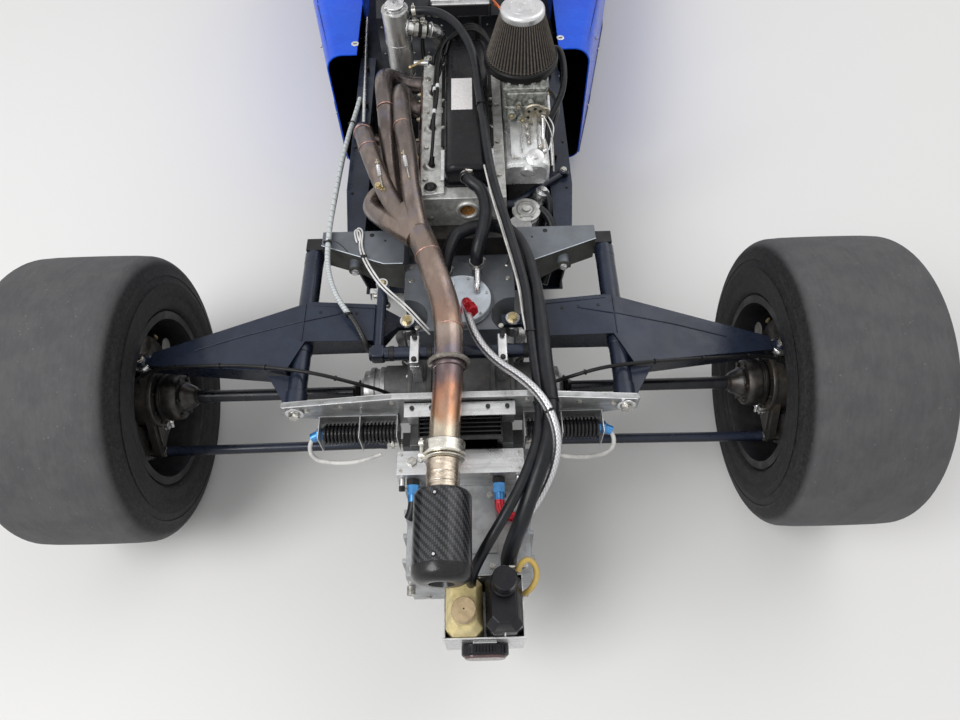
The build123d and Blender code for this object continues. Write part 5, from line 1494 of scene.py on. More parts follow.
@dataclass
class OilTank:
    """Bellhousing oil tank with its lids, spigots, red elbow and screws."""

    lid: Point = (5, 132, 400)

    def build(self) -> None:
        """Make the tank and what stands on it."""
        form = Form("oil-tank").node("oil_tank", TANK_PAINT, 2.0)
        form.finish(replaces=("oil_tank",), slot="grey_paint")
        x, y, z = self.lid
        top = Form("tank-fittings")
        top.lathe([(12.2, 0), (12.2, 53), (14.2, 57), (13.5, 57.6), (0, 57.6)], (x, y, z), UP,
                  BLANK_LID, 64)
        top.lathe([(0, 58), (0, 61), (4, 61), (5, 58)], (x, y, z), UP, TANK_PAINT, 64)
        top.lathe([(14, 0), (14, 22), (20, 22), (21, 20.5), (21, 0)], (x - 36, y + 34, z), UP,
                  BLANK_LID, 44)
        for number in range(6):
            turn = math.tau * (number + 0.25) / 6
            spot = (x + 51 * math.cos(turn), y + 51 * math.sin(turn), z + 13)
            if abs(number - 2) > 0:
                top.caps([spot], UP, 2.6, STEEL, SATIN_BLACK)
        top.rod((36, 150, z + 16), (36, 152, z + 19), 5, MACHINED, sides=20)
        top.pipe([(36, 150, z + 14), (36, 152, z + 22), (36, 170, z + 25), (36, 206, z + 26)], 7, MACHINED,
                 20)
        top.lathe([(0, 0), (0, 11), (20, 11), (21.5, 12.4), (24, 12.4), (26, 10.6), (26, 0)], (36, 206, z),
                  UP, MACHINED, 32)
        self.elbow(top)
        for spot in ((-98, 226, 400), (-98, 190, 400), (98, 226, 400), (98, 190, 400), (-60, 226, 400),
                     (80, 74, 400), (-82, 74, 400)):
            top.bolts([spot], UP, 5, STEEL)
        top.plate([(-104, 238, 345), (-104, 292, 345), (104, 292, 345), (104, 238, 345)], (0, 0, 4),
                  TANK_PAINT)
        for sign in (-1, 1):
            top.pipe([(sign * 108, 68, 395), (sign * 108, 68, 260), (sign * 108, 68, 135)], 2.4, TANK_PAINT,
                     8)
            top.plate([(sign * 109, 150, 396), (sign * 109, 230, 396), (sign * 109, 230, 388),
                       (sign * 109, 150, 388)],
                      (sign * 2, 0, 0), TANK_PAINT, 0.4)
        top.finish(slot="grey_paint")

    def elbow(self, form: Form) -> None:
        """Red anodised elbow on the lid, with its swivel nut and the hose's ferrule."""
        x, y, z = 14, 100, 412
        form.rod((x, y + 6, z - 3), (x, y + 6, z + 5), 13, RED_ANODISED, sides=6, edge=1)
        form.pipe([(x, y + 6, z + 2), (x, y + 6, z + 24), (x + 2, y - 4, z + 34), (x + 8, y - 22, z + 38)],
                  10.5, RED_ANODISED, 20)
        form.rod((x + 5, y - 12, z + 36), (x + 13, y - 30, z + 41), 12.5, RED_ANODISED, sides=6, edge=1)


@dataclass
class HoseFittings:
    """Clamps, ferrules, ties, unions and the thin wires beside the hoses."""

    clamps: tuple[tuple[Point, Point, float], ...] = (
        ((36, 206, 434), UP, 13.5), ((21, 364, 512), (0.2, -1, 0), 13.5),
        ((-30, 206, 410), UP, 14.5), ((78, -375, 322), FORWARD, 14.5),
        ((-92, 814, 588.8), (1, 0, 0.08), 9.6))
    ties: tuple[tuple[HoseRun, int], ...] = (
        (THIN_HOSE, 15), (THIN_HOSE, 18), (THIN_HOSE, 6), (THICK_HOSE, 12), (BRAIDED_HOSE, 8),
        (WRAPPED_CABLE, 5), (WRAPPED_CABLE, 1), (WRAPPED_CABLE, 9))

    def clamp(self, form: Form, centre: Point, axis: Point, radius: float, width: float = 9) -> None:
        """Worm drive clamp: band, housing and screw."""
        form.lathe([(-width / 2, radius), (-width / 2, radius + 1.1), (width / 2, radius + 1.1),
                    (width / 2, radius)],
                   centre, axis, STEEL, 36, True)
        along = Vector(axis).normalized()
        out = along.cross(Vector((0.3, 0.2, 1))).normalized()
        up = out.cross(along).normalized()
        spot = Vector(centre) + up * (radius + 2.5)
        form.rod(tuple(spot - out * 6), tuple(spot + out * 5), 3.2, STEEL, sides=10)
        form.rod(tuple(spot + out * 5), tuple(spot + out * 9), 3.8, STEEL, sides=6)

    def tie(self, form: Form, centre: Point, axis: Point, radius: float) -> None:
        """Cable tie with its head and cut tail."""
        form.lathe([(-1.8, radius), (-1.8, radius + 1), (1.8, radius + 1), (1.8, radius)], centre, axis,
                   TIE_BLACK, 28, True)
        along = Vector(axis).normalized()
        out = along.cross(Vector((0.1, 0.9, 0.2))).normalized()
        spot = Vector(centre) + out * (radius + 1.4)
        low = spot - Vector((2.2, 2.2, 2.0))
        form.box(tuple(low), tuple(spot + Vector((2.2, 2.2, 2.0))), TIE_BLACK, 0.6)

    def wires(self, form: Form) -> None:
        """Thin pale pair beside the thin hose and the white twin wire on the left."""
        pair = [(62, 372, 534), (76, 300, 513), (88, 254, 501), (100, 205, 489), (112, 153, 480),
                (121, 99, 476), (124, 45, 471), (129, 8, 470)]
        for shift in (0, 4.4):
            form.pipe([(x - 6 + shift, y, z) for x, y, z in pair], 1.9, THIN_WIRE, 8)
        twin = [(-205, 268, 434), (-214, 298, 434), (-206, 304, 434), (-198, 292, 434), (-200, 254, 434),
                (-186, 214, 436), (-171, 184, 438), (-155, 156, 440), (-134, 130, 440), (-102, 104, 430),
                (-68, 71, 408), (-56, 66, 392)]
        for shift in (-2.2, 2.2):
            form.pipe([(x + shift, y + shift, z) for x, y, z in twin], 1.9, WHITE_WIRE, 8)
        form.box((-196, 223, 431), (-184, 229, 440), SATIN_BLACK, 1)

    def build(self) -> None:
        """All of them."""
        form = Form("hose-fittings")
        for centre, axis, radius in self.clamps:
            self.clamp(form, centre, axis, radius)
        for hose, number in self.ties:
            spot, run = hose.touch(number)
            self.tie(form, spot, tuple(run), hose.radius + 0.6)
        form.pipe([(-262, 262, 450), (-250, 256, 452), (-236, 250, 448), (-222, 236, 440)], 1.3, TIE_BLACK,
                  6)
        for side, sign in SIDES:
            line = HoseRun("", 3.5, WIRE_BLACK, "", BRAKE_LINES[side])
            for number in (3, 5, 6, 7, 8):
                (x, y, z), run = line.touch(number)
                self.tie(form, (sign * x, y, z), (sign * run.x, run.y, run.z), 4.2)
        self.wires(form)
        form.rod((104, -296, 300), (104, -296, 309), 12, BLUE_ANODISED, sides=6)
        form.rod((104, -296, 309), (104, -296, 325), 10.5, RED_ANODISED, 9.5, 20)
        form.finish(slot="alloy")


@dataclass
class Coolers:
    """Finned coolers behind the beam, their cradles, unions and the brushed oil box."""

    rear: float = -104.0

    def build(self) -> None:
        """All coolers."""
        rear = self.rear
        form = Form("side-coolers")
        stack = [(0, 0), (0, 15)]
        for number in range(19):
            x = 2 + number * 6.8
            stack += [(x, 15), (x + 0.6, 19), (x + 1.8, 20), (x + 3.0, 19), (x + 3.6, 15)]
        stack += [(132, 15), (132, 0)]
        form.lathe(stack, (120, rear - 24, 356), RIGHT, COOLER_BLACK, 40)
        form.box((114, rear - 3, 326), (260, rear, 384), BEAM_SHEET, 0.5)
        for x in (114, 182, 256):
            form.plate([(x, rear, 326), (x, rear - 46, 326), (x, rear - 46, 384), (x, rear, 384)],
                       (1.8, 0, 0), BRUSHED, 0.4)
        form.rod((252, rear - 22, 352), (266, rear - 22, 352), 11.5, BLUE_ANODISED, sides=6)
        form.rod((262, rear - 22, 352), (276, rear - 26, 346), 9, BLUE_ANODISED, sides=20)
        form.pipe([(274, rear - 26, 347), (284, rear - 36, 338), (276, rear - 60, 324),
                   (230, rear - 66, 318), (180, rear - 62, 318), (150, rear - 50, 322)], 4.2, THIN_WIRE, 12)
        for x in (124, 172, 196, 248):
            form.bolts([(x, rear - 0.5, 320)], BACK, 4, STEEL)
        form.mirrored()
        form.finish(replaces=("side_coolers",), slot="cooler")
        self.middle()
        self.box_tank()

    def middle(self) -> None:
        """Middle cooler with its angle bracket."""
        rear = self.rear
        form = Form("centre-cooler")
        form.box((-70, rear - 56, 346), (70, rear - 5, 388), COOLER_BLACK, 4)
        places = [Matrix.Translation((0, rear - 56 + 8.6 * n, 0)) for n in range(6)]
        form.box((-75, 0, 345.3), (75, 3.2, 398), COOLER_BLACK, 1.2, places)
        for x in (-75, 72):
            form.box((x, rear - 58, 345.3), (x + 3, rear - 4, 398), COOLER_BLACK, 0.8)
        form.box((-98, rear - 4, 345.3), (98, rear, 428), BRUSHED, 0.6)
        form.box((-98, rear - 30, 424.5), (98, rear, 428), BRUSHED, 0.6)
        for x in (-84, -50, 50, 84):
            form.caps([(x, rear - 14, 428)], UP, 4, SATIN_BLACK, DARK_STEEL)
        form.rod((-40, rear - 2, 417), (-40, rear - 8, 417), 6, BRASS, sides=6)
        form.rod((62, rear - 2, 417), (62, rear - 8, 417), 6, SATIN_BLACK, sides=6)
        form.finish(replaces=("centre_cooler",), slot="cooler")

    def box_tank(self) -> None:
        """Brushed box behind the middle cooler, with its unions."""
        form = Form("oil-box").node("oil_box", BRUSHED, 1.2)
        details = Form("oil-box-fittings")
        details.box((-117, -206, 353), (-115, -175, 357), BRUSHED, 0.4)
        for x in (-108, 104):
            for y in (-206, -175):
                details.rod((x, y, 360), (x, y, 361.2), 3, STEEL, sides=14)
        details.rod((-88, -190, 360), (-88, -190, 366), 9, STEEL, sides=6)
        for x in (-88, 66):
            details.rod((x, -213, 335), (x, -223, 333), 12.5, SATIN_BLACK, sides=6, edge=1)
            details.rod((x, -222, 333), (x, -240, 329), 11.5, BLUE_ANODISED, sides=6, edge=1)
            details.rod((x, -239, 329), (x, -252, 326), 9.5, BLUE_ANODISED, sides=20)
        for x in (-107, 101):
            details.rod((x, -214, 342), (x, -227, 340), 5, MACHINED, sides=16)
            details.rod((x, -227, 340), (x, -236, 338), 6, SATIN_BLACK, sides=6)
        details.pipe([(66, -250, 326), (66, -266, 322), (76, -276, 317), (94, -282, 315)], 9.5,
                     RED_ANODISED, 20)
        details.pipe([(-88, -250, 326), (-88, -266, 320), (-96, -278, 312)], 9, HOSE_RUBBER, 16)
        details.finish(slot="alloy")
        form.finish(replaces=("oil_box",), slot="alloy")


@dataclass
class Tail:
    """Catch tray, bottles, rain light, and the bolts and ribs of the gearbox."""

    def tray(self) -> None:
        """Folded sheet tray with its rivets."""
        form = Form("catch-tray").node("catch_tray", BRUSHED, 0.4)
        for x in (-22, 34, 90):
            form.rod((x, -482.4, 292), (x, -480, 292), 2.6, MACHINED, sides=12)
        form.box((-36, -482, 298), (104, -479, 303), BRUSHED, 0.6)
        form.finish(replaces=("catch_tray",), slot="alloy")

    def bottle(self, form: Form, low: Point, high: Point, cap: Point, finish: Finish, cap_finish: Finish,
               cap_height: float) -> None:
        """One moulded bottle with its neck and ribbed cap.

        Args:
            form: Where it goes.
            low: Lowest corner.
            high: Highest corner.
            cap: Middle of the cap's foot.
            finish: Finish of the bottle.
            cap_finish: Finish of the cap.
            cap_height: Height of the cap.
        """
        (x0, y0, z0), (x1, y1, z1) = low, high
        rings = []
        for z, inset in ((z0, 4), (z0 + 4, 0), (z1 - 20, 0), (z1, 10)):
            a, b, c, d, cut = x0 + inset, x1 - inset, y0 + inset, y1 - inset, 11
            rings.append([(a + cut, c, z), (b - cut, c, z), (b, c + cut, z), (b, d - cut, z),
                          (b - cut, d, z), (a + cut, d, z), (a, d - cut, z), (a, c + cut, z)])
        form.loft(rings, finish, edge=2.5)
        x, y, foot = cap
        form.rod(cap, (x, y, foot + cap_height * 0.4), 17, finish, sides=32)
        form.ring((x, y, foot + cap_height * 0.2), UP, 19, 2.2, finish)
        base, top = foot + cap_height * 0.35, foot + cap_height
        rings = []
        for z, radius, bite in ((base, 20.6, 0.8), (base + 2, 21.4, 1.3), (base + 8, 21.4, 1.3),
                                (base + 9, 20.2, 0.2), (top - 2, 19.8, 0.0), (top, 18.0, 0.0)):
            rings.append([(x + (radius - bite * (n % 2)) * math.cos(math.tau * n / 60),
                           y + (radius - bite * (n % 2)) * math.sin(math.tau * n / 60),
                           z) for n in range(60)])
        form.loft(rings, cap_finish)
        form.rod((x, y, top - 1), (x, y, top + 0.3), 1.6, SATIN_BLACK, sides=12)

    def bottles(self) -> None:
        """The pale and the dark bottle."""
        form = Form("catch-bottles")
        self.bottle(form, (-30, -478, 217.3), (32, -384, 330), (2, -446, 330), AGED_PLASTIC, AGED_CAP, 29.5)
        self.bottle(form, (37, -478, 217.3), (98, -384, 350), (68, -408, 350), DARK_PLASTIC, DARK_PLASTIC,
                    45.5)
        form.rod((14, -398, 329), (14, -398, 340), 6.5, AGED_PLASTIC, sides=20)
        form.rod((78, -386, 322), (78, -378, 322), 10, DARK_PLASTIC, sides=20)
        form.box((67, -478.4, 250), (69.4, -474, 328), AGED_WHITE, 0.4)
        form.pipe([(92, -384, 340), (96, -372, 344), (112, -362, 342), (124, -376, 336), (124, -392, 328),
                   (114, -408, 316), (102, -412, 306)], 5, YELLOW_TUBE, 14)
        form.finish(replaces=("catch_bottles",), slot="bottle")

    def light(self) -> None:
        """Rain light: case, lens and its two nuts."""
        form = Form("rain-light")

        def outline(inset: float, y: float) -> list[Point]:
            """Oval of the light at one depth."""
            reach = 22 - inset
            turns = [math.pi / 2 + math.pi * n / 12 for n in range(13)]
            left = [(16 + reach * math.cos(t), y, 254 + reach * math.sin(t)) for t in turns]
            return left + [(68 - x, y, 508 - z) for x, _, z in left]

        form.loft([outline(1, -482.3), outline(0, -484), outline(0, -498), outline(3, -501)], DARK_PLASTIC,
                  edge=0.8)
        form.loft([outline(5, -500.6), outline(5, -503), outline(7, -505)], LENS_RED)
        for n in range(14):
            x = -3 + n * 5.4
            drop = max(0.0, abs(x - 34) - 18)
            rise = 276 - 22 + math.sqrt(max(0.0, 22 ** 2 - drop ** 2)) if drop < 22 else 254
            form.box((x, -499, rise - 6), (x + 2.4, -486, min(rise + 1.2, 276)), DARK_PLASTIC, 0.6)
        form.box((14, -484, 276), (54, -482.2, 280), BRUSHED, 0.4)
        form.finish(replaces=("rain_light",), slot="light")

    def gearbox(self) -> None:
        """The gearbox and its cover plates, bolts, output flanges and shift rod."""
        case = Form("gearbox").node("gearbox", GEARBOX_CAST, 2.0)
        case.paint(TAIL_CAST, lambda mid, normal: mid.y < -146).finish(replaces=("gearbox",), slot="cast")
        form = Form("gearbox-fittings")
        form.plate([(-82, -140, 345), (-82, -34, 345), (82, -34, 345), (82, -140, 345)], (0, 0, 3.5),
                   GEARBOX_CAST, 1)
        form.box((-3, -90, 345), (3, -20, 351), GEARBOX_CAST, 1.5)
        for x in (-62, 62):
            form.box((x - 5, -92, 345), (x + 5, 20, 352), GEARBOX_CAST, 2)
        for x in (-74, -26, 26, 74):
            form.bolts([(x, -46, 348.5), (x, 52, 345)], UP, 5, STEEL)
        spots = [(x, y, 300) for x in (-88, -50, 50, 106) for y in (-362, -232)]
        form.bolts(spots, UP, 6, STEEL)
        for x, y in ((-75, -345), (75, -345), (-75, -235), (75, -235)):
            form.lathe([(0, 4.2), (0, 11), (3, 11), (3.6, 10), (3.6, 4.2)], (x, y, 300), UP,
                       DULL_ALLOY, 28, True)
        form.plate([(-60, -340, 300), (-60, -240, 300), (60, -240, 300), (60, -340, 300)], (0, 0, 3),
                   TAIL_CAST, 1)
        form.box((-2, -336, 303), (2, -244, 309), TAIL_CAST, 1.2)
        form.rod((-96, -376.3, 236), (-96, -392, 236), 8, STEEL, sides=20)
        for x in (-70, -30, 30, 74):
            form.bolts([(x, -376, 286), (x, -376, 160)], BACK, 6, STEEL)
        form.lathe([(0, 0), (0, 44), (4, 46), (6, 46), (8, 42), (9, 0)], (9, -376, 216), BACK,
                   GEARBOX_CAST, 48)
        for sign in (-1, 1):
            form.lathe([(0, 0), (0, 62), (5, 64), (9, 62), (9, 54), (0, 54)],
                       (sign * 95, 0, REAR_AXLE.radius), (sign, 0, 0), GEARBOX_CAST, 48)
            for n in range(8):
                turn = math.tau * n / 8
                spot = (sign * 104, 58 * math.cos(turn), REAR_AXLE.radius + 58 * math.sin(turn))
                form.bolts([spot], (sign, 0, 0), 4.5, STEEL)
        form.finish(slot="cast")

    def beam(self) -> None:
        """Nuts and spherical washers on the rear beam."""
        form = Form("beam-fittings")
        for sign in (-1, 1):
            form.lathe([(0, 0), (0, 17), (4, 17), (5, 15), (5, 0)], (sign * 299, -104, 400), BACK,
                       MACHINED, 36)
            form.bolts([(sign * 299, -109, 400)], BACK, 11, STEEL, 8)
            form.bolts([(sign * 276, -104, 404), (sign * 214, -104, 412), (sign * 120, -104, 425)],
                       BACK, 5, STEEL)
            form.bolts([(sign * 276, -94, 404), (sign * 110, -94, 425)], FORWARD, 5, STEEL)
            form.plate([(sign * 318, -105, 417.2), (sign * 318, -93, 417.2), (sign * 120, -93, 439.4),
                        (sign * 120, -105, 439.4)], (0, 0, 0.6), BRUSHED, 0.2)
        form.plate([(-120, -105, 439.5), (-120, -93, 439.5), (120, -93, 439.5), (120, -105, 439.5)],
                   (0, 0, 0.5), BRUSHED, 0.2)
        form.bolts([(-40, -94, 430), (36, -94, 430)], FORWARD, 4, BRASS)
        form.finish(slot="alloy")

    def crossmember(self) -> None:
        """The crossmember's wings with painted shade on their rear faces, their pads, holes drawn as black
        discs of painted shade, and weld seams.
        """
        body = Form("rear-crossmember").node("rear_crossmember", GREY_PAINT, 1.5)
        # Painted shade: faces that look rearwards get the darker grey.
        body.paint(PAINTED_SHADE_GREY, lambda mid, normal: normal.y < -0.35 and normal.z < 0.6)
        body.paint(SATIN_BLACK, lambda mid, normal: abs(mid.x) > 280.5)
        body.finish(replaces=("rear_crossmember",), slot="grey_paint")
        form = Form("crossmember-fittings")
        # The pad on the rear face carries the same painted shade.
        form.lathe([(0, 0), (0, 13), (2, 13), (3, 11), (3, 0)], (212, 218.5, 403), BACK, PAINTED_SHADE_GREY,
                   32)
        form.bolts([(212, 215, 403)], BACK, 7, MACHINED, 6)
        # Two flat black discs stand for holes: painted shade.
        form.rod((178, 288, 430), (178, 288, 430.4), 5, SATIN_BLACK, sides=20)
        form.rod((150, 272, 430), (150, 272, 430.4), 2.4, SATIN_BLACK, sides=14)
        for start, end in (((112, 211.6, 430), (150, 211.6, 430)), ((150, 211.6, 430), (280, 263.6, 430))):
            form.rod(start, end, 1.0, BLANK_LID, sides=8, edge=0)
        form.bolts([(299, 292, 400)], FORWARD, 10, STEEL)
        form.mirrored()
        form.finish(slot="grey_paint")

    def build(self) -> None:
        """Build every piece of it."""
        self.tray()
        self.bottles()
        self.light()
        self.gearbox()
        self.beam()
        self.crossmember()


@dataclass
class Engine:
    """Head, cam cover, intake, carburettor and air filter, and what is bolted to them."""

    cover_left: float = -25.0
    cover_right: float = 71.0
    cover_rear: float = 372.0
    cover_front: float = 800.0
    head_top: float = 480.0
    plugs: tuple[float, ...] = (430, 545, 660, 770)

    def head(self) -> None:
        """Cylinder head with its side bosses, plug wells and rear face."""
        form = Form("cylinder-head").node("cylinder_head", HEAD_CAST, 3)
        form.ring((20, 335.5, 445), BACK, 20, 4.5, HEAD_CAST, 40, 12)
        form.lathe([(-4, 0), (-4, 15.5), (-2, 17), (0.5, 17)], (20, 336.5, 445), BACK, RUST, 36)
        top = self.head_top
        form.plate([(-77, 338, top), (-77, 372, top), (-26, 378, top), (-26, 344, top)], (0, 0, 9),
                   HEAD_CAST, 2)
        form.rod((-54, 356, top + 8), (-54, 356, top + 14), 14, HEAD_CAST, sides=28, edge=1.5)
        form.ball((-54, 356, top + 15), 10.5, PLUG_RUBBER, 0.55)
        form.ring((-54, 356, top + 14), UP, 11, 2.2, PLUG_RUBBER, 32, 8)
        for x in (-58, 66, 90):
            form.bolts([(x, 336, 424)], BACK, 6, STEEL)
        for y in self.plugs:
            form.rod((-60, y, top - 8), (-54, y, top + 4), 15, HEAD_CAST, 13, 24, 1.5)
            form.rod((-56, y, top - 2), (-52.8, y, top + 7), 9, PLUG_RUBBER, 7.5, 20)
        for y in (392, 488, 602, 716, 796):
            form.bolts([(-66, y, top)], UP, 6, STEEL)
            form.box((-80, y - 9, 408), (-70, y + 9, 474), HEAD_CAST, 3)
        for y in (400, 500, 620, 740):
            form.bolts([(88, y, top)], UP, 6, STEEL)
        form.finish(replaces=("cylinder_head",), slot="head")

    def cam_cover(self) -> None:
        """Rounded black cover, its load strips, studs and blank label."""
        left, right, rear, front = self.cover_left, self.cover_right, self.cover_rear, self.cover_front
        low, high = self.head_top + 4, self.head_top + 50
        form = Form("cam-cover")
        rings = []
        for y, drop, inset in ((rear, 12, 9), (rear + 3, 4, 3), (rear + 12, 0, 0), (front - 12, 0, 0),
                               (front - 3, 4, 3), (front, 12, 9)):
            ring = [(left + inset, y, low), (left + inset, y, high - 22 - drop)]
            for step in range(1, 9):
                turn = math.pi / 2 * step / 8
                ring.append((left + inset + 22 * (1 - math.cos(turn)), y,
                             high - 22 - drop + 22 * math.sin(turn)))
            ring += [(left + right - p[0], p[1], p[2]) for p in reversed(ring)]
            rings.append(ring)
        form.loft(rings, CRACKLE)
        flange = [(left - 6, rear + 4), (left + 6, rear - 6), (right - 6, rear - 6), (right + 6, rear + 4),
                  (right + 6, front - 6), (right - 6, front), (left + 6, front), (left - 6, front - 6)]
        form.plate([(x, y, self.head_top) for x, y in flange], (0, 0, 5.5), CRACKLE, 1.2)
        for x in (left + 1.5, right - 1.5):
            form.rod((x, rear + 30, high - 19), (x, front - 30, high - 19), 1.2, CRACKLE, sides=8)
        form.plate([(left + 15, 546, high + 0.1), (right - 36, 546, high + 0.1),
                    (right - 36, 650, high + 0.1), (left + 15, 650, high + 0.1)], (0, 0, -0.6), BLANK_LABEL,
                   0)
        for x0, x1 in ((left - 9, left - 1), (right + 1, right + 8)):
            form.box((x0, rear + 6, self.head_top + 5), (x1, rear + 96, self.head_top + 11), MACHINED, 0.6)
            form.box((x0, rear + 110, self.head_top + 5), (x1, front - 210, self.head_top + 8), SATIN_BLACK,
                     0.6)
            form.box((x0, front - 190, self.head_top + 5), (x1, front - 20, self.head_top + 8), SATIN_BLACK,
                     0.6)
            middle = (x0 + x1) / 2
            places = (rear + 16, rear + 86, 540, 630, front - 40)
            form.bolts([(middle, y, self.head_top + 8) for y in places], UP, 4.5, STEEL)
        form.rod((left + 45, 371.7, 512), (left + 45, 378, 512), 15, CRACKLE, sides=28)
        form.lathe([(0, 11), (2, 14), (6, 14), (8, 15), (12, 15), (14, 12)], (20, 371.4, 512), BACK,
                   SATIN_BLACK, 32)
        form.finish(replaces=("cam_cover",), slot="cover_black")

    def leads(self) -> None:
        """Plug leads with pale ferrules, run along the cam cover to the front."""
        form = Form("plug-leads")
        for number, y in enumerate(self.plugs):
            x = -48 + 7 * number
            lift = 508 + 8 * (number % 2)
            route = [(-53, y, 486), (-53, y + 6, 500), (x - 2, y + 40, lift),
                     (x, max(y + 90, 560), lift + 2)]
            route += [(x, 700 + 8 * number, lift + 4), (x + 10, 772 + 7 * number, lift + 18),
                      (28, 806 + 7 * number, 550), (66, 790 + 7 * number, 544), (84, 768, 520)]
            form.pipe(route, 3.6, PLUG_RUBBER, 12)
            form.rod((-53.5, y - 1, 486), (-51, y + 8, 501), 6.2, PLUG_RUBBER, 5, 16)
            first = max(y + 90, 560)
            for along in (0, 74):
                spot = first + along
                if spot < 700:
                    form.rod((x, spot, lift + 2), (x, spot + 11, lift + 2.4), 4.7, AGED_WHITE, sides=14)
        form.finish(slot="rubber")

    def carburettor(self) -> None:
        """Twin choke carburettor with its castings, linkage and quadrant."""
        form = Form("carburettor")
        trunk = []
        for y, inset in ((440, 8), (446, 2), (456, 0), (718, 0), (730, 3), (735, 9)):
            ring = [(100, y, 405 + inset), (199 - inset - 8, y, 405 + inset), (199 - inset, y, 413 + inset)]
            for step in range(7):
                turn = math.pi / 2 * step / 6
                ring.append((179 - inset + 20 * math.cos(turn), y, 450 - inset + 20 * math.sin(turn)))
            ring += [(118, y, 470 - inset), (106, y, 466 - inset), (100, y, 458 - inset)]
            trunk.append(ring)
        form.loft(trunk, TRUNK_ALLOY, edge=1.0)
        throat = []
        for y, z in ((462, 471), (476, 476), (500, 481), (566, 485)):
            throat.append([(108, y, 462), (190, y, 462), (188, y, z - 8), (180, y, z - 2), (166, y, z),
                           (132, y, z), (116, y, z - 2), (109, y, z - 8)])
        form.loft(throat, TRUNK_ALLOY, edge=1.5)
        form.box((136, 470, 474), (141, 560, 487), TRUNK_ALLOY, 2)
        form.box((158, 490, 474), (162, 560, 486), TRUNK_ALLOY, 1.6)
        form.rod((112, 470, 446), (104, 444, 440), 14, TRUNK_ALLOY, 12, 28, 3)
        form.rod((150, 452, 452), (148, 434, 448), 17, TRUNK_ALLOY, 14, 32, 3)
        form.box((102, 566, 466), (197, 728, 516), CARB_ALLOY, 5)
        form.box((108, 570, 512), (194, 724, 548), CARB_ALLOY, 4)
        lid = ((-48, -78), (44, -78), (49, -70), (49, 70), (44, 78), (-48, 78))
        form.plate([(x + 149, y + 650, 546) for x, y in lid], (0, 0, 12), CARB_ALLOY, 2)
        for x, y, z, r, h in ((120, 566, 500, 11, 9), (145, 566, 486, 15, 7), (172, 566, 506, 10, 12),
                              (186, 566, 478, 8, 15), (112, 566, 470, 9, 10), (160, 566, 528, 7, 9),
                              (134, 566, 522, 8, 6)):
            form.rod((x, y + 2, z), (x, y - h, z), r, CARB_ALLOY, r * 0.9, 20, 1.2)
            form.caps([(x, y - h, z)], BACK, r * 0.45, BRASS, CARB_ALLOY)
        for x, y, r in ((114, 586, 5), (140, 582, 7), (166, 584, 6), (186, 590, 5), (112, 620, 6),
                        (188, 630, 7)):
            form.rod((x, y, 556), (x, y, 563), r, CARB_ALLOY, r * 0.8, 18, 0.8)
        for y in (590, 640, 700):
            form.rod((196, y, 500), (199, y, 500), 10, CARB_ALLOY, sides=24)
            form.bolts([(198, y, 530)], RIGHT, 4, BRASS)
        self.linkage(form)
        form.finish(replaces=("carburettor",), slot="carb")

    def linkage(self, form: Form) -> None:
        """Throttle quadrant, its lever and the rods under it."""
        form.rod((168, 568, 510), (168, 548, 510), 7, STEEL, sides=20)
        form.lathe([(0, 4), (0, 24), (1.2, 25), (2.6, 23.5), (4, 25), (5.2, 24), (5.2, 4)], (168, 552, 510),
                   BACK, QUADRANT, 48, True)
        for turn in (0.6, 1.5, 2.5, 3.6):
            form.rod((168 + 15 * math.cos(turn), 546.2, 510 + 15 * math.sin(turn)),
                     (168 + 15 * math.cos(turn), 546.9, 510 + 15 * math.sin(turn)), 3.6, SATIN_BLACK,
                     sides=18)
        form.rod((168, 547, 510), (168, 541, 510), 6, QUADRANT, sides=6)
        form.lathe([(0, 3), (0, 13), (3, 14), (6, 13), (6, 3)], (188, 554, 512), BACK, QUADRANT, 36,
                   True)
        form.rod((188, 548, 512), (188, 543, 512), 4.5, STEEL, sides=6)
        form.plate([(163, 547, 506), (173, 547, 506), (177, 547, 472), (169, 547, 468)], (0, -2.4, 0),
                   STEEL, 0.4)
        form.rod((172, 544, 474), (176, 506, 480), 3, MACHINED, sides=12)
        form.rod((172, 546, 474), (172, 537, 474), 5, STEEL, sides=6)
        form.rod((186, 544, 506), (186, 500, 478), 3.4, MACHINED, sides=12)
        form.rod((186, 502, 479), (187, 478, 474), 5.5, STEEL, sides=16)
        form.rod((176, 508, 480), (178, 486, 478), 5, MACHINED, sides=16)
        form.ball((187, 474, 474), 6.5, MACHINED)
        form.ball((186, 545, 507), 5.5, STEEL)
        form.ball((178, 482, 478), 6, STEEL)
        form.coil((150, 548, 500), (154, 486, 482), 3.4, 0.9, 16, STEEL, 6)
        form.pipe([(186, 540, 512), (200, 512, 506), (206, 480, 480), (207, 448, 440)], 1.6, STEEL, 8)
        form.pipe([(196, 556, 500), (210, 530, 500), (206, 500, 490), (196, 476, 474)], 1.4, AGED_WHITE, 8)
        form.lathe([(0, 0), (0, 22), (5, 23), (9, 19), (12, 19), (14, 14), (15, 0)], (166, 462, 462),
                   (0, -0.45, 1), TRUNK_ALLOY, 40)
        form.rod((166, 456, 475), (166, 453, 482), 7, MACHINED, sides=20)
        form.bolts([(184, 456, 464), (120, 462, 470)], (0, -0.3, 1), 5, STEEL)

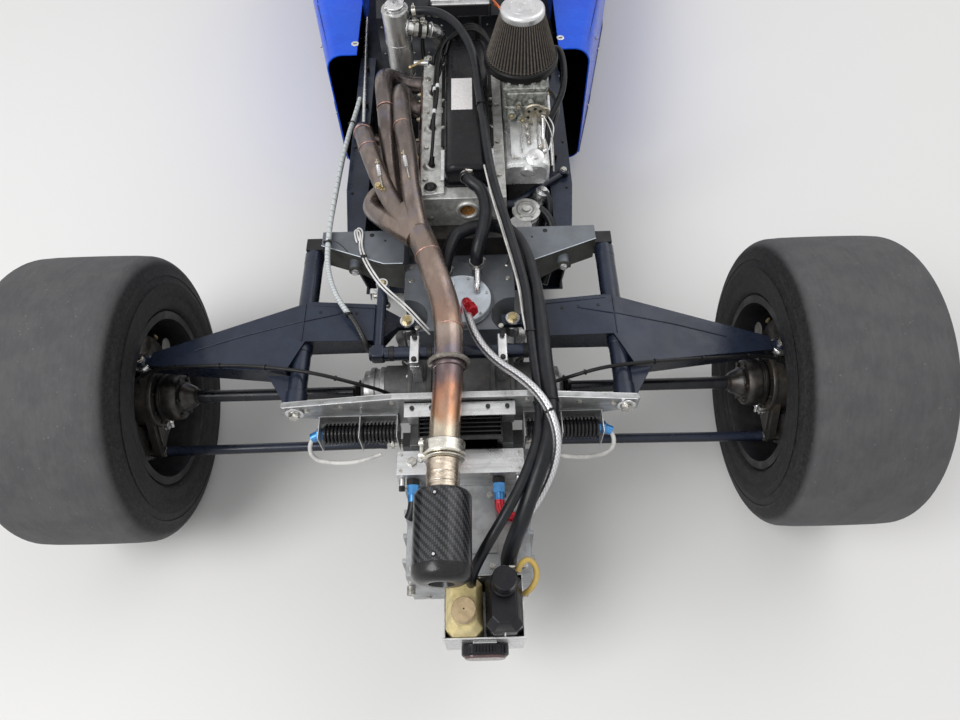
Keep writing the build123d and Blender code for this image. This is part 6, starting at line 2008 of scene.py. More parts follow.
    def canister(self) -> None:
        """Round alloy bodies and pipes low beside the engine's right rear corner."""
        form = Form("side-canister")
        form.lathe([(0, 0), (0, 29), (44, 29), (47, 25), (52, 25), (54, 31), (60, 31), (62, 27), (63, 10),
                    (68, 9), (70, 0)], (146, 392, 330), (0, -0.1, 1), HEAD_CAST, 48)
        form.lathe([(63, 14), (65, 16), (65, 20), (63, 22)], (146, 392, 330), (0, -0.1, 1), DULL_ALLOY, 40,
                   True)
        form.lathe([(0, 0), (0, 22), (30, 22), (32, 26), (38, 26), (40, 0)], (130, 352, 346), (0, -0.2, 1),
                   DULL_ALLOY, 40)
        for n in range(6):
            turn = math.tau * n / 6
            form.bolts([(146 + 24 * math.cos(turn), 386 + 24 * math.sin(turn), 391)], (0, -0.1, 1), 3,
                       STEEL)
        for low, high, edge in (((104, 330, 300), (176, 420, 332), 8), ((105, 440, 250), (190, 640, 330), 10),
                                ((105, 660, 230), (180, 790, 360), 14)):
            form.box(low, high, IRON, edge)
        form.rod((158, 640, 300), (158, 760, 300), 44, IRON, sides=40, edge=5)
        form.pipe([(176, 392, 386), (196, 376, 380), (204, 340, 360), (198, 300, 330), (180, 250, 300)], 9,
                  HOSE_RUBBER)
        form.pipe([(208, 700, 560), (226, 702, 566), (236, 676, 556), (238, 640, 540), (232, 604, 520),
                   (214, 576, 500), (200, 556, 484), (198, 520, 452)], 7, HOSE_RUBBER)
        form.pipe([(206, 560, 452), (222, 590, 462), (228, 640, 462), (222, 700, 452), (196, 736, 440)], 6,
                  HOSE_RUBBER)
        form.lathe([(0, 0), (0, 15), (3, 17), (26, 17), (29, 15), (29, 9), (36, 8), (36, 0)],
                   (176, 428, 372), (0.3, 0.1, 1), MACHINED, 36)
        form.pipe([(188, 430, 398), (198, 420, 392), (200, 396, 372), (190, 372, 350)], 7, HOSE_RUBBER)
        form.finish(slot="engine")

    def filter(self) -> None:
        """Pleated cone filter with its rubber foot and alloy cap."""
        x, y, z = 143, 660, 560
        form = Form("air-filter")
        form.lathe([(0, 0), (0, 78), (2, 80), (14, 80), (18, 78), (20, 74), (20, 0)], (x, y, z), UP,
                   FILTER_RUBBER, 72)
        pleats = 58
        rings = []
        for height, radius, deep in ((18, 75.5, 4.4), (22, 74.5, 4.6), (114, 46.5, 3.0), (118, 45, 2.4)):
            ring = []
            for number in range(pleats * 4):
                phase = math.tau * number / 4
                r = radius - deep * (0.5 - 0.5 * math.cos(phase))
                turn = math.tau * number / (pleats * 4)
                ring.append((x + r * math.cos(turn), y + r * math.sin(turn), z + height))
            rings.append(ring)
        form.loft(rings, FILTER_GAUZE)
        slope = (75.5 - 45) / 100
        form.paint(FILTER_DARK, lambda mid, normal: z + 24 < mid.z < z + 112
                   and math.hypot(mid.x - x, mid.y - y) < 72.3 - slope * (mid.z - z - 22))
        form.lathe([(112, 45), (112, 46), (120, 46), (124, 45.4), (127, 42), (128, 38), (127.2, 36),
                    (127.2, 0)],
                   (x, y, z), UP, CAP_ALLOY, 72)
        for radius, tube in ((27, 0.9), (13, 0.8)):
            form.ring((x, y, z + 127.2), UP, radius, tube, CAP_ALLOY, 56, 8)
        for n in range(4):
            turn = math.tau * (n + 0.5) / 4
            form.rod((x + 20 * math.cos(turn), y + 20 * math.sin(turn), z + 127.0),
                     (x + 20 * math.cos(turn), y + 20 * math.sin(turn), z + 127.9), 1.6, CAP_ALLOY,
                     sides=12)
        form.ring((x, y, z + 19), UP, 77.5, 1.0, SATIN_BLACK, 64, 8)
        form.finish(replaces=("air_filter",), slot="filter", sharp=65)

    def brace(self) -> None:
        """Bolts on the frame's brace, and the bright rods that run along both rails."""
        form = Form("frame-fittings")
        form.bolts([(238, 512, 384)], UP, 7, STEEL)
        form.bolts([(121, 404, 386)], RIGHT, 6, STEEL)
        form.rod((212, 520, 386), (231, 1112, 386), 4.5, MACHINED, sides=16)
        form.rod((-224, 600, 386), (-248, 1112, 386), 4.5, MACHINED, sides=16)
        for y in (640, 760, 900):
            x = -224 - (y - 600) * 0.047
            form.box((x - 8, y, 369), (x + 8, y + 12, 383), SATIN_BLACK, 1.5)
        form.pipe([(208, 540, 380), (202, 640, 384), (206, 800, 384), (208, 956, 384)], 3.2, WIRE_BLACK, 10)
        for y in (560, 700, 860):
            form.box((208 + (y - 520) * 0.03, y, 369), (226 + (y - 520) * 0.03, y + 12, 383), SATIN_BLACK,
                     1.5)
        for y in (330, 470, 620, 780, 920):
            x = min(246.0, 224 + (y - 262) * 0.09)
            form.bolts([(x, y, 370), (-x, y, 370)], UP, 3.5, DARK_STEEL, 3)
        form.finish(slot="frame_black")

    def build(self) -> None:
        """All engine pieces."""
        self.head()
        self.cam_cover()
        self.leads()
        self.carburettor()
        self.canister()
        self.filter()
        self.brace()


@dataclass
class SwirlPot:
    """Welded coolant pot with its T arm, joiner, clamps and elbow."""

    def build(self) -> None:
        """Build the piece and its parts."""
        form = Form("swirl-pot")
        form.lathe([(0, 0), (0, 28), (3, 30), (216, 30), (217, 31), (220.2, 30), (220.2, 24), (218, 23),
                    (218, 0)],
                   (-132, 815, 380), (-0.009, -0.032, 1), POT_ALLOY, 56)
        form.lathe([(218, 21), (222, 22), (230, 22), (232, 20), (232, 8), (233, 7), (233, 0)],
                   (-132, 815, 379), (-0.009, -0.032, 1), MACHINED, 48)
        for turn in (0.6, 3.74):
            form.box((-134 + 21 * math.cos(turn) - 4, 808 + 21 * math.sin(turn) - 4, 598),
                     (-134 + 21 * math.cos(turn) + 4, 808 + 21 * math.sin(turn) + 4, 611), MACHINED, 2)
        form.pipe([(-134, 806, 560), (-120, 803, 559), (-104, 801, 557.5), (-92, 800, 555.5)], 16,
                  POT_ALLOY, 28)
        form.ring((-107, 801.4, 558), (1, -0.15, -0.07), 18, 2.4, POT_ALLOY, 36, 8)
        form.pipe([(-96, 800, 556), (-80, 801, 553), (-66, 804, 548)], 18, HOSE_RUBBER, 28)
        for centre in ((-91, 800.4, 555), (-73, 802.4, 550.5)):
            form.lathe([(-5, 18), (-5, 19.4), (5, 19.4), (5, 18)], centre, (1, 0.1, -0.2), STEEL, 40, True)
            x, y, z = centre
            form.box((x - 6, y - 8, z + 17), (x + 6, y + 6, z + 25), STEEL, 1.5)
            form.rod((x, y - 14, z + 21), (x, y + 10, z + 21), 3, STEEL, sides=12)
        form.pipe([(-74, 802.5, 551), (-54, 808, 543), (-42, 826, 524), (-36, 838, 490), (-36, 840, 450),
                   (-36, 840, 400.3)], 16.0, POT_ALLOY, 28)
        form.ring((-58, 806.4, 545.6), (1, 0.25, -0.4), 16.4, 1.6, POT_ALLOY, 36, 8)
        form.box((-106, 800, 384), (-95.2, 830, 394), DULL_ALLOY, 1)
        form.rod((-112, 814, 588.5), (-98, 814, 588.5), 9, DULL_ALLOY, 8, 20)
        for z in (430, 520):
            form.ring((-133, 811, z), (-0.009, -0.032, 1), 30.2, 1.0, POT_ALLOY, 48, 8)
        form.rod((-100, 770, 486), (-66, 768, 486), 6, MACHINED, sides=20)
        form.pipe([(-66, 768, 486), (-40, 766, 484), (-10, 800, 470)], 6.5, HOSE_RUBBER, 14)
        form.pipe([(-106, 736, 500), (-90, 742, 503), (-78, 752, 506)], 2.6, BRASS, 10)
        form.ball((-106, 735, 500), 4.5, BRASS)
        form.finish(replaces=("swirl_pot",), slot="alloy")
        box = Form("control-box")
        box.box((-52, 830, 560), (80, 934, 592), BRUSHED, 2)
        for y in (838, 858, 878, 898, 918):
            box.box((-54, y, 590), (82, y + 9, 597), MACHINED, 2.2)
        for x0, x1 in ((-56, -51), (79, 84)):
            box.box((x0, 828, 560), (x1, 936, 592), SATIN_BLACK, 1)
        box.box((-50, 828, 563), (78, 831, 589), SATIN_BLACK, 0.8)
        for x in (0, 52):
            box.rod((x, 882, 400.3), (x, 882, 560), 9, SATIN_BLACK, sides=24)
        box.box((-48, 934, 562), (-10, 950, 586), SATIN_BLACK, 2)
        box.box((20, 934, 562), (74, 948, 584), SATIN_BLACK, 2)
        for route in (
                [(-70, 950, 580), (-84, 900, 590), (-60, 856, 604), (-20, 868, 606), (30, 880, 612),
                 (60, 940, 600)],
                [(84, 850, 590), (104, 830, 584), (112, 800, 560), (108, 760, 520), (96, 740, 490)],
                [(84, 880, 596), (110, 870, 600), (126, 900, 604), (116, 940, 600)],
                [(90, 860, 570), (120, 846, 560), (132, 870, 556), (124, 930, 560)]):
            box.pipe(route, 2.4, ORANGE_WIRE, 10)
        for route in (
                [(-40, 950, 560), (-70, 900, 540), (-84, 860, 500), (-80, 820, 440), (-70, 780, 410)],
                [(60, 950, 600), (20, 900, 616), (-30, 880, 606), (-90, 900, 590), (-150, 940, 560)],
                [(120, 940, 560), (150, 880, 520), (180, 820, 480), (190, 760, 440), (186, 700, 400)]):
            box.pipe(route, 5.5, WIRE_BLACK, 12)
        box.finish(replaces=("control_box",), slot="alloy")


@dataclass
class Exhaust:
    """Primary pipes, collector, tail pipe and muffler."""

    routes: tuple[tuple[Point, ...], ...] = (
        ((-77, 748, 441), (-118, 748, 441), (-164, 742, 475), (-168, 690, 500), (-157, 610, 496),
         (-150, 527, 478), (-142, 440, 455), (-126, 350, 448), (-104, 268, 470), (-78, 226, 486)),
        ((-77, 652, 441), (-100, 652, 441), (-124, 672, 478), (-124, 640, 506), (-116, 534, 506),
         (-100, 436, 508), (-92, 330, 500), (-74, 240, 494)),
        ((-77, 525, 441), (-128, 525, 441), (-196, 560, 432), (-209, 570, 466), (-200, 520, 492),
         (-182, 455, 490), (-150, 365, 484), (-112, 285, 482), (-84, 236, 486)),
        ((-77, 415, 441), (-120, 415, 441), (-172, 408, 428), (-186, 376, 424), (-176, 345, 438),
         (-148, 298, 464), (-108, 250, 480), (-84, 226, 486)),
    )
    welds: tuple[tuple[Point, Point, float], ...] = (
        ((-203.5, 531, 486), (0.14, -1, 0.4), 20), ((-188, 477, 491), (0.28, -1, -0.03), 20),
        ((-156, 600, 494.5), (0.1, -1, -0.12), 20), ((-115.4, 526, 506), (0.16, -1, 0.02), 20),
        ((-16, 12, 486.4), (0, -1, -0.1), 26), ((-55, 176, 491.5), (0.3, -1, 0.05), 26))

    def build(self) -> None:
        """Pipes, welds, rings and the muffler."""
        form = Form("exhaust-pipes")
        for route in self.routes:
            form.pipe(list(route), 20, EXHAUST, 32, 3, 10)
        form.pipe([(-99, 306, 481), (-62, 205, 490), (-40, 123, 496), (-16, 40, 490), (-16, -80, 478),
                   (-25, -195, 465.5), (-26, -275, 460)], 26, EXHAUST, 36, 3, 10)
        for low, high in ((388, 442), (490, 570), (610, 770)):
            form.box((-85, low, 420), (-77, high, 462), EXHAUST, 3)
        form.box((-79.5, 386, 417), (-76.8, 772, 465), WELD_PINK, 0.5)
        for y in (396, 436, 500, 556, 626, 686, 712, 764):
            form.rod((-85, y, 441), (-94, y, 441), 4, STEEL, sides=12)
            form.bolts([(-86, y, 441)], LEFT, 6.5, BRASS)
        for centre, axis, radius in self.welds:
            form.ring(centre, axis, radius, 1.0, WELD_PINK, 44, 8)
        self.joints(form)
        form.finish(replaces=("exhaust_pipes",), slot="exhaust")
        self.muffler()

    def joints(self, form: Form) -> None:
        """Slip ring, spring hooks and the clamp before the muffler."""
        tilt = Matrix.Translation((-16, -58, 480.5)) @ Matrix.Rotation(math.radians(6), 4, "X")
        ring = [tilt @ Vector((34 * math.cos(a), 0, 34 * math.sin(a)))
                for a in (math.radians(190 + 344 * n / 28) for n in range(29))]
        form.pipe([tuple(p) for p in ring], 4.4, SLIP_RING, 14, 3, 3)
        form.lathe([(-13, 25.6), (-12, 28), (-9, 28.6), (9, 28.6), (12, 28), (13, 25.6)], (-16, -58, 480.5),
                   (0, -1, -0.1), EXHAUST, 48)
        band = (-25, -216, 464.3)
        form.lathe([(-13, 26), (-13, 31), (-11, 35.4), (-8, 36.4), (-5, 35.2), (5, 35.2), (8, 36.4),
                    (11, 35.4), (13, 31), (13, 26)], band, (0, -1, -0.08), CLAMP_STEEL, 64)
        form.lathe([(15, 26), (15, 33), (17, 34.5), (19, 33), (20, 26)], band, (0, -1, -0.08), CLAMP_STEEL,
                   64)
        form.rod((-66, -204, 466), (-48, -204, 468), 5.5, CLAMP_STEEL, sides=16)
        form.rod((-66, -226, 466), (-50, -226, 468), 5.5, CLAMP_STEEL, sides=16)
        form.rod((-62, -196, 468), (-62, -238, 465), 3.2, STEEL, sides=14)
        form.bolts([(-62, -228, 465.5)], (0, -1, -0.07), 5.5, MACHINED, 8)
        form.lathe([(0, 26.2), (0, 28), (7, 28), (8, 27), (19, 27), (20, 27.8), (22, 27.8), (23, 27),
                    (36, 27), (37, 26.2)], (-26, -237.5, 462.6), (0, -1, -0.06), SPIGOT_STEEL, 56)
        for start, end in (((-164, 418, 513), (-149, 344, 510)), ((-108, 424, 530), (-94, 352, 526))):
            first, last = Vector(start), Vector(end)
            lean = last - first
            form.coil(tuple(first + lean * 0.2), tuple(first + lean * 0.62), 4.0, 1.2, 11, MACHINED, 6)
            form.rod(start, tuple(first + lean * 0.22), 1.7, STEEL, sides=8)
            form.rod(tuple(first + lean * 0.6), end, 1.7, STEEL, sides=8)
            for spot, drop in ((first, 8), (last, 8)):
                form.rod((spot.x, spot.y, spot.z - drop), (spot.x, spot.y, spot.z + 1), 1.9, BRASS,
                         sides=10)
                form.box((spot.x - 5, spot.y - 2, spot.z - drop - 3),
                         (spot.x + 5, spot.y + 2, spot.z - drop + 3), BRASS, 0.8)
        form.bolts([(-158, 352, 504)], (-0.2, 0, 1), 7, BRASS, 6)

    def muffler(self) -> None:
        """Carbon muffler with its spigot, two screws along its top and a rounded end cap."""
        start, end = Vector((-26, -275.3, 460)), Vector((-28, -440, 449))
        run = (end - start).normalized()
        length = (end - start).length
        form = Form("muffler")
        form.lathe([(0, 0), (0, 27), (10, 27), (11, 28.5), (13, 28.5), (14, 27)], tuple(start), tuple(run),
                   SPIGOT_STEEL, 56)
        form.lathe([(12, 26), (12, 38), (15, 43.5), (20, 46), (24, 46.6), (length - 34, 46.6)],
                   tuple(start), tuple(run), CARBON, 72)
        form.lathe([(length - 35, 46.4), (length - 34.6, 47.2), (length - 22, 46.8), (length - 14, 42),
                    (length - 9.5, 34), (length - 8.5, 26), (length - 9, 20), (length - 16, 18),
                    (length - 16, 0)],
                   tuple(start), tuple(run), CARBON_CAP, 72)
        up = run.cross(Vector(UP).cross(run)).normalized() * -1
        up = up if up.z > 0 else -up
        side = run.cross(up).normalized()
        beam = (up * math.cos(0.2) + side * math.sin(0.2) * math.copysign(1, -side.x)).normalized()
        for along in (27, length - 44):
            spot = start + run * along + beam * 46.2
            form.rod(tuple(spot), tuple(spot + beam * 1.6), 4.6, CARBON_CAP, 4.0, 20, 0)
            form.rod(tuple(spot + beam), tuple(spot + beam * 2.4), 2.6, MACHINED, 2.2, 14, 0)
        form.finish(replaces=("muffler",), slot="carbon")


@dataclass
class Sidepods:
    """Hollow sidepods with black ducts, lips, skirts and quick fasteners, and the radiators in them."""

    sections: tuple[tuple[float, float], ...] = ((905, 338), (1147, 394), (1500, 470), (2000, 540))
    top: float = 420.0
    bottom: float = 60.0
    inner: float = 255.0

    def outer(self, y: float) -> float:
        """Half width of the pod's outside at one length."""
        for (y0, x0), (y1, x1) in zip(self.sections, self.sections[1:]):
            if y <= y1:
                return x0 + (x1 - x0) * (y - y0) / (y1 - y0)
        return self.sections[-1][1]

    def pod(self, side: str, sign: int) -> None:
        """One sidepod."""
        form = Form(f"sidepod-{side}").node(f"sidepod_{side}", GEL_BLUE, 1.2)

        def inside(mid: Vector, normal: Vector) -> bool:
            """Whether a face looks into the duct."""
            middle = Vector((sign * (self.inner + self.outer(mid.y)) / 2, mid.y,
                             (self.top + self.bottom) / 2))
            return abs(normal.y) < 0.7 and normal.dot(mid - middle) < 0 and 908 < mid.y < 1997

        # Faces that look into the duct are made near black all through the duct.
        form.paint(DUCT_BLACK, inside)
        form.finish(replaces=(f"sidepod_{side}",), slot="body_blue")

    def details(self) -> None:
        """Skirts, fasteners, seams and the brackets of both pods."""
        form = Form("sidepod-details")
        for (y0, x0), (y1, x1) in zip(self.sections, self.sections[1:]):
            form.plate([(x0 + 0.2, y0 + 6, 92), (x1 + 0.2, y1, 92), (x1 + 0.2, y1, 74),
                        (x0 + 0.2, y0 + 6, 74)],
                       (2.4, 0, 0), SATIN_BLACK, 0.4)
            form.rod((x0 - 13, y0 + 8, self.top - 13.3), (x1 - 13, y1 - 2, self.top - 13.3), 0.7,
                     SEAM_BLACK, sides=6, edge=0)
        spots = [(258 + 4, 948, self.top), (262, 1180, self.top), (262, 1500, self.top),
                 (262, 1860, self.top)]
        spots += [(self.outer(y) - 60, y, self.top) for y in (1400, 1900)]
        for spot in spots:
            form.lathe([(0, 0), (0, 9), (0.8, 10), (1.6, 9), (2.0, 6.5), (1.2, 5.5), (1.2, 0)], spot,
                       UP, MACHINED, 28)
            x, y, z = spot
            # A black bar in the dished head stands for the slot: painted shade.
            form.box((x - 4.5, y - 0.8, z + 1.2), (x + 4.5, y + 0.8, z + 1.9), SATIN_BLACK, 0.2)
        for y in (1060, 1330, 1700):
            x = self.outer(y)
            form.caps([(x + 0.2, y, 120), (x + 0.2, y, 340)], RIGHT, 4, STEEL, SATIN_BLACK)
        form.box((256, 912, 330), (264, 930, 336), BRUSHED, 0.6)
        form.mirrored()
        form.finish(slot="body_blue")

    def radiators(self) -> None:
        """Finned cores with end tanks, caps and hoses."""
        form = Form("radiators")
        rear, front = 1496.3, 1539.7
        low, high = self.bottom + 6, self.top - 6
        left, right = self.inner + 2, self.outer(rear) - 6
        form.box((left + 26, rear + 8, low + 4), (right - 22, front - 8, high - 4), RADIATOR_CORE, 0.5)
        count = 44
        pitch = (high - low - 12) / count
        places = [Matrix.Translation((0, 0, low + 6 + pitch * n)) for n in range(count + 1)]
        form.box((left + 24, rear + 3, -0.9), (right - 20, front - 3, 0.9), RADIATOR_CORE, 0, places)
        count = 60
        width = right - left - 46
        places = [Matrix.Translation((left + 25 + width * n / count, 0, 0)) for n in range(count + 1)]
        form.box((-0.3, rear + 5, low + 4), (0.3, front - 5, high - 4), RADIATOR_CORE, 0, places)
        form.box((left, rear + 1, low), (left + 26, front - 1, high), RADIATOR_TANK, 5)
        form.box((right - 22, rear + 1, low + 4), (right - 1, front - 1, high - 30), RADIATOR_TANK, 5)
        for z in (low, high - 4):
            form.box((left + 20, rear, z), (right - 30, front, z + 4), RADIATOR_TANK, 1)
        form.rod((left + 13, rear + 2, 150), (left + 13, rear - 0.0, 150), 14, RADIATOR_TANK, sides=28)
        form.mirrored()
        form.finish(replaces=("radiators",), slot="radiator")

    def build(self) -> None:
        """Build the pieces of both sides."""
        for side, sign in SIDES:
            self.pod(side, sign)
        self.details()
        self.radiators()


@dataclass
class Cockpit:
    """Tub, upper bodywork, seat with its harness, screen, mirrors and roll hoop."""

    rows: tuple[tuple[float, float, float, float], ...] = (
        (1120, 255, 470, 560), (1900, 255, 440, 540), (2300, 222, 400, 470), (2560, 180, 380, 430))

    def skin(self, x: float, y: float) -> float:
        """Height of the bodywork's outside over one point of the plan."""
        for first, second in zip(self.rows, self.rows[1:]):
            if y <= second[0] or second is self.rows[-1]:
                share = (y - first[0]) / (second[0] - first[0])
                half, shoulder, top = (a + (b - a) * share for a, b in zip(first[1:], second[1:]))
                break
        reach = abs(x)
        if reach <= half * 0.72:
            return top
        part = (reach - half * 0.72) / (half * 0.28)
        bend = math.sqrt(max(0.0, 1 - min(1.0, part) ** 2.1))
        return shoulder + (top - shoulder) * bend

    def opening(self) -> list[Point]:
        """Line round the right half of the opening, from its rear to its middle at the front."""
        plan = [(190.6, 1122), (195, 1200), (200, 1300), (200, 1450), (200, 1600), (183, 1663), (166, 1724),
                (150, 1785), (120, 1800), (80, 1816), (40, 1826), (0, 1830)]
        return [(x, y, self.skin(x, y)) for x, y in plan]

    def surround(self) -> None:
        """Upper bodywork with edge trim, seam and fasteners."""
        form = Form("cockpit-surround").node("cockpit_surround", GEL_BLUE, 1.5)
        form.finish(replaces=("cockpit_surround",), slot="body_blue")
        form = Form("cockpit-trim")
        edge = self.opening()
        for first, second in zip(edge, edge[1:]):
            form.rod((first[0], first[1], first[2] - 0.5), (second[0], second[1], second[2] - 0.5), 4.2,
                     EDGE_RUBBER, sides=10, edge=0)
        for point in edge[1:]:
            form.ball((point[0], point[1], point[2] - 0.5), 4.2, EDGE_RUBBER)
        spots = [(248, 1180, 366), (248, 1500, 366), (248, 1850, 366)]
        for x, y, z in spots:
            form.lathe([(0, 0), (0, 8), (1.4, 8.6), (2, 7), (2, 0)], (x + 7, y, z + 22), RIGHT,
                       MACHINED, 24)
        for y in (1950, 2150, 2350, 2520):
            z = self.skin(0, y)
            form.lathe([(0, 0), (0, 7), (1, 7.6), (1.6, 6), (1.6, 0)], (90, y, z), UP, MACHINED, 24)
        form.pipe([(0, 2560, 430.2), (115, 2560, 430.2), (130, 2560, 430)], 0.8, SEAM_BLACK, 6)
        form.mirrored()
        form.finish(slot="body_blue")

    def tub(self) -> None:
        """Riveted sheet tub with its dash and pedals' cross bar."""
        form = Form("tub").node("tub", TUB_SHEET, 1.5)
        form.finish(replaces=("tub",), slot="tub")
        form = Form("tub-details")
        rivets = [((255, y, z), (256.4, y, z)) for y in range(980, 2040, 42) for z in (72, 346)]
        rivets += [((186, y, 360), (186, y, 361.2)) for y in range(1200, 2020, 42)]
        for x in range(0, 200, 38):
            rivets += [((x, 1050, 520), (x, 1050, 521.2)), ((x, 960, 380), (x, 958.8, 380)),
                       ((x, 960, 455), (x, 958.8, 455))]
        for foot, head in rivets:
            form.rod(foot, head, 3, DULL_ALLOY, 2.2, 12, 0)
        form.mirrored()
        form.finish(slot="tub")
        dash = Form("dash")
        dash.box((-120, 1808, 452), (120, 1812, 528), SATIN_BLACK, 2)
        for x, radius in ((0, 34), (-76, 22), (76, 22)):
            dash.lathe([(0, 0), (0, radius), (4, radius), (5, radius - 3), (2, radius - 4), (2, 0)],
                       (x, 1808, 490), BACK, SATIN_BLACK, 40)
            dash.rod((x, 1806.4, 490), (x, 1805.6, 490), radius - 5, DUCT_BLACK, sides=36, edge=0)
            dash.plate([(x - 1.2, 1805.2, 488), (x + 1.2, 1805.2, 488),
                        (x + radius * 0.45, 1805.2, 488 + radius * 0.5)],
                       (0, -0.5, 0), ORANGE_WIRE, 0)
        for x in (-112, -46, 46, 112):
            dash.rod((x, 1808, 514), (x, 1798, 514), 4, MACHINED, sides=14)
        for x in (-60, 0, 60):
            dash.box((x - 22, 2430, 110), (x + 22, 2436, 200), DULL_ALLOY, 3)
            dash.rod((x, 2440, 64), (x, 2436, 150), 7, GLOSS_BLACK, sides=16)
        dash.rod((-110, 2444, 70), (110, 2444, 70), 8, GLOSS_BLACK, sides=20)
        dash.finish(slot="tub")

    def seat(self) -> None:
        """Moulded seat, head pad and harness."""
        form = Form("seat").node("seat", SEAT_BLACK, 5.0)
        form.finish(replaces=("seat",), slot="seat")
        form = Form("harness")
        form.box((-80, 1180, 430), (80, 1206, 505), PAD_FOAM, 9)
        for sign in (-1, 1):
            x = sign * 62
            form.strap([(x, 1128, 521.5), (x, 1178, 521.5), (x, 1196, 424), (x * 0.95, 1200, 352),
                        (x * 0.8, 1226, 290), (x * 0.62, 1272, 150), (x * 0.45, 1330, 116)], RIGHT, 50,
                       2.6, BELT_WEB)
            form.strap([(sign * 170, 1290, 150), (sign * 142, 1300, 170), (sign * 100, 1312, 124),
                        (sign * 30, 1340, 116)],
                       (0, 1, 0.2), 48, 2.6, BELT_WEB)
            form.box((x * 0.82 - 28, 1222, 282), (x * 0.82 + 28, 1234, 304), MACHINED, 2)
            form.box((sign * 100 - 26, 1286, 126), (sign * 100 + 26, 1338, 132), MACHINED, 2)
            form.rod((x, 1120, 523), (x, 1130, 523), 8, STEEL, sides=16)
        form.strap([(0, 1520, 96), (0, 1440, 102), (0, 1370, 112)], RIGHT, 44, 2.6, BELT_WEB)
        form.lathe([(0, 0), (0, 32), (6, 34), (14, 32), (17, 22), (17, 0)], (0, 1344, 112), (0, -0.2, 1),
                   RED_ANODISED, 40)
        form.finish(slot="seat")

    def screen(self) -> None:
        """Bowed screen with its foot trim and screws."""
        form = Form("windscreen").node("windscreen", SCREEN_CLEAR, 0.4)
        form.finish(replaces=("windscreen",), slot="screen")
        form = Form("screen-trim")
        count = 20
        line = []
        for number in range(count + 1):
            x = -150 + 300 * number / count
            line.append((x, 1830 - 45 * (x / 150) ** 2, 0))
        for first, second in zip(line, line[1:]):
            form.rod((first[0], first[1] - 2, 541), (second[0], second[1] - 2, 541), 3.2, EDGE_RUBBER,
                     sides=8, edge=0)
            form.rod((first[0], first[1] - 2, 599), (second[0], second[1] - 2, 599), 2.4, EDGE_RUBBER,
                     sides=8, edge=0)
        for number in (2, 7, 13, 18):
            x, y, _ = line[number]
            form.rod((x, y - 6, 549), (x, y + 1.5, 549), 4, STEEL, sides=14)
        form.finish(slot="rubber")

    def mirrors(self) -> None:
        """Blue mirror pods with their glass and stalks."""
        form = Form("mirrors").node("mirrors", GEL_BLUE, 0.0)
        form.paint(GLOSS_BLACK, lambda mid, normal: abs(mid.x) < 300.5 and mid.z < 572 and mid.y < 1806
                   and abs(mid.y - 1800) < 8)
        form.finish(replaces=("mirrors",), slot="body_blue")
        form = Form("mirror-details")
        outline = []
        for cx, cz, first in ((370, 620, 0), (290, 620, 90), (290, 580, 180), (370, 580, 270)):
            for step in range(5):
                turn = math.radians(first + 22.5 * step)
                outline.append((cx + 15 * math.cos(turn), 1779.6, cz + 15 * math.sin(turn)))
        form.plate(outline, (0, -0.8, 0), MIRROR_GLASS, 0)
        form.lathe([(0, 0), (0, 13), (3, 12), (4, 7)], (224, 1800, 462), (0.56, 0, 0.83), SATIN_BLACK, 24)
        form.mirrored()
        form.finish(slot="body_blue")

    def hoop(self) -> None:
        """Roll hoop with foot plates, gussets and a blank plate."""
        form = Form("roll-hoop").node("roll_hoop", GLOSS_BLACK, 0.0)
        form.finish(replaces=("roll_hoop",), slot="frame_black", sharp=40)
        form = Form("hoop-details")
        form.box((150, 1068, 520.2), (210, 1132, 524), GLOSS_BLACK, 1)
        form.bolts([(158, 1076, 524), (202, 1076, 524), (158, 1124, 524), (202, 1124, 524)], UP, 5,
                   STEEL)
        form.plate([(178, 1100, 700), (178, 1082, 690), (178, 1097, 640)], (2, 0, 0), GLOSS_BLACK, 0.3)
        form.plate([(120, 1098, 884), (150, 1098, 850), (168, 1098, 838), (150, 1098, 866)], (0, 4, 0),
                   GLOSS_BLACK, 0.3)
        form.ring((180, 1100, 528), UP, 17.6, 1.8, GLOSS_BLACK, 36, 8)
        form.mirrored()
        form.finish(slot="frame_black")

    def build(self) -> None:
        """Build every piece of it."""
        self.tub()
        self.surround()
        self.seat()
        self.screen()
        self.mirrors()
        self.hoop()


@dataclass
class Nose:
    """Nose cone with its wings, end plates and fasteners."""

    tip: float = 3205.0
    span: float = 612.0

    def build(self) -> None:
        """Build the piece and its parts."""
        form = Form("nose-cone").node("nose_cone", GEL_BLUE, 1.5)
        form.finish(replaces=("nose_cone",), slot="body_blue")
        form = Form("nose-details")
        tip, span = self.tip, self.span
        for y, z in ((tip - 205, 168.2), (tip - 305, 182.2)):
            form.rod((145, y, z), (span - 2, y, z), 0.9, SEAM_BLACK, sides=6, edge=0)
        form.caps([(span + 6, tip - 280, 176), (span + 6, tip - 120, 140)], RIGHT, 4.5, STEEL,
                  SATIN_BLACK)
        form.box((span - 2, tip - 332, 90.2), (span + 5.8, tip - 38, 95), SATIN_BLACK, 0.6)
        for y, z in ((2590, 424.4), (2700, 362)):
            form.lathe([(0, 0), (0, 7), (1, 7.6), (1.6, 6), (1.6, 0)], (80, y, z - 1), (0, 0.5, 1),
                       MACHINED, 24)
        form.mirrored()
        form.finish(slot="body_blue")


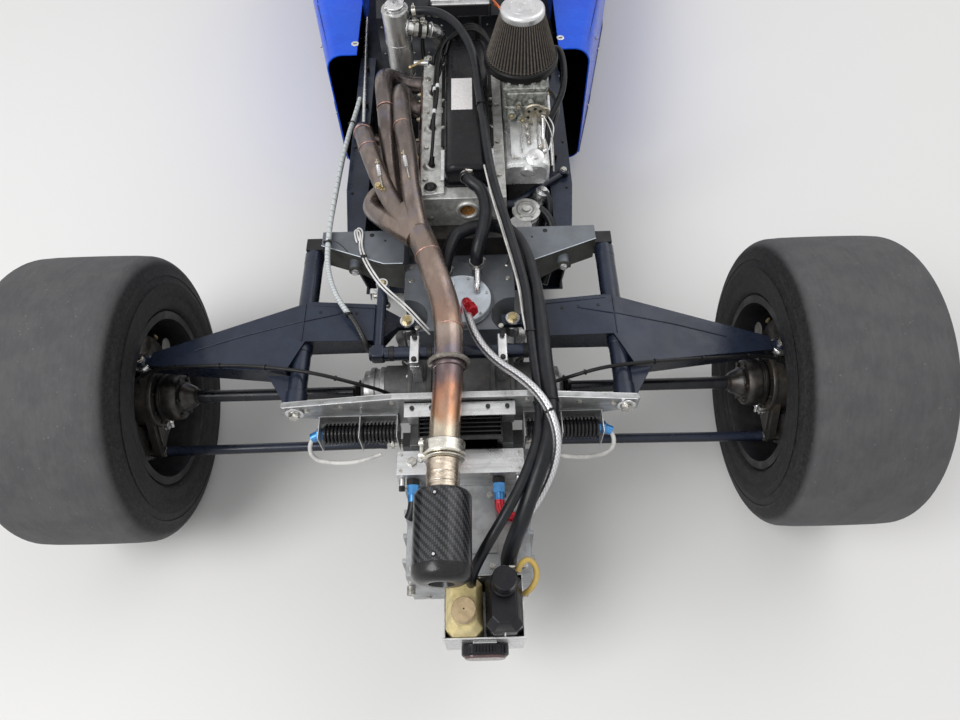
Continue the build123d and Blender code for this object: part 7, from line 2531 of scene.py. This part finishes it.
@dataclass
class FrontCorner:
    """Knuckles with their calipers, the sliding rod with its track rods, and the arms' bearings."""

    kingpin: float = 630.0
    axle_y: float = FRONT_AXLE.y
    axle_z: float = FRONT_AXLE.radius

    def knuckle(self, side: str, sign: int) -> None:
        """One steered upright."""
        form = Form(f"front-upright-{side}").node(f"front_upright_{side}", UPRIGHT_PAINT, 1.2)
        form.paint(CASTING, lambda mid, normal: abs(mid.x) > 632.5 and mid.y < self.axle_y - 82)
        form.finish(f"knuckle_{side}", (f"front_upright_{side}",), "upright")
        form = Form(f"knuckle-details-{side}")
        x, y, z = self.kingpin, self.axle_y, self.axle_z
        for dz in (-26, 26):
            form.caps([(659 - 26, y - 108, z + dz)], LEFT, 4, STEEL, SATIN_BLACK)
            form.caps([(659 + 22, y - 112, z + dz)], RIGHT, 3.4, STEEL, SATIN_BLACK)
        form.lathe([(0, 22), (0, 40), (4, 42), (8, 40), (8, 22)], (x - 14, y, z), LEFT, UPRIGHT_PAINT,
                   44, True)
        for n in range(6):
            turn = math.tau * n / 6
            form.bolts([(x - 22, y + 33 * math.cos(turn), z + 33 * math.sin(turn))], LEFT, 4, STEEL,
                       3)
        form.flipped(sign)
        form.finish(f"knuckle_{side}", (), "upright")

    def rods(self) -> None:
        """Sliding rod and track rod ends."""
        form = Form("track-rods").node("track_rods", DARK_STEEL, 0.0)
        form.finish("steering_rod", ("track_rods",), "steel_dark", sharp=40)
        form = Form("track-rod-details")
        y, z = 2605, 232
        form.rod((586, y, z), (600, y, z), 11.5, STEEL, sides=6)
        form.rod((560, y, z), (584, y, z), 9.6, MACHINED, sides=20)
        form.mirrored()
        form.finish("steering_rod", (), "steel_dark")

    def boots(self) -> None:
        """Seals at the rack's ends, and the joints' bolts on the front arms."""
        form = Form("rack-details")
        for x in (112, 126):
            form.ring((x, 2605, 232), RIGHT, 22.4, 1.6, DARK_STEEL, 36, 8)
        form.bolts([(240, 2452, 397.6), (240, 2548, 397.6)], UP, 6, STEEL)
        form.bolts([(self.kingpin, self.axle_y, 384)], UP, 8, STEEL)
        form.mirrored()
        form.finish(slot="arm_black")

    def build(self) -> None:
        """All front corner pieces."""
        for side, sign in SIDES:
            self.knuckle(side, sign)
        self.rods()
        self.boots()


@dataclass
class SteeringWheel:
    """Suede rimmed wheel on its column."""

    top: Point = (0, 1690, 500)
    foot: Point = (0, 2575, 258)

    def build(self) -> None:
        """Build the piece and its parts."""
        start, end = Vector(self.top), Vector(self.foot)
        run = (end - start).normalized()
        form = Form("steering-wheel")
        form.ring(self.top, tuple(run), 130, 13, SUEDE, 72, 18)
        form.lathe([(-8, 0), (-8, 30), (-6, 32), (6, 32), (8, 30), (8, 0)], self.top, tuple(run),
                   SATIN_BLACK, 44)
        form.lathe([(-9.4, 0), (-9.4, 22), (-8, 24)], self.top, tuple(run), SUEDE, 40)
        side = Vector(RIGHT)
        up = side.cross(run).normalized()
        up = up if up.z > 0 else -up
        for way in (side, -side, -up):
            across = way.cross(run).normalized()
            base, tip = start + way * 28, start + way * 122
            rings = []
            for spot, wide in ((base, 15), (base.lerp(tip, 0.5), 11), (tip, 13)):
                corners = ((1, 1), (-1, 1), (-1, -1), (1, -1))
                rings.append([tuple(spot + across * a * wide + run * b * 3) for a, b in corners])
            form.loft(rings, MACHINED, edge=0.8)
            for part in (0.3, 0.62):
                spot = base.lerp(tip, part) - run * 3
                form.rod(tuple(spot), tuple(spot - run * 0.5), 4.5, SATIN_BLACK, sides=20, edge=0)
        form.strap([tuple(start + up * 130 + side * x - run * 12.6) for x in (-6, 6)], tuple(up), 24, 1.0,
                   RED_ANODISED)
        form.rod(tuple(start + run * 8), tuple(end), 10, GLOSS_BLACK, sides=28)
        form.rod(tuple(start + run * 8), tuple(start + run * 46), 16, DARK_STEEL, 13, 28)
        form.finish("steering_wheel", ("steering_wheel",), "leather", sharp=40)


def main() -> None:
    """Build the car around its frame."""
    logging.basicConfig(level=logging.INFO, format="%(name)s: %(message)s")
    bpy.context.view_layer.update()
    Studio().build()
    Hoses().build()
    HoseFittings().build()
    CarcassPlain().build()
    for axle, finish in ((REAR_AXLE, REAR_RUBBER), (FRONT_AXLE, FRONT_RUBBER)):
        for side, sign in SIDES:
            tyre, rim, body = (f"{part}_{axle.name}_{side}" for part in ("tyre", "rim", "wheel"))
            centre = (sign * axle.half_track, axle.y, axle.radius)
            Tyre(tyre, body, centre, axle.width, axle.radius, finish).build()
            Rim(rim, body, sign, (axle.half_track, axle.y, axle.radius), axle.width).build(axle is FRONT_AXLE)
    DriveLine().build()
    RearCorner().build()
    SpringDampers().build()
    AntiRollBar().build()
    OilTank().build()
    Coolers().build()
    Tail().build()
    Engine().build()
    SwirlPot().build()
    Exhaust().build()
    Sidepods().build()
    Cockpit().build()
    Nose().build()
    FrontCorner().build()
    SteeringWheel().build()


if __name__ == "__main__":
    main()
